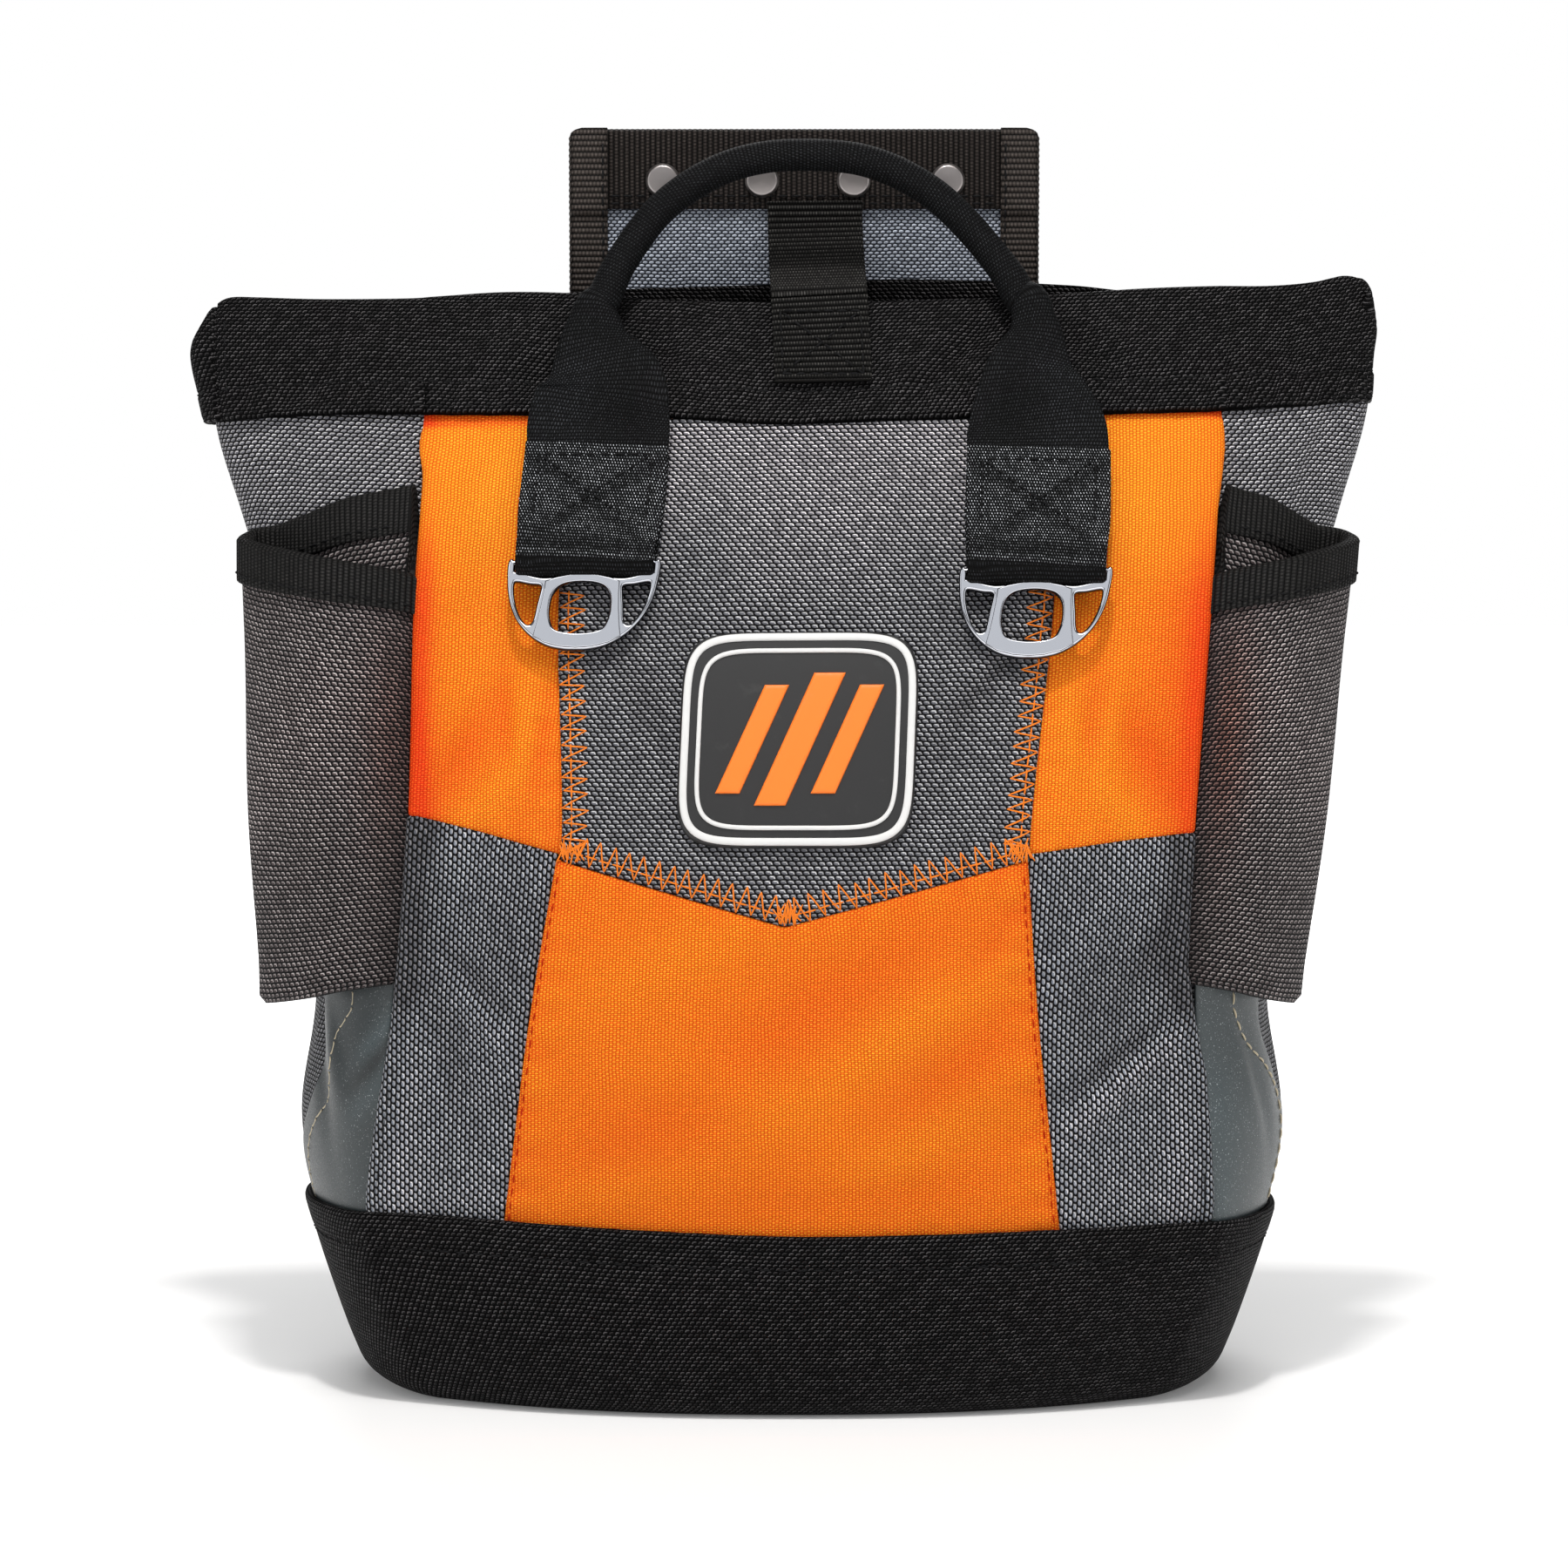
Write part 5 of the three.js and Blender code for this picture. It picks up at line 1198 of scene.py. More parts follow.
def band(name, w0, w1, cols, tuck=0.0):
    p, q = ticks(cols, 220 * (w1 - w0), 1.6)[None], ticks(44, 33, 1.4)[:, None]
    w = lerp(w0, w1, p)
    z = lerp(band_foot(w) + 0.4 * (tuck > 0), mouth_line(w) - tuck, q)
    points = band_face(w, z)
    low = z - band_foot(w)
    outer = (BAND["outer"] - tuck + 0.3 * smooth(8.6, 7.6, low) - 0.35 * bump((low - 8.2) / 0.5)
             - 0.25 * bump((low - 1.6) / 0.4))
    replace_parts(cloth(name, points, BAND["inner"] - tuck, outer, "black", 1.5), name)


END = 0.4
band("top_band_front", -END, 1.49, 160)
band("top_band_back", 1.6, 3.6, 160)
band("top_band_end_right", 1.42, 1.64, 30, 0.7)
band("top_band_end_left", 3.36, 3.64, 34, 0.7)

# Pocket sleeves and the tape over their rims
SLEEVES = {"left": (-1, 137.4, 142.2), "right": (1, 131.4, 145.6)}
RIM = np.array([(0, 214.5), (0.14, 219.4), (0.286, 224.6), (0.4, 226), (0.56, 227.4), (0.72, 230.4),
                (0.86, 234.4), (0.972, 238), (1, 214.5)])
TAPE_FOOT = 1 - POCKET["tape"] / (POCKET["rim"] - POCKET["low"])


def rim_height(t):
    return np.interp(t, RIM[:, 0], RIM[:, 1])


def closed_curve(points, t):
    """A centripetal curve through a closed ring of points (first axis), at shares t of the ring."""
    n = len(points)
    at = t * n
    i = np.floor(at).astype(int)
    f = (at - i)[..., None]
    index = np.indices(t.shape)
    p0, p1, p2, p3 = (points[(i + k) % n, *index] for k in (-1, 0, 1, 2))

    def gap(a, b):
        return np.sqrt(np.maximum(np.linalg.norm(b - a, axis=-1, keepdims=True), 1e-6))
    d0, d1, d2 = gap(p0, p1), gap(p1, p2), gap(p2, p3)
    t1 = ((p1 - p0) / d0 - (p2 - p0) / (d0 + d1) + (p2 - p1) / d1) * d1
    t2 = ((p2 - p1) / d1 - (p3 - p1) / (d1 + d2) + (p3 - p2) / d2) * d1
    return p1 + t1 * f + (3 * (p2 - p1) - 2 * t1 - t2) * f ** 2 + (2 * (p1 - p2) + t1 + t2) * f ** 3


def sleeve(label, t, f, drop):
    """Middle and outward direction of the pocket wall, at a share round the loop and one up the wall."""
    side, fold_low, fold_top = SLEEVES[label]
    t, f = np.broadcast_arrays(np.asarray(t, float), np.asarray(f, float))
    droop = smooth(0, 0.3, t) * smooth(0.5, 0.4, t) - 0.5 * smooth(0.42, 0.55, t) * smooth(1, 0.9, t)
    z = lerp(lerp(POCKET["low"], POCKET["fold_low"], droop), rim_height(t) - drop, f)
    gap = lerp(1.4, 2.0, smooth(0.2, 0.9, f))

    def lift(u, out):
        u = np.broadcast_to(u, z.shape)
        p = gusset(side, u, z)
        along = gusset(side, u + 0.02, z) - gusset(side, np.maximum(u - 0.02, 0), z)
        away = unit(np.stack([along[..., 1] * side, -along[..., 0] * side], -1))
        return p[..., :2] + away * np.asarray(out)[..., None]
    base = gusset(side, np.zeros_like(z), z)
    seam = np.stack([base[..., 0] + side * (2.4 - drawn_in(side, z)),
                     base[..., 1] - gap * 0.8 - 0.25 * drawn_in(side, z)], -1)
    fold = np.stack([side * lerp(fold_low, fold_top, f), base[..., 1] + lerp(16.5, 11.3, f)], -1)
    middle = np.stack([lerp(seam[..., 0], fold[..., 0], 0.52),
                       lerp(seam[..., 1], fold[..., 1], 0.42) - lerp(5, 10.5, f)], -1)
    behind = fold + np.stack([np.full(z.shape, -side * 2.2), lerp(6.5, 3.4, f)], -1)
    ring = np.stack([seam, middle, fold, behind, lift(lerp(0.32, 0.21, f), gap + 0.8),
                     lift(lerp(0.2, 0.14, f), gap), lift(0.07, gap)])
    p = closed_curve(ring, t)
    q = closed_curve(ring, np.mod(t + 0.004, 1)) - closed_curve(ring, np.mod(t - 0.004, 1))
    out = unit(np.stack([q[..., 1], -q[..., 0], np.zeros(z.shape)], -1) * side)
    return np.concatenate([p, z[..., None]], -1), out


def pocket(label):
    side = SLEEVES[label][0]
    t = np.linspace(0, 1, 156, endpoint=False)[None]
    half = POCKET["wall"] / 2
    f = np.linspace(0, 1, 58)[:, None]
    p, out = sleeve(label, t, f, 1.3)
    round_in = 1.6 * (1 - np.sqrt(1 - (1 - np.clip(f * 110 / 1.6, 0, 1)) ** 2))
    wave = (0.5 * np.sin(f * 9 + t * 14) * bump((t - 0.2) / 0.14)
            + 0.7 * bump((t - 0.12) / 0.05) * bump((f - 0.62) / 0.2))
    outer = p + out * (half - round_in + wave * smooth(0, 0.1, f))[..., None]
    p, out = sleeve(label, t, f[::-1], 1.3)
    inner = p - out * half
    inner[-1, :, 2] += POCKET["wall"]
    place_u = np.concatenate([run_length(outer, 1), run_length(outer, 1)[:, -1:] + 1.2], axis=1)
    place = np.stack([place_u, np.broadcast_to(f * 112, place_u.shape)], -1)
    place = np.concatenate([place, place[::-1]])
    # Painted shade: dark by the seam with the front, light and dark over the waves, darker to the foot
    # and inside
    beside = np.minimum(t, 1 - t) / 0.03
    fold = (np.broadcast_to(-0.9 * bump(beside / 1.5) - 0.45 * bump(beside / 3.6), outer.shape[:2])
            + 0.45 * wave * smooth(0, 0.1, f) - 0.25 * smooth(0.4, 0, f))
    fold = np.concatenate([fold, fold[::-1] * 0 - 0.4])
    piece = tube(f"pocket_{label}", np.concatenate([outer, inner]), "pocket", place=place, fold=fold)
    # Painted orange light, as bounced off the front strip onto the wall near its seam
    glow = ((0.75 if side > 0 else 0.5) * bump((t - (0.06 if side > 0 else 0.045)) / 0.04)
            * bump((f - 0.6) / 0.27))
    glow = np.concatenate([np.concatenate([glow, 0 * glow]).ravel(), [0, 0]])
    painted_bounce = piece.data.attributes.new("glow", "FLOAT", "POINT")
    painted_bounce.data.foreach_set("value", glow.astype(np.float32))
    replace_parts(piece, f"pocket_{label}")


def pocket_binding(label):
    count = 300
    t = np.linspace(0, 1, count, endpoint=False)
    half = POCKET["wall"] / 2
    low = TAPE_FOOT
    near, far = half + TAPE_GAP, half + TAPE_GAP + POCKET["tape_thick"]
    profile = [(low, far - 0.5, 0), (low, far - 0.1, 0)]
    profile += [(lerp(low, 1, k), far, 0) for k in (0.04, 0.1, 0.25, 0.4, 0.55, 0.7, 0.82)]
    profile += [(1, far * math.cos(a), 1.6 * (1 - math.sin(a)))
                for a in np.linspace(0.2, math.pi - 0.2, 9)]
    profile += ([(lerp(low, 1, k), -far, 0) for k in (0.82, 0.55, 0.25, 0.04)]
                + [(low, -far + 0.3, 0), (low, -near, 0)])
    profile += [(lerp(low, 1, 0.6), -near, 0), (1, -near, 1), (1, near, 1), (lerp(low, 1, 0.6), near, 0),
                (low, near, 0)]
    rows = []
    along = None
    for f, off, drop in profile:
        p, out = sleeve(label, t, np.full(count, f), drop)
        if along is None:
            along = run_length(p, 0)
        rib = 0.09 * np.cos((along / 1.4 - 0.5) * TAU) if abs(off) > near + 0.3 else 0
        rows.append(p + out * (off + rib * np.sign(off))[..., None] if np.ndim(rib) else p + out * off)
    loops = np.array(rows)
    wrapped = np.concatenate([loops, loops[:, :1]], axis=1)
    wrapped = np.concatenate([wrapped, wrapped[:1]], axis=0)
    place = np.stack([run_length(wrapped, 0),
                      np.broadcast_to(np.append(along, along[-1] + 1), wrapped.shape[:2])], -1)
    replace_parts(tube(f"pocket_binding_{label}", loops, "binding", joined=True, place=place),
                f"pocket_binding_{label}")


for label in SLEEVES:
    pocket(label)
    pocket_binding(label)


# Places off the plain front, for what is sewn on it
def off_front(x, z, off):
    x, z = np.asarray(x, float), np.asarray(z, float)
    cx = section(z)["cx"]
    p = front(x + cx, z, False)
    across = unit(front(x + cx + 1, z, False) - front(x + cx - 1, z, False))
    up = unit(front(x + section(z + 1)["cx"], z + 1, False)
              - front(x + section(z - 1)["cx"], z - 1, False))
    out = unit(np.cross(across, up))
    return p + out * np.asarray(off, float)[..., None], out


TAB_MID = TAB["under"] + WEB["thick"] / 2
AXIS_OFF = TAB["under"] + WEB["thick"] + RING["clear"]
LEG_OFF = TAB["under"] + WEB["thick"] + 0.3 + WEB["thick"] / 2
FACE_OFF = LEG_OFF + WEB["thick"] + 0.3
X_AXIS = np.array([1.0, 0, 0])


def tab_x(side, z):
    """Where a ring tab hangs across the front; the left one leans a little."""
    return side * HANDLE["apart"] + (lerp(-1.9, -1.2, smooth(212, 247, z)) if side < 0 else -0.5)


def hang(side):
    return RING["settle"] if side > 0 else 0.0


def upright(out):
    return unit(out * np.array([0.0, 1.0, 1.0]))


def ring_frame(side):
    p, out = off_front(tab_x(side, RING["axis"]), RING["axis"] - hang(side), AXIS_OFF)
    out = upright(out)
    down = unit(np.cross(out, X_AXIS))
    return p, out, down if down[2] < 0 else -down


def ribbon(name, path, wide, thick, look, ribs=0.0, pitch=1.8, count=16, body="pouch", shade=None):
    """Flat webbing along a path of points and outward directions, with rounded edges and cross ribs."""
    points, out = path
    n = len(points)
    wide = np.broadcast_to(wide, (n,))
    ahead = unit(np.gradient(points, axis=0))
    across = unit(np.cross(ahead, out))
    out = unit(np.cross(across, ahead))
    far = run_length(points, 0)
    across_steps = np.concatenate([[-1, -0.985, -0.95], np.linspace(-0.88, 0.88, count),
                                   [0.95, 0.985, 1]])
    thin = (np.sqrt(np.maximum(0, 1 - np.maximum(0, (np.abs(across_steps) - 0.93) / 0.07) ** 2)) * 0.85
            + 0.15)
    rib = ribs * (np.cos(far * TAU / pitch) - 1) / 2
    sides = []
    for sign, steps in ((1, np.arange(len(across_steps))), (-1, np.arange(len(across_steps))[::-1])):
        s, t = across_steps[steps], thin[steps]
        high = sign * (thick / 2 * t[None] + rib[:, None] * t[None])
        sides.append(points[:, None] + across[:, None] * (s[None, :, None] * wide[:, None, None] / 2)
                     + out[:, None] * high[..., None])
    loops = np.concatenate(sides, axis=1)
    u = np.concatenate([across_steps, across_steps[::-1]]) * wide.mean() / 2
    u = np.append(u, u[0])
    place = np.stack(np.broadcast_arrays(u[None], far[:, None] + pitch / 2), -1)
    fold = None if shade is None else shade(u[None, :-1], points[:, 2:])
    return tube(name, loops, look, place=place, body=body, fold=fold)


def resample(points, outs, widths, step):
    """Path, directions and widths drawn smoothly through stations and spaced evenly."""
    rows = np.concatenate([points, outs, np.asarray(widths, float)[:, None]], axis=1)
    fine = spline(rows, len(rows) * 24)
    far = run_length(fine[:, :3], 0)
    at = np.linspace(0, far[-1], max(8, int(far[-1] / step)))
    fine = np.stack([np.interp(at, far, fine[:, k]) for k in range(7)], -1)
    return fine[:, :3], unit(fine[:, 3:6]), fine[:, 6]


def ring_tab(side, label):
    axis, out_axis, down = ring_frame(side)
    z_drop = float(off_front(tab_x(side, 236), 236, TAB_MID)[0][2]) - 236
    radius = RING["clear"] + WEB["thick"] / 2
    points, outs, widths = [], [], []

    def put_station(p, out, wide):
        points.append(p)
        outs.append(out)
        widths.append(wide)
    for z in (TAB["top"], 240, 233, 225):
        p, out = off_front(tab_x(side, z), z - hang(side), TAB_MID)
        put_station(p, upright(out), lerp(TAB["narrow"], WEB["wide"], smooth(219, 229, z)))
    for k in range(13):
        turn = k / 12 * math.pi
        out = out_axis * math.cos(turn) - down * math.sin(turn)
        put_station(axis - out * radius, out, TAB["narrow"])
    for z in (221.5, 225.5, 229, 233, 237, 240, 244, TAB["top"]):
        puff = lerp(AXIS_OFF + radius, FACE_OFF, smooth(RING["axis"], TAB["sewn"], z))
        p, out = off_front(tab_x(side, z), z - hang(side), puff)
        put_station(p, -upright(out), lerp(TAB["narrow"], WEB["wide"], smooth(219, 229, z)))
    p, out, wide = resample(np.array(points), np.array(outs), widths, 0.48)

    def shade(x, z):
        """Painted shade along the sewn cross and rows and round the fold at the foot, leaving a lit line
        on it.
        """
        h = z + hang(side) - z_drop
        up = ((h - TAB["box_low"]) / (TAB["box_high"] - TAB["box_low"]) * 2 - 1) * TAB["box"]
        crossed = np.maximum(bump((up - x) / 2.6), bump((up + x) / 2.6)) * smooth(222.8, 223.8, h)
        foot = 0.75 * smooth(223, 222, h) * (1 - bump((h - 219.4) / 1.0))
        sewn = 0.65 * np.maximum(crossed, bump((h - 222.9) / 1.0))
        return -np.maximum(np.maximum(sewn, foot), smooth(219, 218.4, h))
    piece = ribbon(f"ring_tab_{label}", (p, out), wide, WEB["thick"], "tab", ribs=0.06, pitch=1.1,
                   count=28, shade=shade)
    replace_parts(piece, f"ring_tab_{label}")


for side, label in SIDES:
    ring_tab(side, label)


# Handle: flat legs that gather into a round grip
LEGS = [(226.5, 36.6, 36.6, 1.6, 0, -1.7, -0.5), (233, 36.6, 36.6, 1.6, 0, -1.5, -0.5),
        (240, 36.6, 36.6, 1.6, 0, -1.3, -0.5), (TAB["top"], 36.6, 36.6, 1.6, 0, -1.2, -0.6),
        (251, 37.0, 36.2, 1.65, 0.7, -1.3, -1.0), (256, 35.8, 32.8, 1.9, 2.0, -0.8, -1.9),
        (260, 33.4, 28.4, 2.3, 3.0, -0.2, -2.5), (264, 29.8, 23.6, 2.9, 3.7, -0.6, -2.7),
        (268.4, 24.2, 18.4, 3.9, 4.2, -1.9, -1.9), (272, 19.6, 14.8, 4.9, 4.6, -2.8, -1.3),
        (275.6, 15.4, 12.0, 6.0, 4.9, -3.0, -1.6), (280.6, 11.6, 10.2, 7.4, 5.2, -2.6, -2.7)]
ARCH = [(-48.9, 286.8), (-45.7, 294.1), (-40.3, 302.6), (-34.8, 309.4), (-27.05, 315.7), (-17.2, 320.85),
        (-6.9, 323.5), (3.6, 324.1), (13.55, 323.6), (21, 322.1), (28.85, 319), (37.75, 313.6),
        (45.85, 305.95), (52.6, 298), (57, 291.9), (60, 286.4)]


def handle():
    stations = []
    for z, wide, _, thick, off, shift, _ in LEGS:
        p, out = off_front(-HANDLE["apart"] + shift, z, LEG_OFF + off)
        stations.append((*p, *upright(out), wide, thick))
    foot_y = stations[-1][1]
    for x, z in ARCH:
        rise = (z - HANDLE["foot"]) / (HANDLE["apex"] - HANDLE["foot"])
        girth = lerp(9.4, HANDLE["tube"], smooth(0.1, 0.4, rise))
        stations.append((x, foot_y + HANDLE["lean"] * math.sin(rise * math.pi / 2), z, 0, -1, 0, girth,
                         HANDLE["tube"]))
    for z, _, wide, thick, off, _, shift in LEGS[::-1]:
        p, out = off_front(HANDLE["apart"] + shift, z - hang(1) * smooth(275, 240, z), LEG_OFF + off)
        stations.append((*p, *upright(out), wide, thick))
    steps, columns = 420, 48
    fine = spline(np.array(stations), steps)
    points, out, wide, thick = fine[:, :3], unit(fine[:, 3:6]), fine[:, 6], fine[:, 7]
    ahead = unit(np.gradient(points, axis=0))
    across = unit(np.cross(out, ahead))
    out = unit(np.cross(ahead, across))
    flat = np.clip((wide / thick - 1) / 21, 0, 1)
    turn = np.linspace(0, TAU, columns, endpoint=False)[None] - math.pi / 2
    power = lerp(1, 0.42, flat)[:, None]
    c = np.sign(np.cos(turn)) * np.abs(np.cos(turn)) ** power
    n = np.sign(np.sin(turn)) * np.abs(np.sin(turn)) ** power
    cup = 0.5 * (flat * (1 - flat) * 4)[:, None] * (c ** 2 - 0.4)
    loops = points[:, None] + across[:, None] * (c * wide[:, None] / 2)[..., None]
    loops = loops + out[:, None] * (n * thick[:, None] / 2 - cup)[..., None]
    girth = run_length(np.concatenate([loops, loops[:, :1]], axis=1), 1)
    front_line = girth[:, columns // 2:columns // 2 + 1]
    place = np.stack([girth - front_line, np.broadcast_to(run_length(points, 0)[:, None], girth.shape)],
                     -1)
    # Painted light on each leg's outer half, painted shade in its hollow on the inner side, the grip a
    # bit darker
    beside = (loops[..., 0] - points[:, :1]) / (wide[:, None] / 2)
    broad = smooth(0.05, 0.4, flat)[:, None]
    inward = beside * -np.sign(points[:, :1])
    hollow_shade = bump((inward - 0.3) / 0.45) * bump((points[:, 2:] - 259) / 11)
    shade = broad * (0.5 * bump((inward + 0.35) / 0.6) - 0.9 * hollow_shade) - 0.3 * (1 - broad)
    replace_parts(tube("handle", loops, "handle", place=place, fold=shade), "handle")


handle()


# D-rings: a bevelled frame with three windows and a raised bridge round the middle one
def plate(name, outline, holes, thick, bevel):
    """A flat plate with rounded edges from closed outlines, as a mesh about its own origin."""
    curve = bpy.data.curves.new(name, "CURVE")
    curve.dimensions = "2D"
    curve.fill_mode = "BOTH"
    curve.bevel_depth = bevel
    curve.bevel_resolution = 3
    curve.offset = -bevel
    curve.extrude = thick / 2 - bevel
    for ring in [outline] + holes:
        line = curve.splines.new("POLY")
        line.points.add(len(ring) - 1)
        flat = np.concatenate([ring, np.zeros((len(ring), 1)), np.ones((len(ring), 1))], 1)
        line.points.foreach_set("co", flat.astype(np.float32).ravel())
        line.use_cyclic_u = True
    holder = bpy.data.objects.new(name + "_outline", curve)
    bpy.context.scene.collection.objects.link(holder)
    bpy.context.view_layer.update()
    mesh = bpy.data.meshes.new_from_object(holder.evaluated_get(bpy.context.evaluated_depsgraph_get()))
    bpy.data.objects.remove(holder)
    bpy.data.curves.remove(curve)
    return mesh


def eased(points, count):
    """A closed outline with its corners softened."""
    return spline(np.array(points, float), count, closed=True)


def swayed(outline):
    """The lower part of a ring stands a little to the left."""
    return np.asarray(outline, float) - np.asarray(outline, float)[:, 1:] * [0.1, 0]


def ring_outline():
    right = [(17.9, -0.5), (18.6, -0.9), (19.2, -0.5), (19.45, 0.4), (19.5, 1.6), (19.3, 4), (18.7, 8),
             (17.4, 12), (15.2, 15.8), (11.8, 19.2), (7.6, 21.6), (3.4, 22.6)]
    left = [(-x, y) for x, y in right[::-1]]
    bar = [(-16.9, -1.2), (-10, -1.2), (0, -1.2), (10, -1.2), (16.9, -1.2)]
    return eased(right + [(0, 22.75)] + left + bar, 240)


def ring_windows():
    half = 17.6
    x = np.linspace(-half, half, 61)
    wavy = 4.0 - 1.3 * bump(x / 6) - 1.7 * smooth(9.5, half, np.abs(x))
    slot = np.concatenate([np.stack([x, wavy], -1), [(half, 0.9), (-half, 0.9)]])
    middle = eased([(-4.6, 5.7), (0, 5.0), (4.6, 5.7), (7.0, 8), (7.6, 11.5), (7.2, 14.8), (5.4, 17.6),
                    (0, 18.5), (-5.4, 17.6), (-7.2, 14.8), (-7.6, 11.5), (-7.0, 8)], 72)
    side = np.array([(10.6, 6.1), (13.2, 5.8), (16.6, 5.2), (17.3, 5.8), (17.0, 8.6), (16.1, 11.6),
                     (14.7, 14.4), (13.2, 16), (12.1, 15.9), (11.4, 14.4), (11.0, 11), (10.5, 7.6)])
    return [slot, middle, eased(side, 48), eased(side * [-1, 1], 48)]


def bridge_outline():
    left = [(-9.5, 4.9), (-9.6, 8), (-10.0, 12), (-10.6, 16.2), (-11.2, 19.2)]
    bottom = [(-8.2, 20.8), (-4, 21.9), (0, 22.2), (4, 21.9), (8.2, 20.8)]
    head = [(7.0, 4.0), (3.5, 3.2), (0, 3.0), (-3.5, 3.2), (-7.0, 4.0)]
    return np.array(left + bottom + [(-x, y) for x, y in left[::-1]] + head, float)


def edge_shade(mesh, thick, bevel):
    """Marks the rounded edges of a plate apart from its flat faces, for painted shade on them."""
    flat = np.empty(len(mesh.vertices) * 3, np.float32)
    mesh.vertices.foreach_get("co", flat)
    far = np.abs(flat.reshape(-1, 3)[:, 2])
    shade = mesh.attributes.new("fold", "FLOAT", "POINT")
    shade.data.foreach_set("value", -smooth(thick / 2, thick / 2 - 0.3 * bevel, far).astype(np.float32))


def ring_tilt(side):
    """The ring leans in until its lower edge all but rests on the front."""
    p, out, down = ring_frame(side)

    def turned(v, tilt):
        return v * math.cos(tilt) + np.cross(X_AXIS, v) * math.sin(tilt)
    tilt = -0.2
    while tilt < 0.4:
        least = np.inf
        for x in (-10, 0, 10):
            for r in (12, 17, RING["low"]):
                q = p + X_AXIS * x + turned(down, tilt) * r - turned(out, tilt) * RING["thick"] / 2
                f, n = off_front(q[0] - section(q[2])["cx"], q[2], 0.5)
                least = min(least, float((q - f) @ n))
        if least <= 0.8:
            break
        tilt += 0.005
    return p, turned(out, tilt), turned(down, tilt)


FRAME_BEVEL = 0.7
BRIDGE_BEVEL = 0.3
BRIDGE_THICK = RING["thick"] + 0.5
for side, label in SIDES:
    p, out, down = ring_tilt(side)
    origin = (p + SHIFT) * MM
    pose = Matrix(((X_AXIS[0], down[0], -out[0], origin[0]), (X_AXIS[1], down[1], -out[1], origin[1]),
                   (X_AXIS[2], down[2], -out[2], origin[2]), (0, 0, 0, 1)))
    windows = [swayed(w) for w in ring_windows()]
    frame_mesh = plate(f"d_ring_{label}", swayed(ring_outline()), windows, RING["thick"], FRAME_BEVEL)
    edge_shade(frame_mesh, RING["thick"], FRAME_BEVEL)
    opening = swayed(ring_windows()[1] * [1.05, 1.0])
    bridge = plate(f"d_ring_bridge_{label}", swayed(bridge_outline()), [opening], BRIDGE_THICK,
                   BRIDGE_BEVEL)
    edge_shade(bridge, BRIDGE_THICK, BRIDGE_BEVEL)
    for name, mesh in ((f"d_ring_{label}_frame", frame_mesh), (f"d_ring_bridge_{label}", bridge)):
        mesh.transform(pose @ Matrix.Scale(MM, 4))
        if pose.determinant() < 0:
            mesh.flip_normals()
        mesh.materials.clear()
        mesh.polygons.foreach_set("use_smooth", np.ones(len(mesh.polygons), bool))
        mesh.set_sharp_from_angle(angle=math.radians(38))
        piece = finish_piece(name, mesh, "chrome", f"ring_{label}")
        if mesh == frame_mesh:
            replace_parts(piece, f"d_ring_{label}")


# The belt panel behind the mouth
def panel_y(z):
    def on(h):
        return back(PANEL["x"], np.minimum(h, PANEL["stand"]))[..., 1]
    z = np.asarray(z, float)
    return (lerp(lerp(on(z - 3), on(z + 3), 0.5), on(z), smooth(240, 200, z))
            + lerp(PANEL["hug"], PANEL["off"], smooth(212, 250, z)))


PANEL_FACE = float(panel_y(PANEL["top"]))
EDGE_TAPE = 1.1
HEAD_TAPE = 1.3


def band_lap(z):
    """The edge tapes bow out where the top tape lies under them."""
    return 1.4 * smooth(PANEL["top"] - PANEL["band"] - 2.5, PANEL["top"] - PANEL["band"], z)


def tape_places(loops, along):
    """Cloth places of a folded tape: round its section, and along its length."""
    wrapped = np.concatenate([loops, loops[:, :1]], axis=1)
    return np.stack([run_length(wrapped, 1), np.broadcast_to(along[:, None], wrapped.shape[:2])], -1)


z = ticks(150, 180, 0.8)[:, None] * (PANEL["top"] - 1.8 - PANEL["low"]) + PANEL["low"]
x = ticks(60, 120, 0.8)[None] * (PANEL["wide"] - 3.2) + PANEL["x"] - (PANEL["wide"] - 3.2) / 2
points = stack(x, panel_y(z) + CLOTH, z)
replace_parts(cloth("belt_panel", points, 0, CLOTH, "blue", 0.8), "belt_panel")


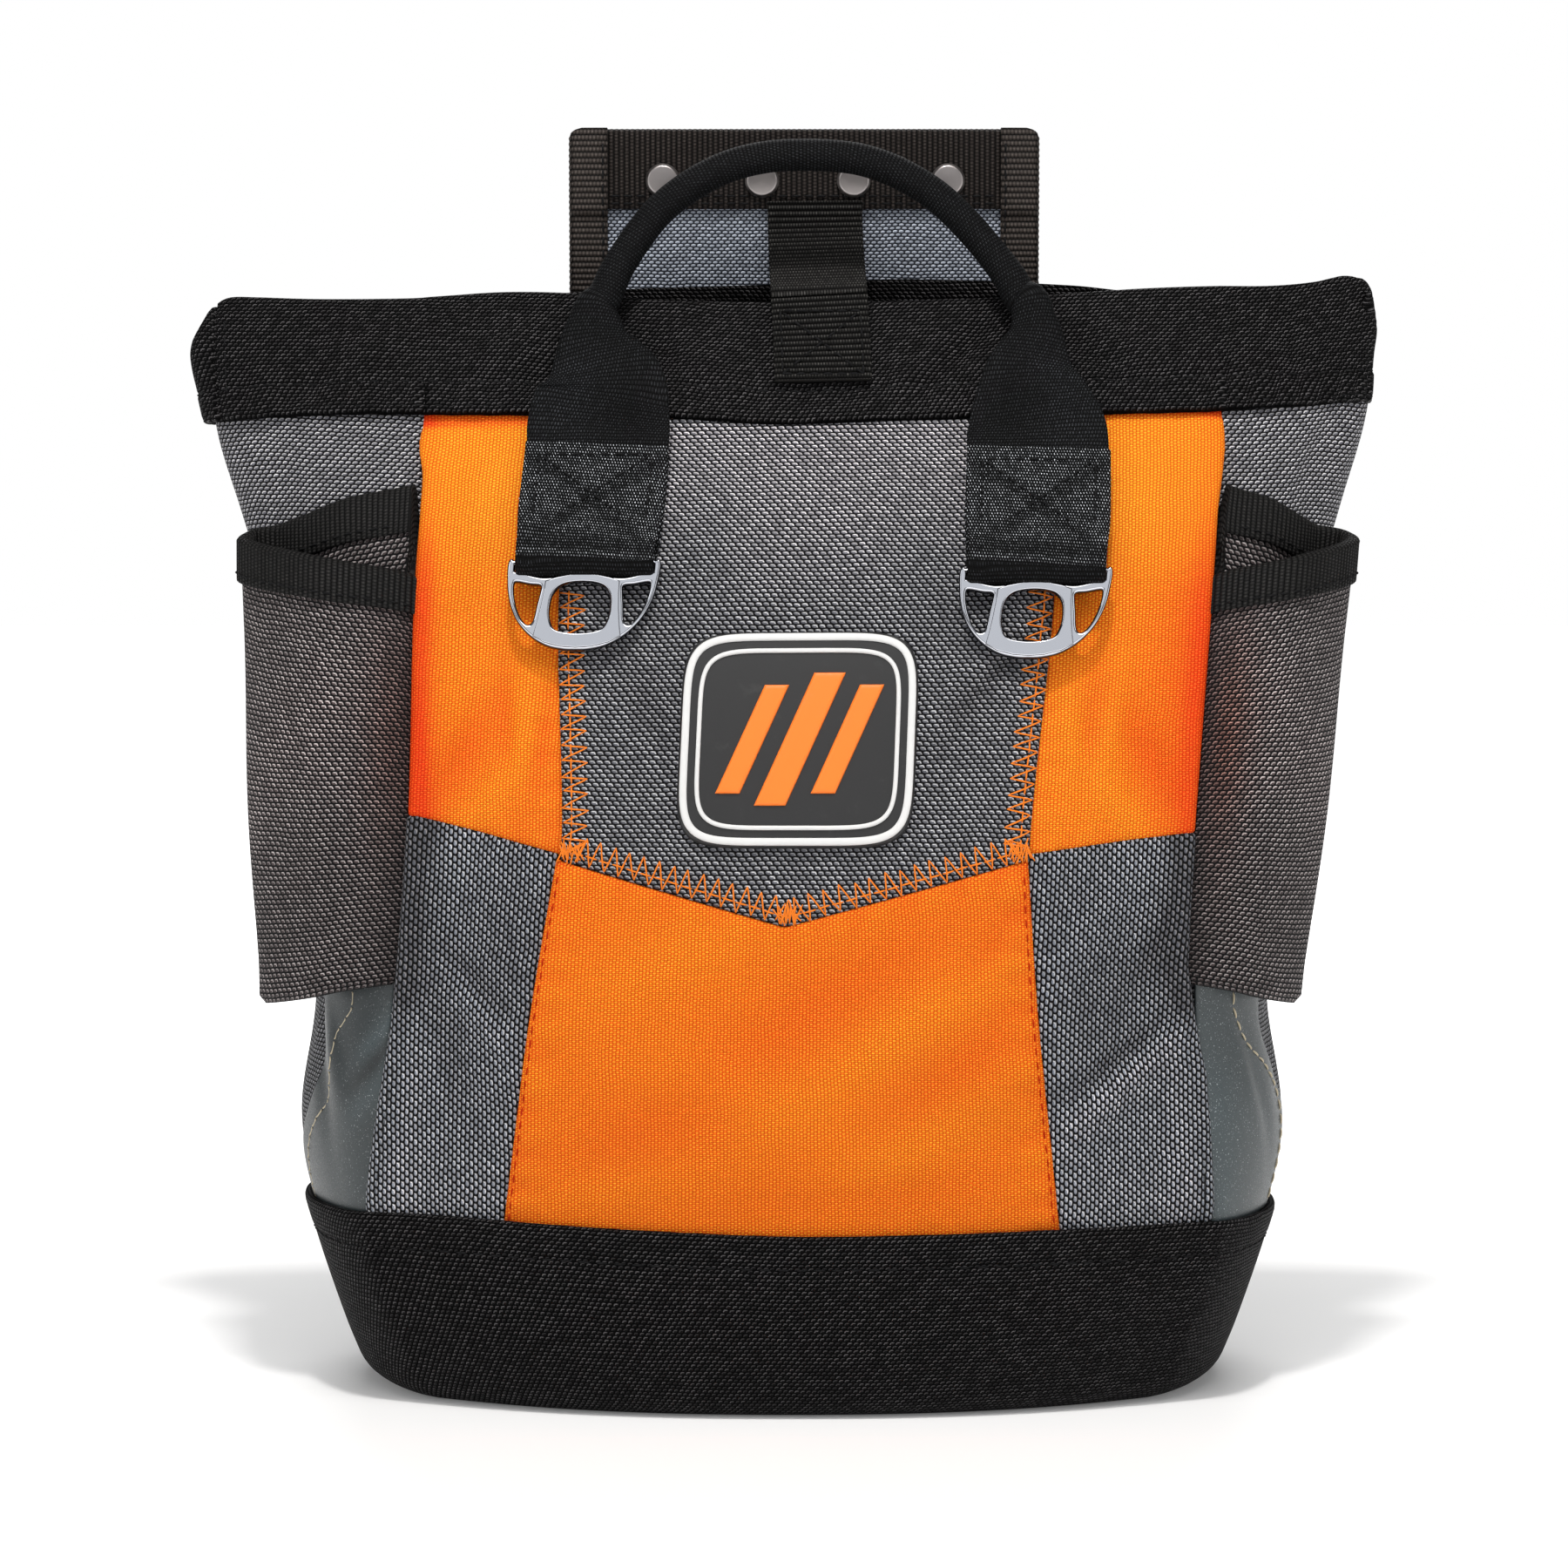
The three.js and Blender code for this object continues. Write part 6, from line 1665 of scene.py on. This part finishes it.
def edge_tape(side, label):
    """Tape folded over a side edge of the belt panel, its cross ribs raised."""
    wide = (PANEL["wide"] - PANEL["bare"]) / 2 - 0.3
    edge = PANEL["x"] + side * PANEL["wide"] / 2
    z = np.linspace(PANEL["low"], PANEL["top"], 460)
    y = panel_y(z)
    near, far, thick = y - TAPE_GAP, y + CLOTH + TAPE_GAP, EDGE_TAPE
    rib = 0.16 * np.cos((z / 1.54 - 0.5) * TAU)
    lap = band_lap(z)
    corner = 3.0 * (1 - np.sqrt(1 - np.clip((z - PANEL["top"] + 3) / 3, 0, 1) ** 2))
    profile = []
    for d in np.linspace(0, wide, 9)[::-1]:
        swell = 0.25 * math.sin(math.pi * d / wide)
        fade = 1 if 0.4 < d < wide - 0.2 else 0.3
        profile.append((np.full(z.shape, float(d)), near - thick - swell - lap - rib * fade))
    for a in np.linspace(0.3, math.pi - 0.3, 7):
        mid, half = (near - lap + far) / 2, (far - near + lap) / 2 + thick
        profile.append((0.9 - (1.5 + rib * 0.6) * math.sin(a) + 0 * z, mid - half * math.cos(a)))
    for d in np.linspace(0, wide, 7):
        profile.append((np.full(z.shape, float(d)), far + thick + rib * 0.6))
    for d, yy in ((wide, far), (thick + 0.2, far), (thick + 0.2, near), (wide, near)):
        profile.append((np.full(z.shape, float(d)), yy))
    loops = np.stack([stack(edge - side * np.minimum(d + corner, wide), yy, z) for d, yy in profile],
                     axis=1)
    name = f"belt_panel_binding_{label}"
    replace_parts(tube(name, loops, "tape", place=tape_places(loops, z)), name)


for side, label in SIDES:
    edge_tape(side, label)

LOOP_PATH = [(PANEL["top"] - 2, 0), (322, 0), (312, 0), (310, 0), (306, 1.2), (299, 5.5), (285, 12),
             (262, LOOP["bulge"]), (230, LOOP["bulge"]), (200, 10.5), (178, 5), (166, 1.2), (160, 0),
             (LOOP["low"], 0)]
rows = np.array([(0, float(panel_y(z)) + CLOTH + 0.3 + out + CLOTH / 2, z) for z, out in LOOP_PATH])
line = spaced(spline(rows, 200), 1.2)
p = ticks(50, LOOP["wide"], 1.0)[:, None]
points = line[None] + X_AXIS * (PANEL["x"] + (p[..., None] - 0.5) * LOOP["wide"])
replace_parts(cloth("belt_loop", points, -CLOTH / 2, CLOTH / 2, "black", 1.0), "belt_loop")


def top_tape():
    """Tape folded over the top of the panel and the loop behind it, ribbed up and down."""
    near, far = PANEL_FACE - TAPE_GAP, PANEL_FACE + 2 * (CLOTH + TAPE_GAP)
    thick, low, high = HEAD_TAPE, PANEL["top"] - PANEL["band"], PANEL["top"]
    x = np.linspace(-0.5, 0.5, 420) * (PANEL["bare"] + 8) + PANEL["x"]
    rib = 0.12 * np.cos((x / 1.4 - 0.5) * TAU)
    profile = [(near - thick - rib * 0.4, low + 0 * x), (near - thick - rib, low + 0.5 + 0 * x)]
    profile += [(near - thick - rib, z + 0 * x) for z in np.linspace(low + 3, high - 2.2, 7)]
    mid, half = (near + far) / 2, (far - near) / 2 + thick
    bend = 1.9
    profile += [(mid - (half + rib) * math.cos(a), high - bend + (bend + rib * 0.5) * math.sin(a))
                for a in np.linspace(0.25, math.pi - 0.25, 9)]
    profile += [(far + thick + rib, z + 0 * x) for z in np.linspace(high - 2.2, low, 6)]
    inner = ((far, low), (far, high - thick), (near, high - thick), (near, low))
    profile += [(y + 0 * x, z + 0 * x) for y, z in inner]
    loops = np.stack([stack(x, y, z) for y, z in profile], axis=1)
    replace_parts(tube("belt_panel_band", loops, "head_tape", place=tape_places(loops, x)),
                "belt_panel_band")
    return near - thick - TAPE_GAP, far + thick + TAPE_GAP


RIVET_NEAR, RIVET_FAR = top_tape()
RIVET_SHIFTS = (0.2, 1.4, 0.6, 0.4)
deep, cap, shank = RIVET_FAR - RIVET_NEAR, RIVET["cap"], RIVET["shank"]
# The turned outline of a rivet from the middle of its cap to that of its back plate: radius and depth
outline = [(0.01, -1.25), (cap - 1.1, -1.25), (cap - 0.75, -1.18), (cap - 0.5, -0.95), (cap - 0.35, -0.7),
           (cap - 0.1, -0.5), (cap, -0.3), (cap, -0.05), (cap - 0.1, 0), (shank, 0), (shank, deep),
           (3.4, deep), (3.3, deep + 0.4), (3.0, deep + 0.7), (0.01, deep + 0.7)]
for k, shift in enumerate(RIVET_SHIFTS):
    x = PANEL["x"] + shift + (k - 1.5) * RIVET["step"]
    turn = np.linspace(0, TAU, 48, endpoint=False)
    loops = np.array([stack(x + r * np.cos(turn), RIVET_NEAR + h, RIVET["z"] + r * np.sin(turn))
                      for r, h in outline])
    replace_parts(tube(f"rivet_{k + 1}", loops, "nickel"), f"rivet_{k + 1}")


# The pull strap over the mouth
def strap_on_band(z):
    p, _ = off_front(STRAP["x"] - section(z)["cx"], z, BAND["outer"] + 0.7 + STRAP["thick"] / 2)
    return [p[1], p[2]]


face_y = PANEL_FACE - TAPE_GAP - HEAD_TAPE - 0.4 - STRAP["thick"] / 2
route = [[face_y, 313.5], [face_y - 0.1, 308], [face_y - 3, 303], [face_y - 10, 296.6],
         [face_y - 18, 291.6], [face_y - 24, 288.8]]
route += [strap_on_band(z) for z in (285.2, 281, 275, 269, STRAP["end"])]
route = np.array([(STRAP["x"] + lerp(1.2, -0.7, smooth(262, 313, z)), y, z) for y, z in route])
p, out, wide = resample(route, np.tile([0.0, -1.0, 0.3], (len(route), 1)),
                        np.full(len(route), STRAP["wide"]), 0.24)
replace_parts(ribbon("pull_strap", (p, out), wide, STRAP["thick"], "strap", ribs=0.6, pitch=1.65),
            "pull_strap")


# The badge: a rounded rubber patch with a pale rim and slanted bars
# Each bar: place across, half length, half width
BADGE_BARS = ((-11.5, 13.5, 3.1), (0.5, 16.5, 4.0), (12.5, 13.5, 3.1))
BAR_SLANT = 0.42
BADGE_FACE = BADGE["seat"] + BADGE["thick"] - 0.3


def badge_place(a, b, half_wide, half_tall):
    power = BADGE["square"]
    far = np.maximum(np.maximum(np.abs(a), np.abs(b)), 1e-6)
    pull = far / (np.abs(a) ** power + np.abs(b) ** power + 1e-30) ** (1 / power)
    return BADGE["x"] + half_wide * a * pull, BADGE["z"] + half_tall * b * pull


def on_front(x, z):
    return front(x + section(z)["cx"], z, False)


def badge():
    a, b = ticks(60, 60, 1.0)[None] * 2 - 1, ticks(56, 54, 1.0)[:, None] * 2 - 1
    x, z = badge_place(a, b, BADGE["half_wide"], BADGE["half_tall"])
    points = on_front(x, z)
    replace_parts(cloth("badge", points, BADGE["seat"], BADGE["seat"] + BADGE["thick"], "rubber", 1.0),
                "badge")
    surface = facing(on_front)
    turn = np.linspace(0, TAU, 200, endpoint=False)
    for name, inset, wide in (("badge_rim", 1.6, 1.0), ("badge_inner_rim", 5.0, 0.6)):
        c, s = np.cos(turn), np.sin(turn)
        far = np.maximum(np.abs(c), np.abs(s))
        x, z = badge_place(c / far, s / far, BADGE["half_wide"] - inset, BADGE["half_tall"] - inset)
        p, out = surface(x, z)
        ahead = unit(np.roll(p, -1, 0) - np.roll(p, 1, 0))
        across = unit(np.cross(ahead, out))
        bead = ((-1, 0), (-0.92, 0.6), (-0.6, 0.85), (0, 0.9), (0.6, 0.85), (0.92, 0.6), (1, 0))
        loops = np.stack([p + across * (k * wide) + out * (BADGE_FACE + h) for k, h in bead], axis=1)
        tube(name, loops, "rim", joined=True)


badge()


def badge_bars():
    surface = facing(on_front)
    for k, (cx, half_long, half_wide) in enumerate(BADGE_BARS):
        a, b = ticks(14, 8, 0.7)[None] * 2 - 1, ticks(40, 34, 0.7)[:, None] * 2 - 1
        z = BADGE["z"] + b * half_long
        x = BADGE["x"] + cx + a * half_wide + b * half_long * BAR_SLANT
        points, _ = surface(x, z)
        cloth(f"badge_bar_{k + 1}", points, BADGE_FACE, BADGE_FACE + 1.05, "bars", 0.7)


badge_bars()


# Stitching
def on_panel(off):
    return raised(facing(lambda x, z: front(x + section(z)["cx"], z)), off)


def sew(name, surface, lines, look, length, gap, radius=0.28):
    """Straight stitching along several lines of surface places, as one piece."""
    parts = [stitches(surface, np.asarray(line, float), length, gap) for line in lines]
    return threads(name, np.concatenate([c for c, _ in parts]), np.concatenate([o for _, o in parts]),
                   look, radius)


def along_line(a, b):
    """A line of surface places; either of the two may stay the same all along it."""
    return np.stack(np.broadcast_arrays(a, b), -1)


def boxed_cross(half, low, high):
    """The lines of a sewn box with a cross in it."""
    box = [(-half, low), (half, low), (half, high), (-half, high)]
    sides = [straight(*box[k], *box[(k + 1) % 4]) for k in range(4)]
    return sides + [straight(*box[0], *box[2]), straight(*box[1], *box[3])]


def straight(a0, b0, a1, b1, count=60):
    return along_line(np.linspace(a0, a1, count), np.linspace(b0, b1, count))


def yoke_edge(step):
    """The yoke's sewn edge from ring to ring round its point, and the direction into the yoke."""
    z = np.linspace(211, YOKE_CORNER, 60)
    x = np.linspace(YOKE_LEFT_END, YOKE_RIGHT_END, 121)
    left = along_line(yoke_left(z), z)
    right = along_line(yoke_right(z[::-1]), z[::-1])
    line = spaced(np.concatenate([left, np.stack([x, yoke_foot(x)], -1)[1:-1], right]), step)
    ahead = unit(np.gradient(line, axis=0))
    window = np.ones(7) / 7
    ahead = np.stack([np.convolve(np.pad(ahead[:, k], 3, mode="edge"), window, mode="valid")
                      for k in (0, 1)], -1)
    return line, unit(np.stack([-ahead[:, 1], ahead[:, 0]], -1))


def yoke_stitching():
    rng = np.random.default_rng(7)
    step = 0.5
    line, inward = yoke_edge(step)
    far = run_length(line, 0)
    surface = on_panel(1.0)

    def at(s, d):
        x = np.interp(s, far, line[:, 0]) + np.interp(s, far, inward[:, 0]) * d
        z = np.interp(s, far, line[:, 1]) + np.interp(s, far, inward[:, 1]) * d
        return np.stack([x, z], -1)
    half = 1.95
    count = int(far[-1] / half)
    s = (np.arange(count + 1) * half + np.where(np.arange(count + 1) % 2, -0.55, 0.55)
         + rng.normal(0, 0.14, count + 1))
    d = np.where(np.arange(count + 1) % 2, 6.2, -0.5) + rng.normal(0, 0.18, count + 1)
    nodes = at(s, d)
    share = np.linspace(0, 1, 7)[None, :, None]
    legs = nodes[:-1, None] + (nodes[1:, None] - nodes[:-1, None]) * share
    clumps = []
    above_corner = np.abs(line[:, 1] - YOKE_CORNER)
    for nearest, deep in ((np.argmin(np.abs(line[:, 0] - YOKE_LEFT_END) + above_corner), 2.0),
                          (np.argmin(np.abs(line[:, 0] - YOKE_RIGHT_END) + above_corner), 2.0),
                          (np.argmin(line[:, 1]), 2.6)):
        centre = at(nearest * step, deep)
        for k in range(13):
            turn = rng.normal(math.pi / 2, 0.35)
            reach = rng.uniform(1.8, 2.9)
            mid = centre + np.array([(k - 6) * 0.42, rng.normal(0, 0.5)])
            tip = np.array([math.cos(turn), math.sin(turn)]) * reach
            clumps.append(mid + np.linspace(-1, 1, 7)[:, None] * tip)
    legs = np.concatenate([legs, np.array(clumps)])
    centre, out = surface(legs[..., 0], legs[..., 1])
    threads("yoke_zigzag", centre, out, "orange_thread", 0.22)
    s = np.linspace(0, far[-1], 400)
    sew("yoke_straight_stitch", surface, [at(s, 2.0)], "orange_thread", 3.1, 0.5, 0.22)


yoke_stitching()

z = np.linspace(47, 140, 120)
sew("centre_edge_stitch", on_panel(0.77),
    [along_line(lower_left(z) + 0.8, z), along_line(lower_right(z) - 1.0, z)], "red_thread", 2.2, 1.3,
    0.2)
BOOT_STITCH = 37.5
w = np.linspace(0, 4, 1500)
sew("boot_stitch", raised(facing(lambda w, h: boot_point(w, h, 2.85 + 0 * w), 0.004, 0.3), 0),
    [along_line(w, BOOT_STITCH)], "black_thread", 3.0, 1.6)
BAND_ROWS = (8.2, 1.7)
w = np.linspace(-END + 0.012, 1.47, 700)
on_band = raised(facing(band_face, 0.004), BAND["outer"] - 0.2)
lines = [along_line(w, band_foot(w) + up) for up in BAND_ROWS]
lines.append(along_line(-END + 0.03, np.linspace(259, 284, 40)))
sew("front_band_stitch", on_band, lines, "black_thread", 2.8, 1.3)
w = np.linspace(1.62, 3.58, 700)
lines = [along_line(w, band_foot(w) + up) for up in BAND_ROWS]
sew("back_band_stitch", on_band, lines, "black_thread", 2.8, 1.3)

TAPE_FACE = POCKET["wall"] / 2 + TAPE_GAP + POCKET["tape_thick"] + 0.02
STRIP_HEIGHTS = (52, 58, 68, 79, 87, 96, 103)
STRIP_ROWS = {"left": (0.92, 0.9, 0.86, 0.78, 0.79, 0.78, 0.6),
              "right": (0.93, 0.95, 0.96, 0.93, 0.86, 0.7, 0.6)}
for side, label in SIDES:
    def tab_face(across, height, side=side):
        p, _ = off_front(tab_x(side, height), height - hang(side), FACE_OFF + WEB["thick"] / 2 + 0.05)
        return p + X_AXIS * np.asarray(across, float)[..., None]
    lines = boxed_cross(TAB["box"], TAB["box_low"], TAB["box_high"])
    sew(f"ring_tab_stitch_{label}", facing(tab_face), lines, "black_thread", 2.6, 0.9, 0.32)

    def tape_face(t, f, label=label):
        p, out = sleeve(label, t, f, 0)
        return p + out * TAPE_FACE, out

    def tape_back(t, f, label=label):
        p, out = sleeve(label, t, f, 0)
        return p - out * TAPE_FACE, -out
    t = np.linspace(0.02, 0.94, 300)
    row = along_line(t, TAPE_FOOT + 0.018)
    sew(f"pocket_tape_stitch_{label}", tape_face, [row], "black_thread", 2.4, 1.0, 0.26)
    sew(f"pocket_tape_inner_stitch_{label}", tape_back, [row], "black_thread", 2.4, 1.0, 0.26)
    z = np.linspace(49.5, 108, 90)
    own = np.interp(z, STRIP_HEIGHTS, STRIP_ROWS[label])
    sew(f"reflective_strip_stitch_{label}",
        raised(facing(lambda share, z, side=side: gusset_walk(side, share, z), 0.004), 1.0 * side),
        [along_line(strip_share(own, z, side), z)], "cream_thread", 3.4, 0.6, 0.28)

strap_points, _, _ = resample(route[::-1], np.tile([0.0, -1.0, 0.3], (len(route), 1)),
                              np.full(len(route), 1.0), 0.5)
strap_run = run_length(strap_points, 0)


def strap_face(across, up):
    p = np.stack([np.interp(up, strap_run, strap_points[:, k]) for k in range(3)], -1)
    return p + X_AXIS * np.asarray(across, float)[..., None]


sew("pull_strap_stitch", raised(facing(strap_face), STRAP["thick"] / 2 + 0.02),
    boxed_cross(10.5, 1.6, 20.5), "black_thread", 2.6, 0.9, 0.3)


def panel_front(x, z):
    return stack(x, RIVET_NEAR - 0.05 + 0 * x, z)


half = PANEL["bare"] / 2 - 0.5
low = PANEL["top"] - PANEL["band"]
sew("belt_band_stitch", facing(panel_front),
    [straight(PANEL["x"] - half, low + z, PANEL["x"] + half, low + z, 120) for z in (1.4, 3.4)],
    "black_thread", 2.4, 1.0)


def tape_front(x, z):
    return stack(x, panel_y(z) - TAPE_GAP - EDGE_TAPE - 0.12 - band_lap(z), z)


reach = PANEL["bare"] / 2 + 1.5
sew("belt_tape_stitch", facing(tape_front),
    [straight(PANEL["x"] + side * reach, PANEL["low"] + 2, PANEL["x"] + side * reach, PANEL["top"] - 3,
              200) for side in (-1, 1)], "black_thread", 2.6, 1.0)

# Camera, light and floor
# The picture is 1800 pixels wide, and a millimetre of the pouch takes 4.3 of them
IMAGE = 1800
PIXELS_PER_MM = 4.3
SENSOR = 36.0
DISTANCE = 1150.0
ELEVATION = math.radians(4)
TARGET = Vector((-2.0, 5.12, 158.0)) * MM
camera_data = bpy.data.cameras.new("camera")
camera_data.sensor_width = SENSOR
camera_data.lens = SENSOR * PIXELS_PER_MM * DISTANCE / IMAGE
camera_data.clip_start, camera_data.clip_end = 0.05, 60
camera = bpy.data.objects.new("camera", camera_data)
bpy.context.scene.collection.objects.link(camera)
away = Vector((0, -math.cos(ELEVATION), math.sin(ELEVATION)))
camera.location = TARGET + away * DISTANCE * MM
camera.rotation_mode = "QUATERNION"
camera.rotation_quaternion = (-away).to_track_quat("-Z", "Y")
bpy.context.scene.camera = camera


def light(name, place, aim, size, power, color=(1, 1, 1)):
    data = bpy.data.lights.new(name, "AREA")
    data.shape = "RECTANGLE"
    data.size, data.size_y = size
    data.energy = power
    data.color = color
    lamp = bpy.data.objects.new(name, data)
    bpy.context.scene.collection.objects.link(lamp)
    lamp.location = place
    lamp.rotation_mode = "QUATERNION"
    lamp.rotation_quaternion = (Vector(aim) - Vector(place)).to_track_quat("-Z", "Y")


light("top_softbox", (0.05, -0.75, 1.45), (0, 0, 0.2), (1.1, 0.8), 9.5, (1.0, 0.98, 0.96))
light("top_lamp", (-0.02, -0.62, 1.6), (0, 0, 0.2), (0.12, 0.12), 12.5, (1.0, 0.98, 0.96))
light("front_softbox", (-0.2, -2.1, 1.15), (0, 0, 0.17), (2.6, 1.2), 6.5, (0.95, 0.97, 1.0))
light("left_softbox", (-1.3, -0.9, 0.7), (0, 0, 0.17), (0.5, 0.9), 3.5)
light("right_softbox", (1.3, -0.8, 0.6), (0, 0, 0.17), (0.5, 0.9), 3.0)
light("back_softbox", (0.0, 1.3, 1.1), (0, 0, 0.2), (1.2, 0.8), 12)

world = bpy.data.worlds.new("studio")
bpy.context.scene.world = world
world.use_nodes = True
sky = world.node_tree
room = sky.nodes["Background"]
room.inputs["Color"].default_value = rgb(1.0, 1.0, 1.0)
room.inputs["Strength"].default_value = 0.2
seen = put(sky, "ShaderNodeBackground", {"Color": rgb(1.0, 1.0, 1.0), "Strength": 1.0})
ray = put(sky, "ShaderNodeLightPath")
mixed = put(sky, "ShaderNodeMixShader",
            {0: ray.outputs["Is Camera Ray"], 1: room.outputs[0], 2: seen.outputs[0]})
sky.links.new(mixed.outputs[0], sky.nodes["World Output"].inputs["Surface"])

floor_mesh = bpy.data.meshes.new("floor")
far = 6.0
floor_mesh.from_pydata([(-far, -far, 0), (far, -far, 0), (far, far, 0), (-far, far, 0)], [],
                       [(0, 1, 2, 3)])
floor = bpy.data.objects.new("floor", floor_mesh)
bpy.context.scene.collection.objects.link(floor)
floor_look, _, floor_shader = material("pale_floor")
floor_shader.inputs["Base Color"].default_value = rgb(0.93, 0.93, 0.93)
floor_shader.inputs["Roughness"].default_value = 0.7
# Painted light: the floor glows, faintly near the pouch and strongly far off, so the far floor shows
# white
spot = put(floor_look.node_tree, "ShaderNodeTexCoord")
reach = put(floor_look.node_tree, "ShaderNodeVectorMath", {0: spot.outputs["Object"]}, operation="LENGTH")
glow = put(floor_look.node_tree, "ShaderNodeMapRange",
           {"Value": reach.outputs["Value"], "From Min": 0.15, "From Max": 1.0, "To Min": 0.1,
            "To Max": 0.9}, interpolation_type="SMOOTHSTEP")
floor_look.node_tree.links.new(glow.outputs[0], floor_shader.inputs["Emission Color"])
floor_shader.inputs["Emission Strength"].default_value = 1.0
floor_mesh.materials.append(floor_look)
floor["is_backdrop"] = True

settings = bpy.context.scene.view_settings
settings.view_transform = "Standard"
settings.look = "None"
settings.exposure = 0.0

low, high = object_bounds()
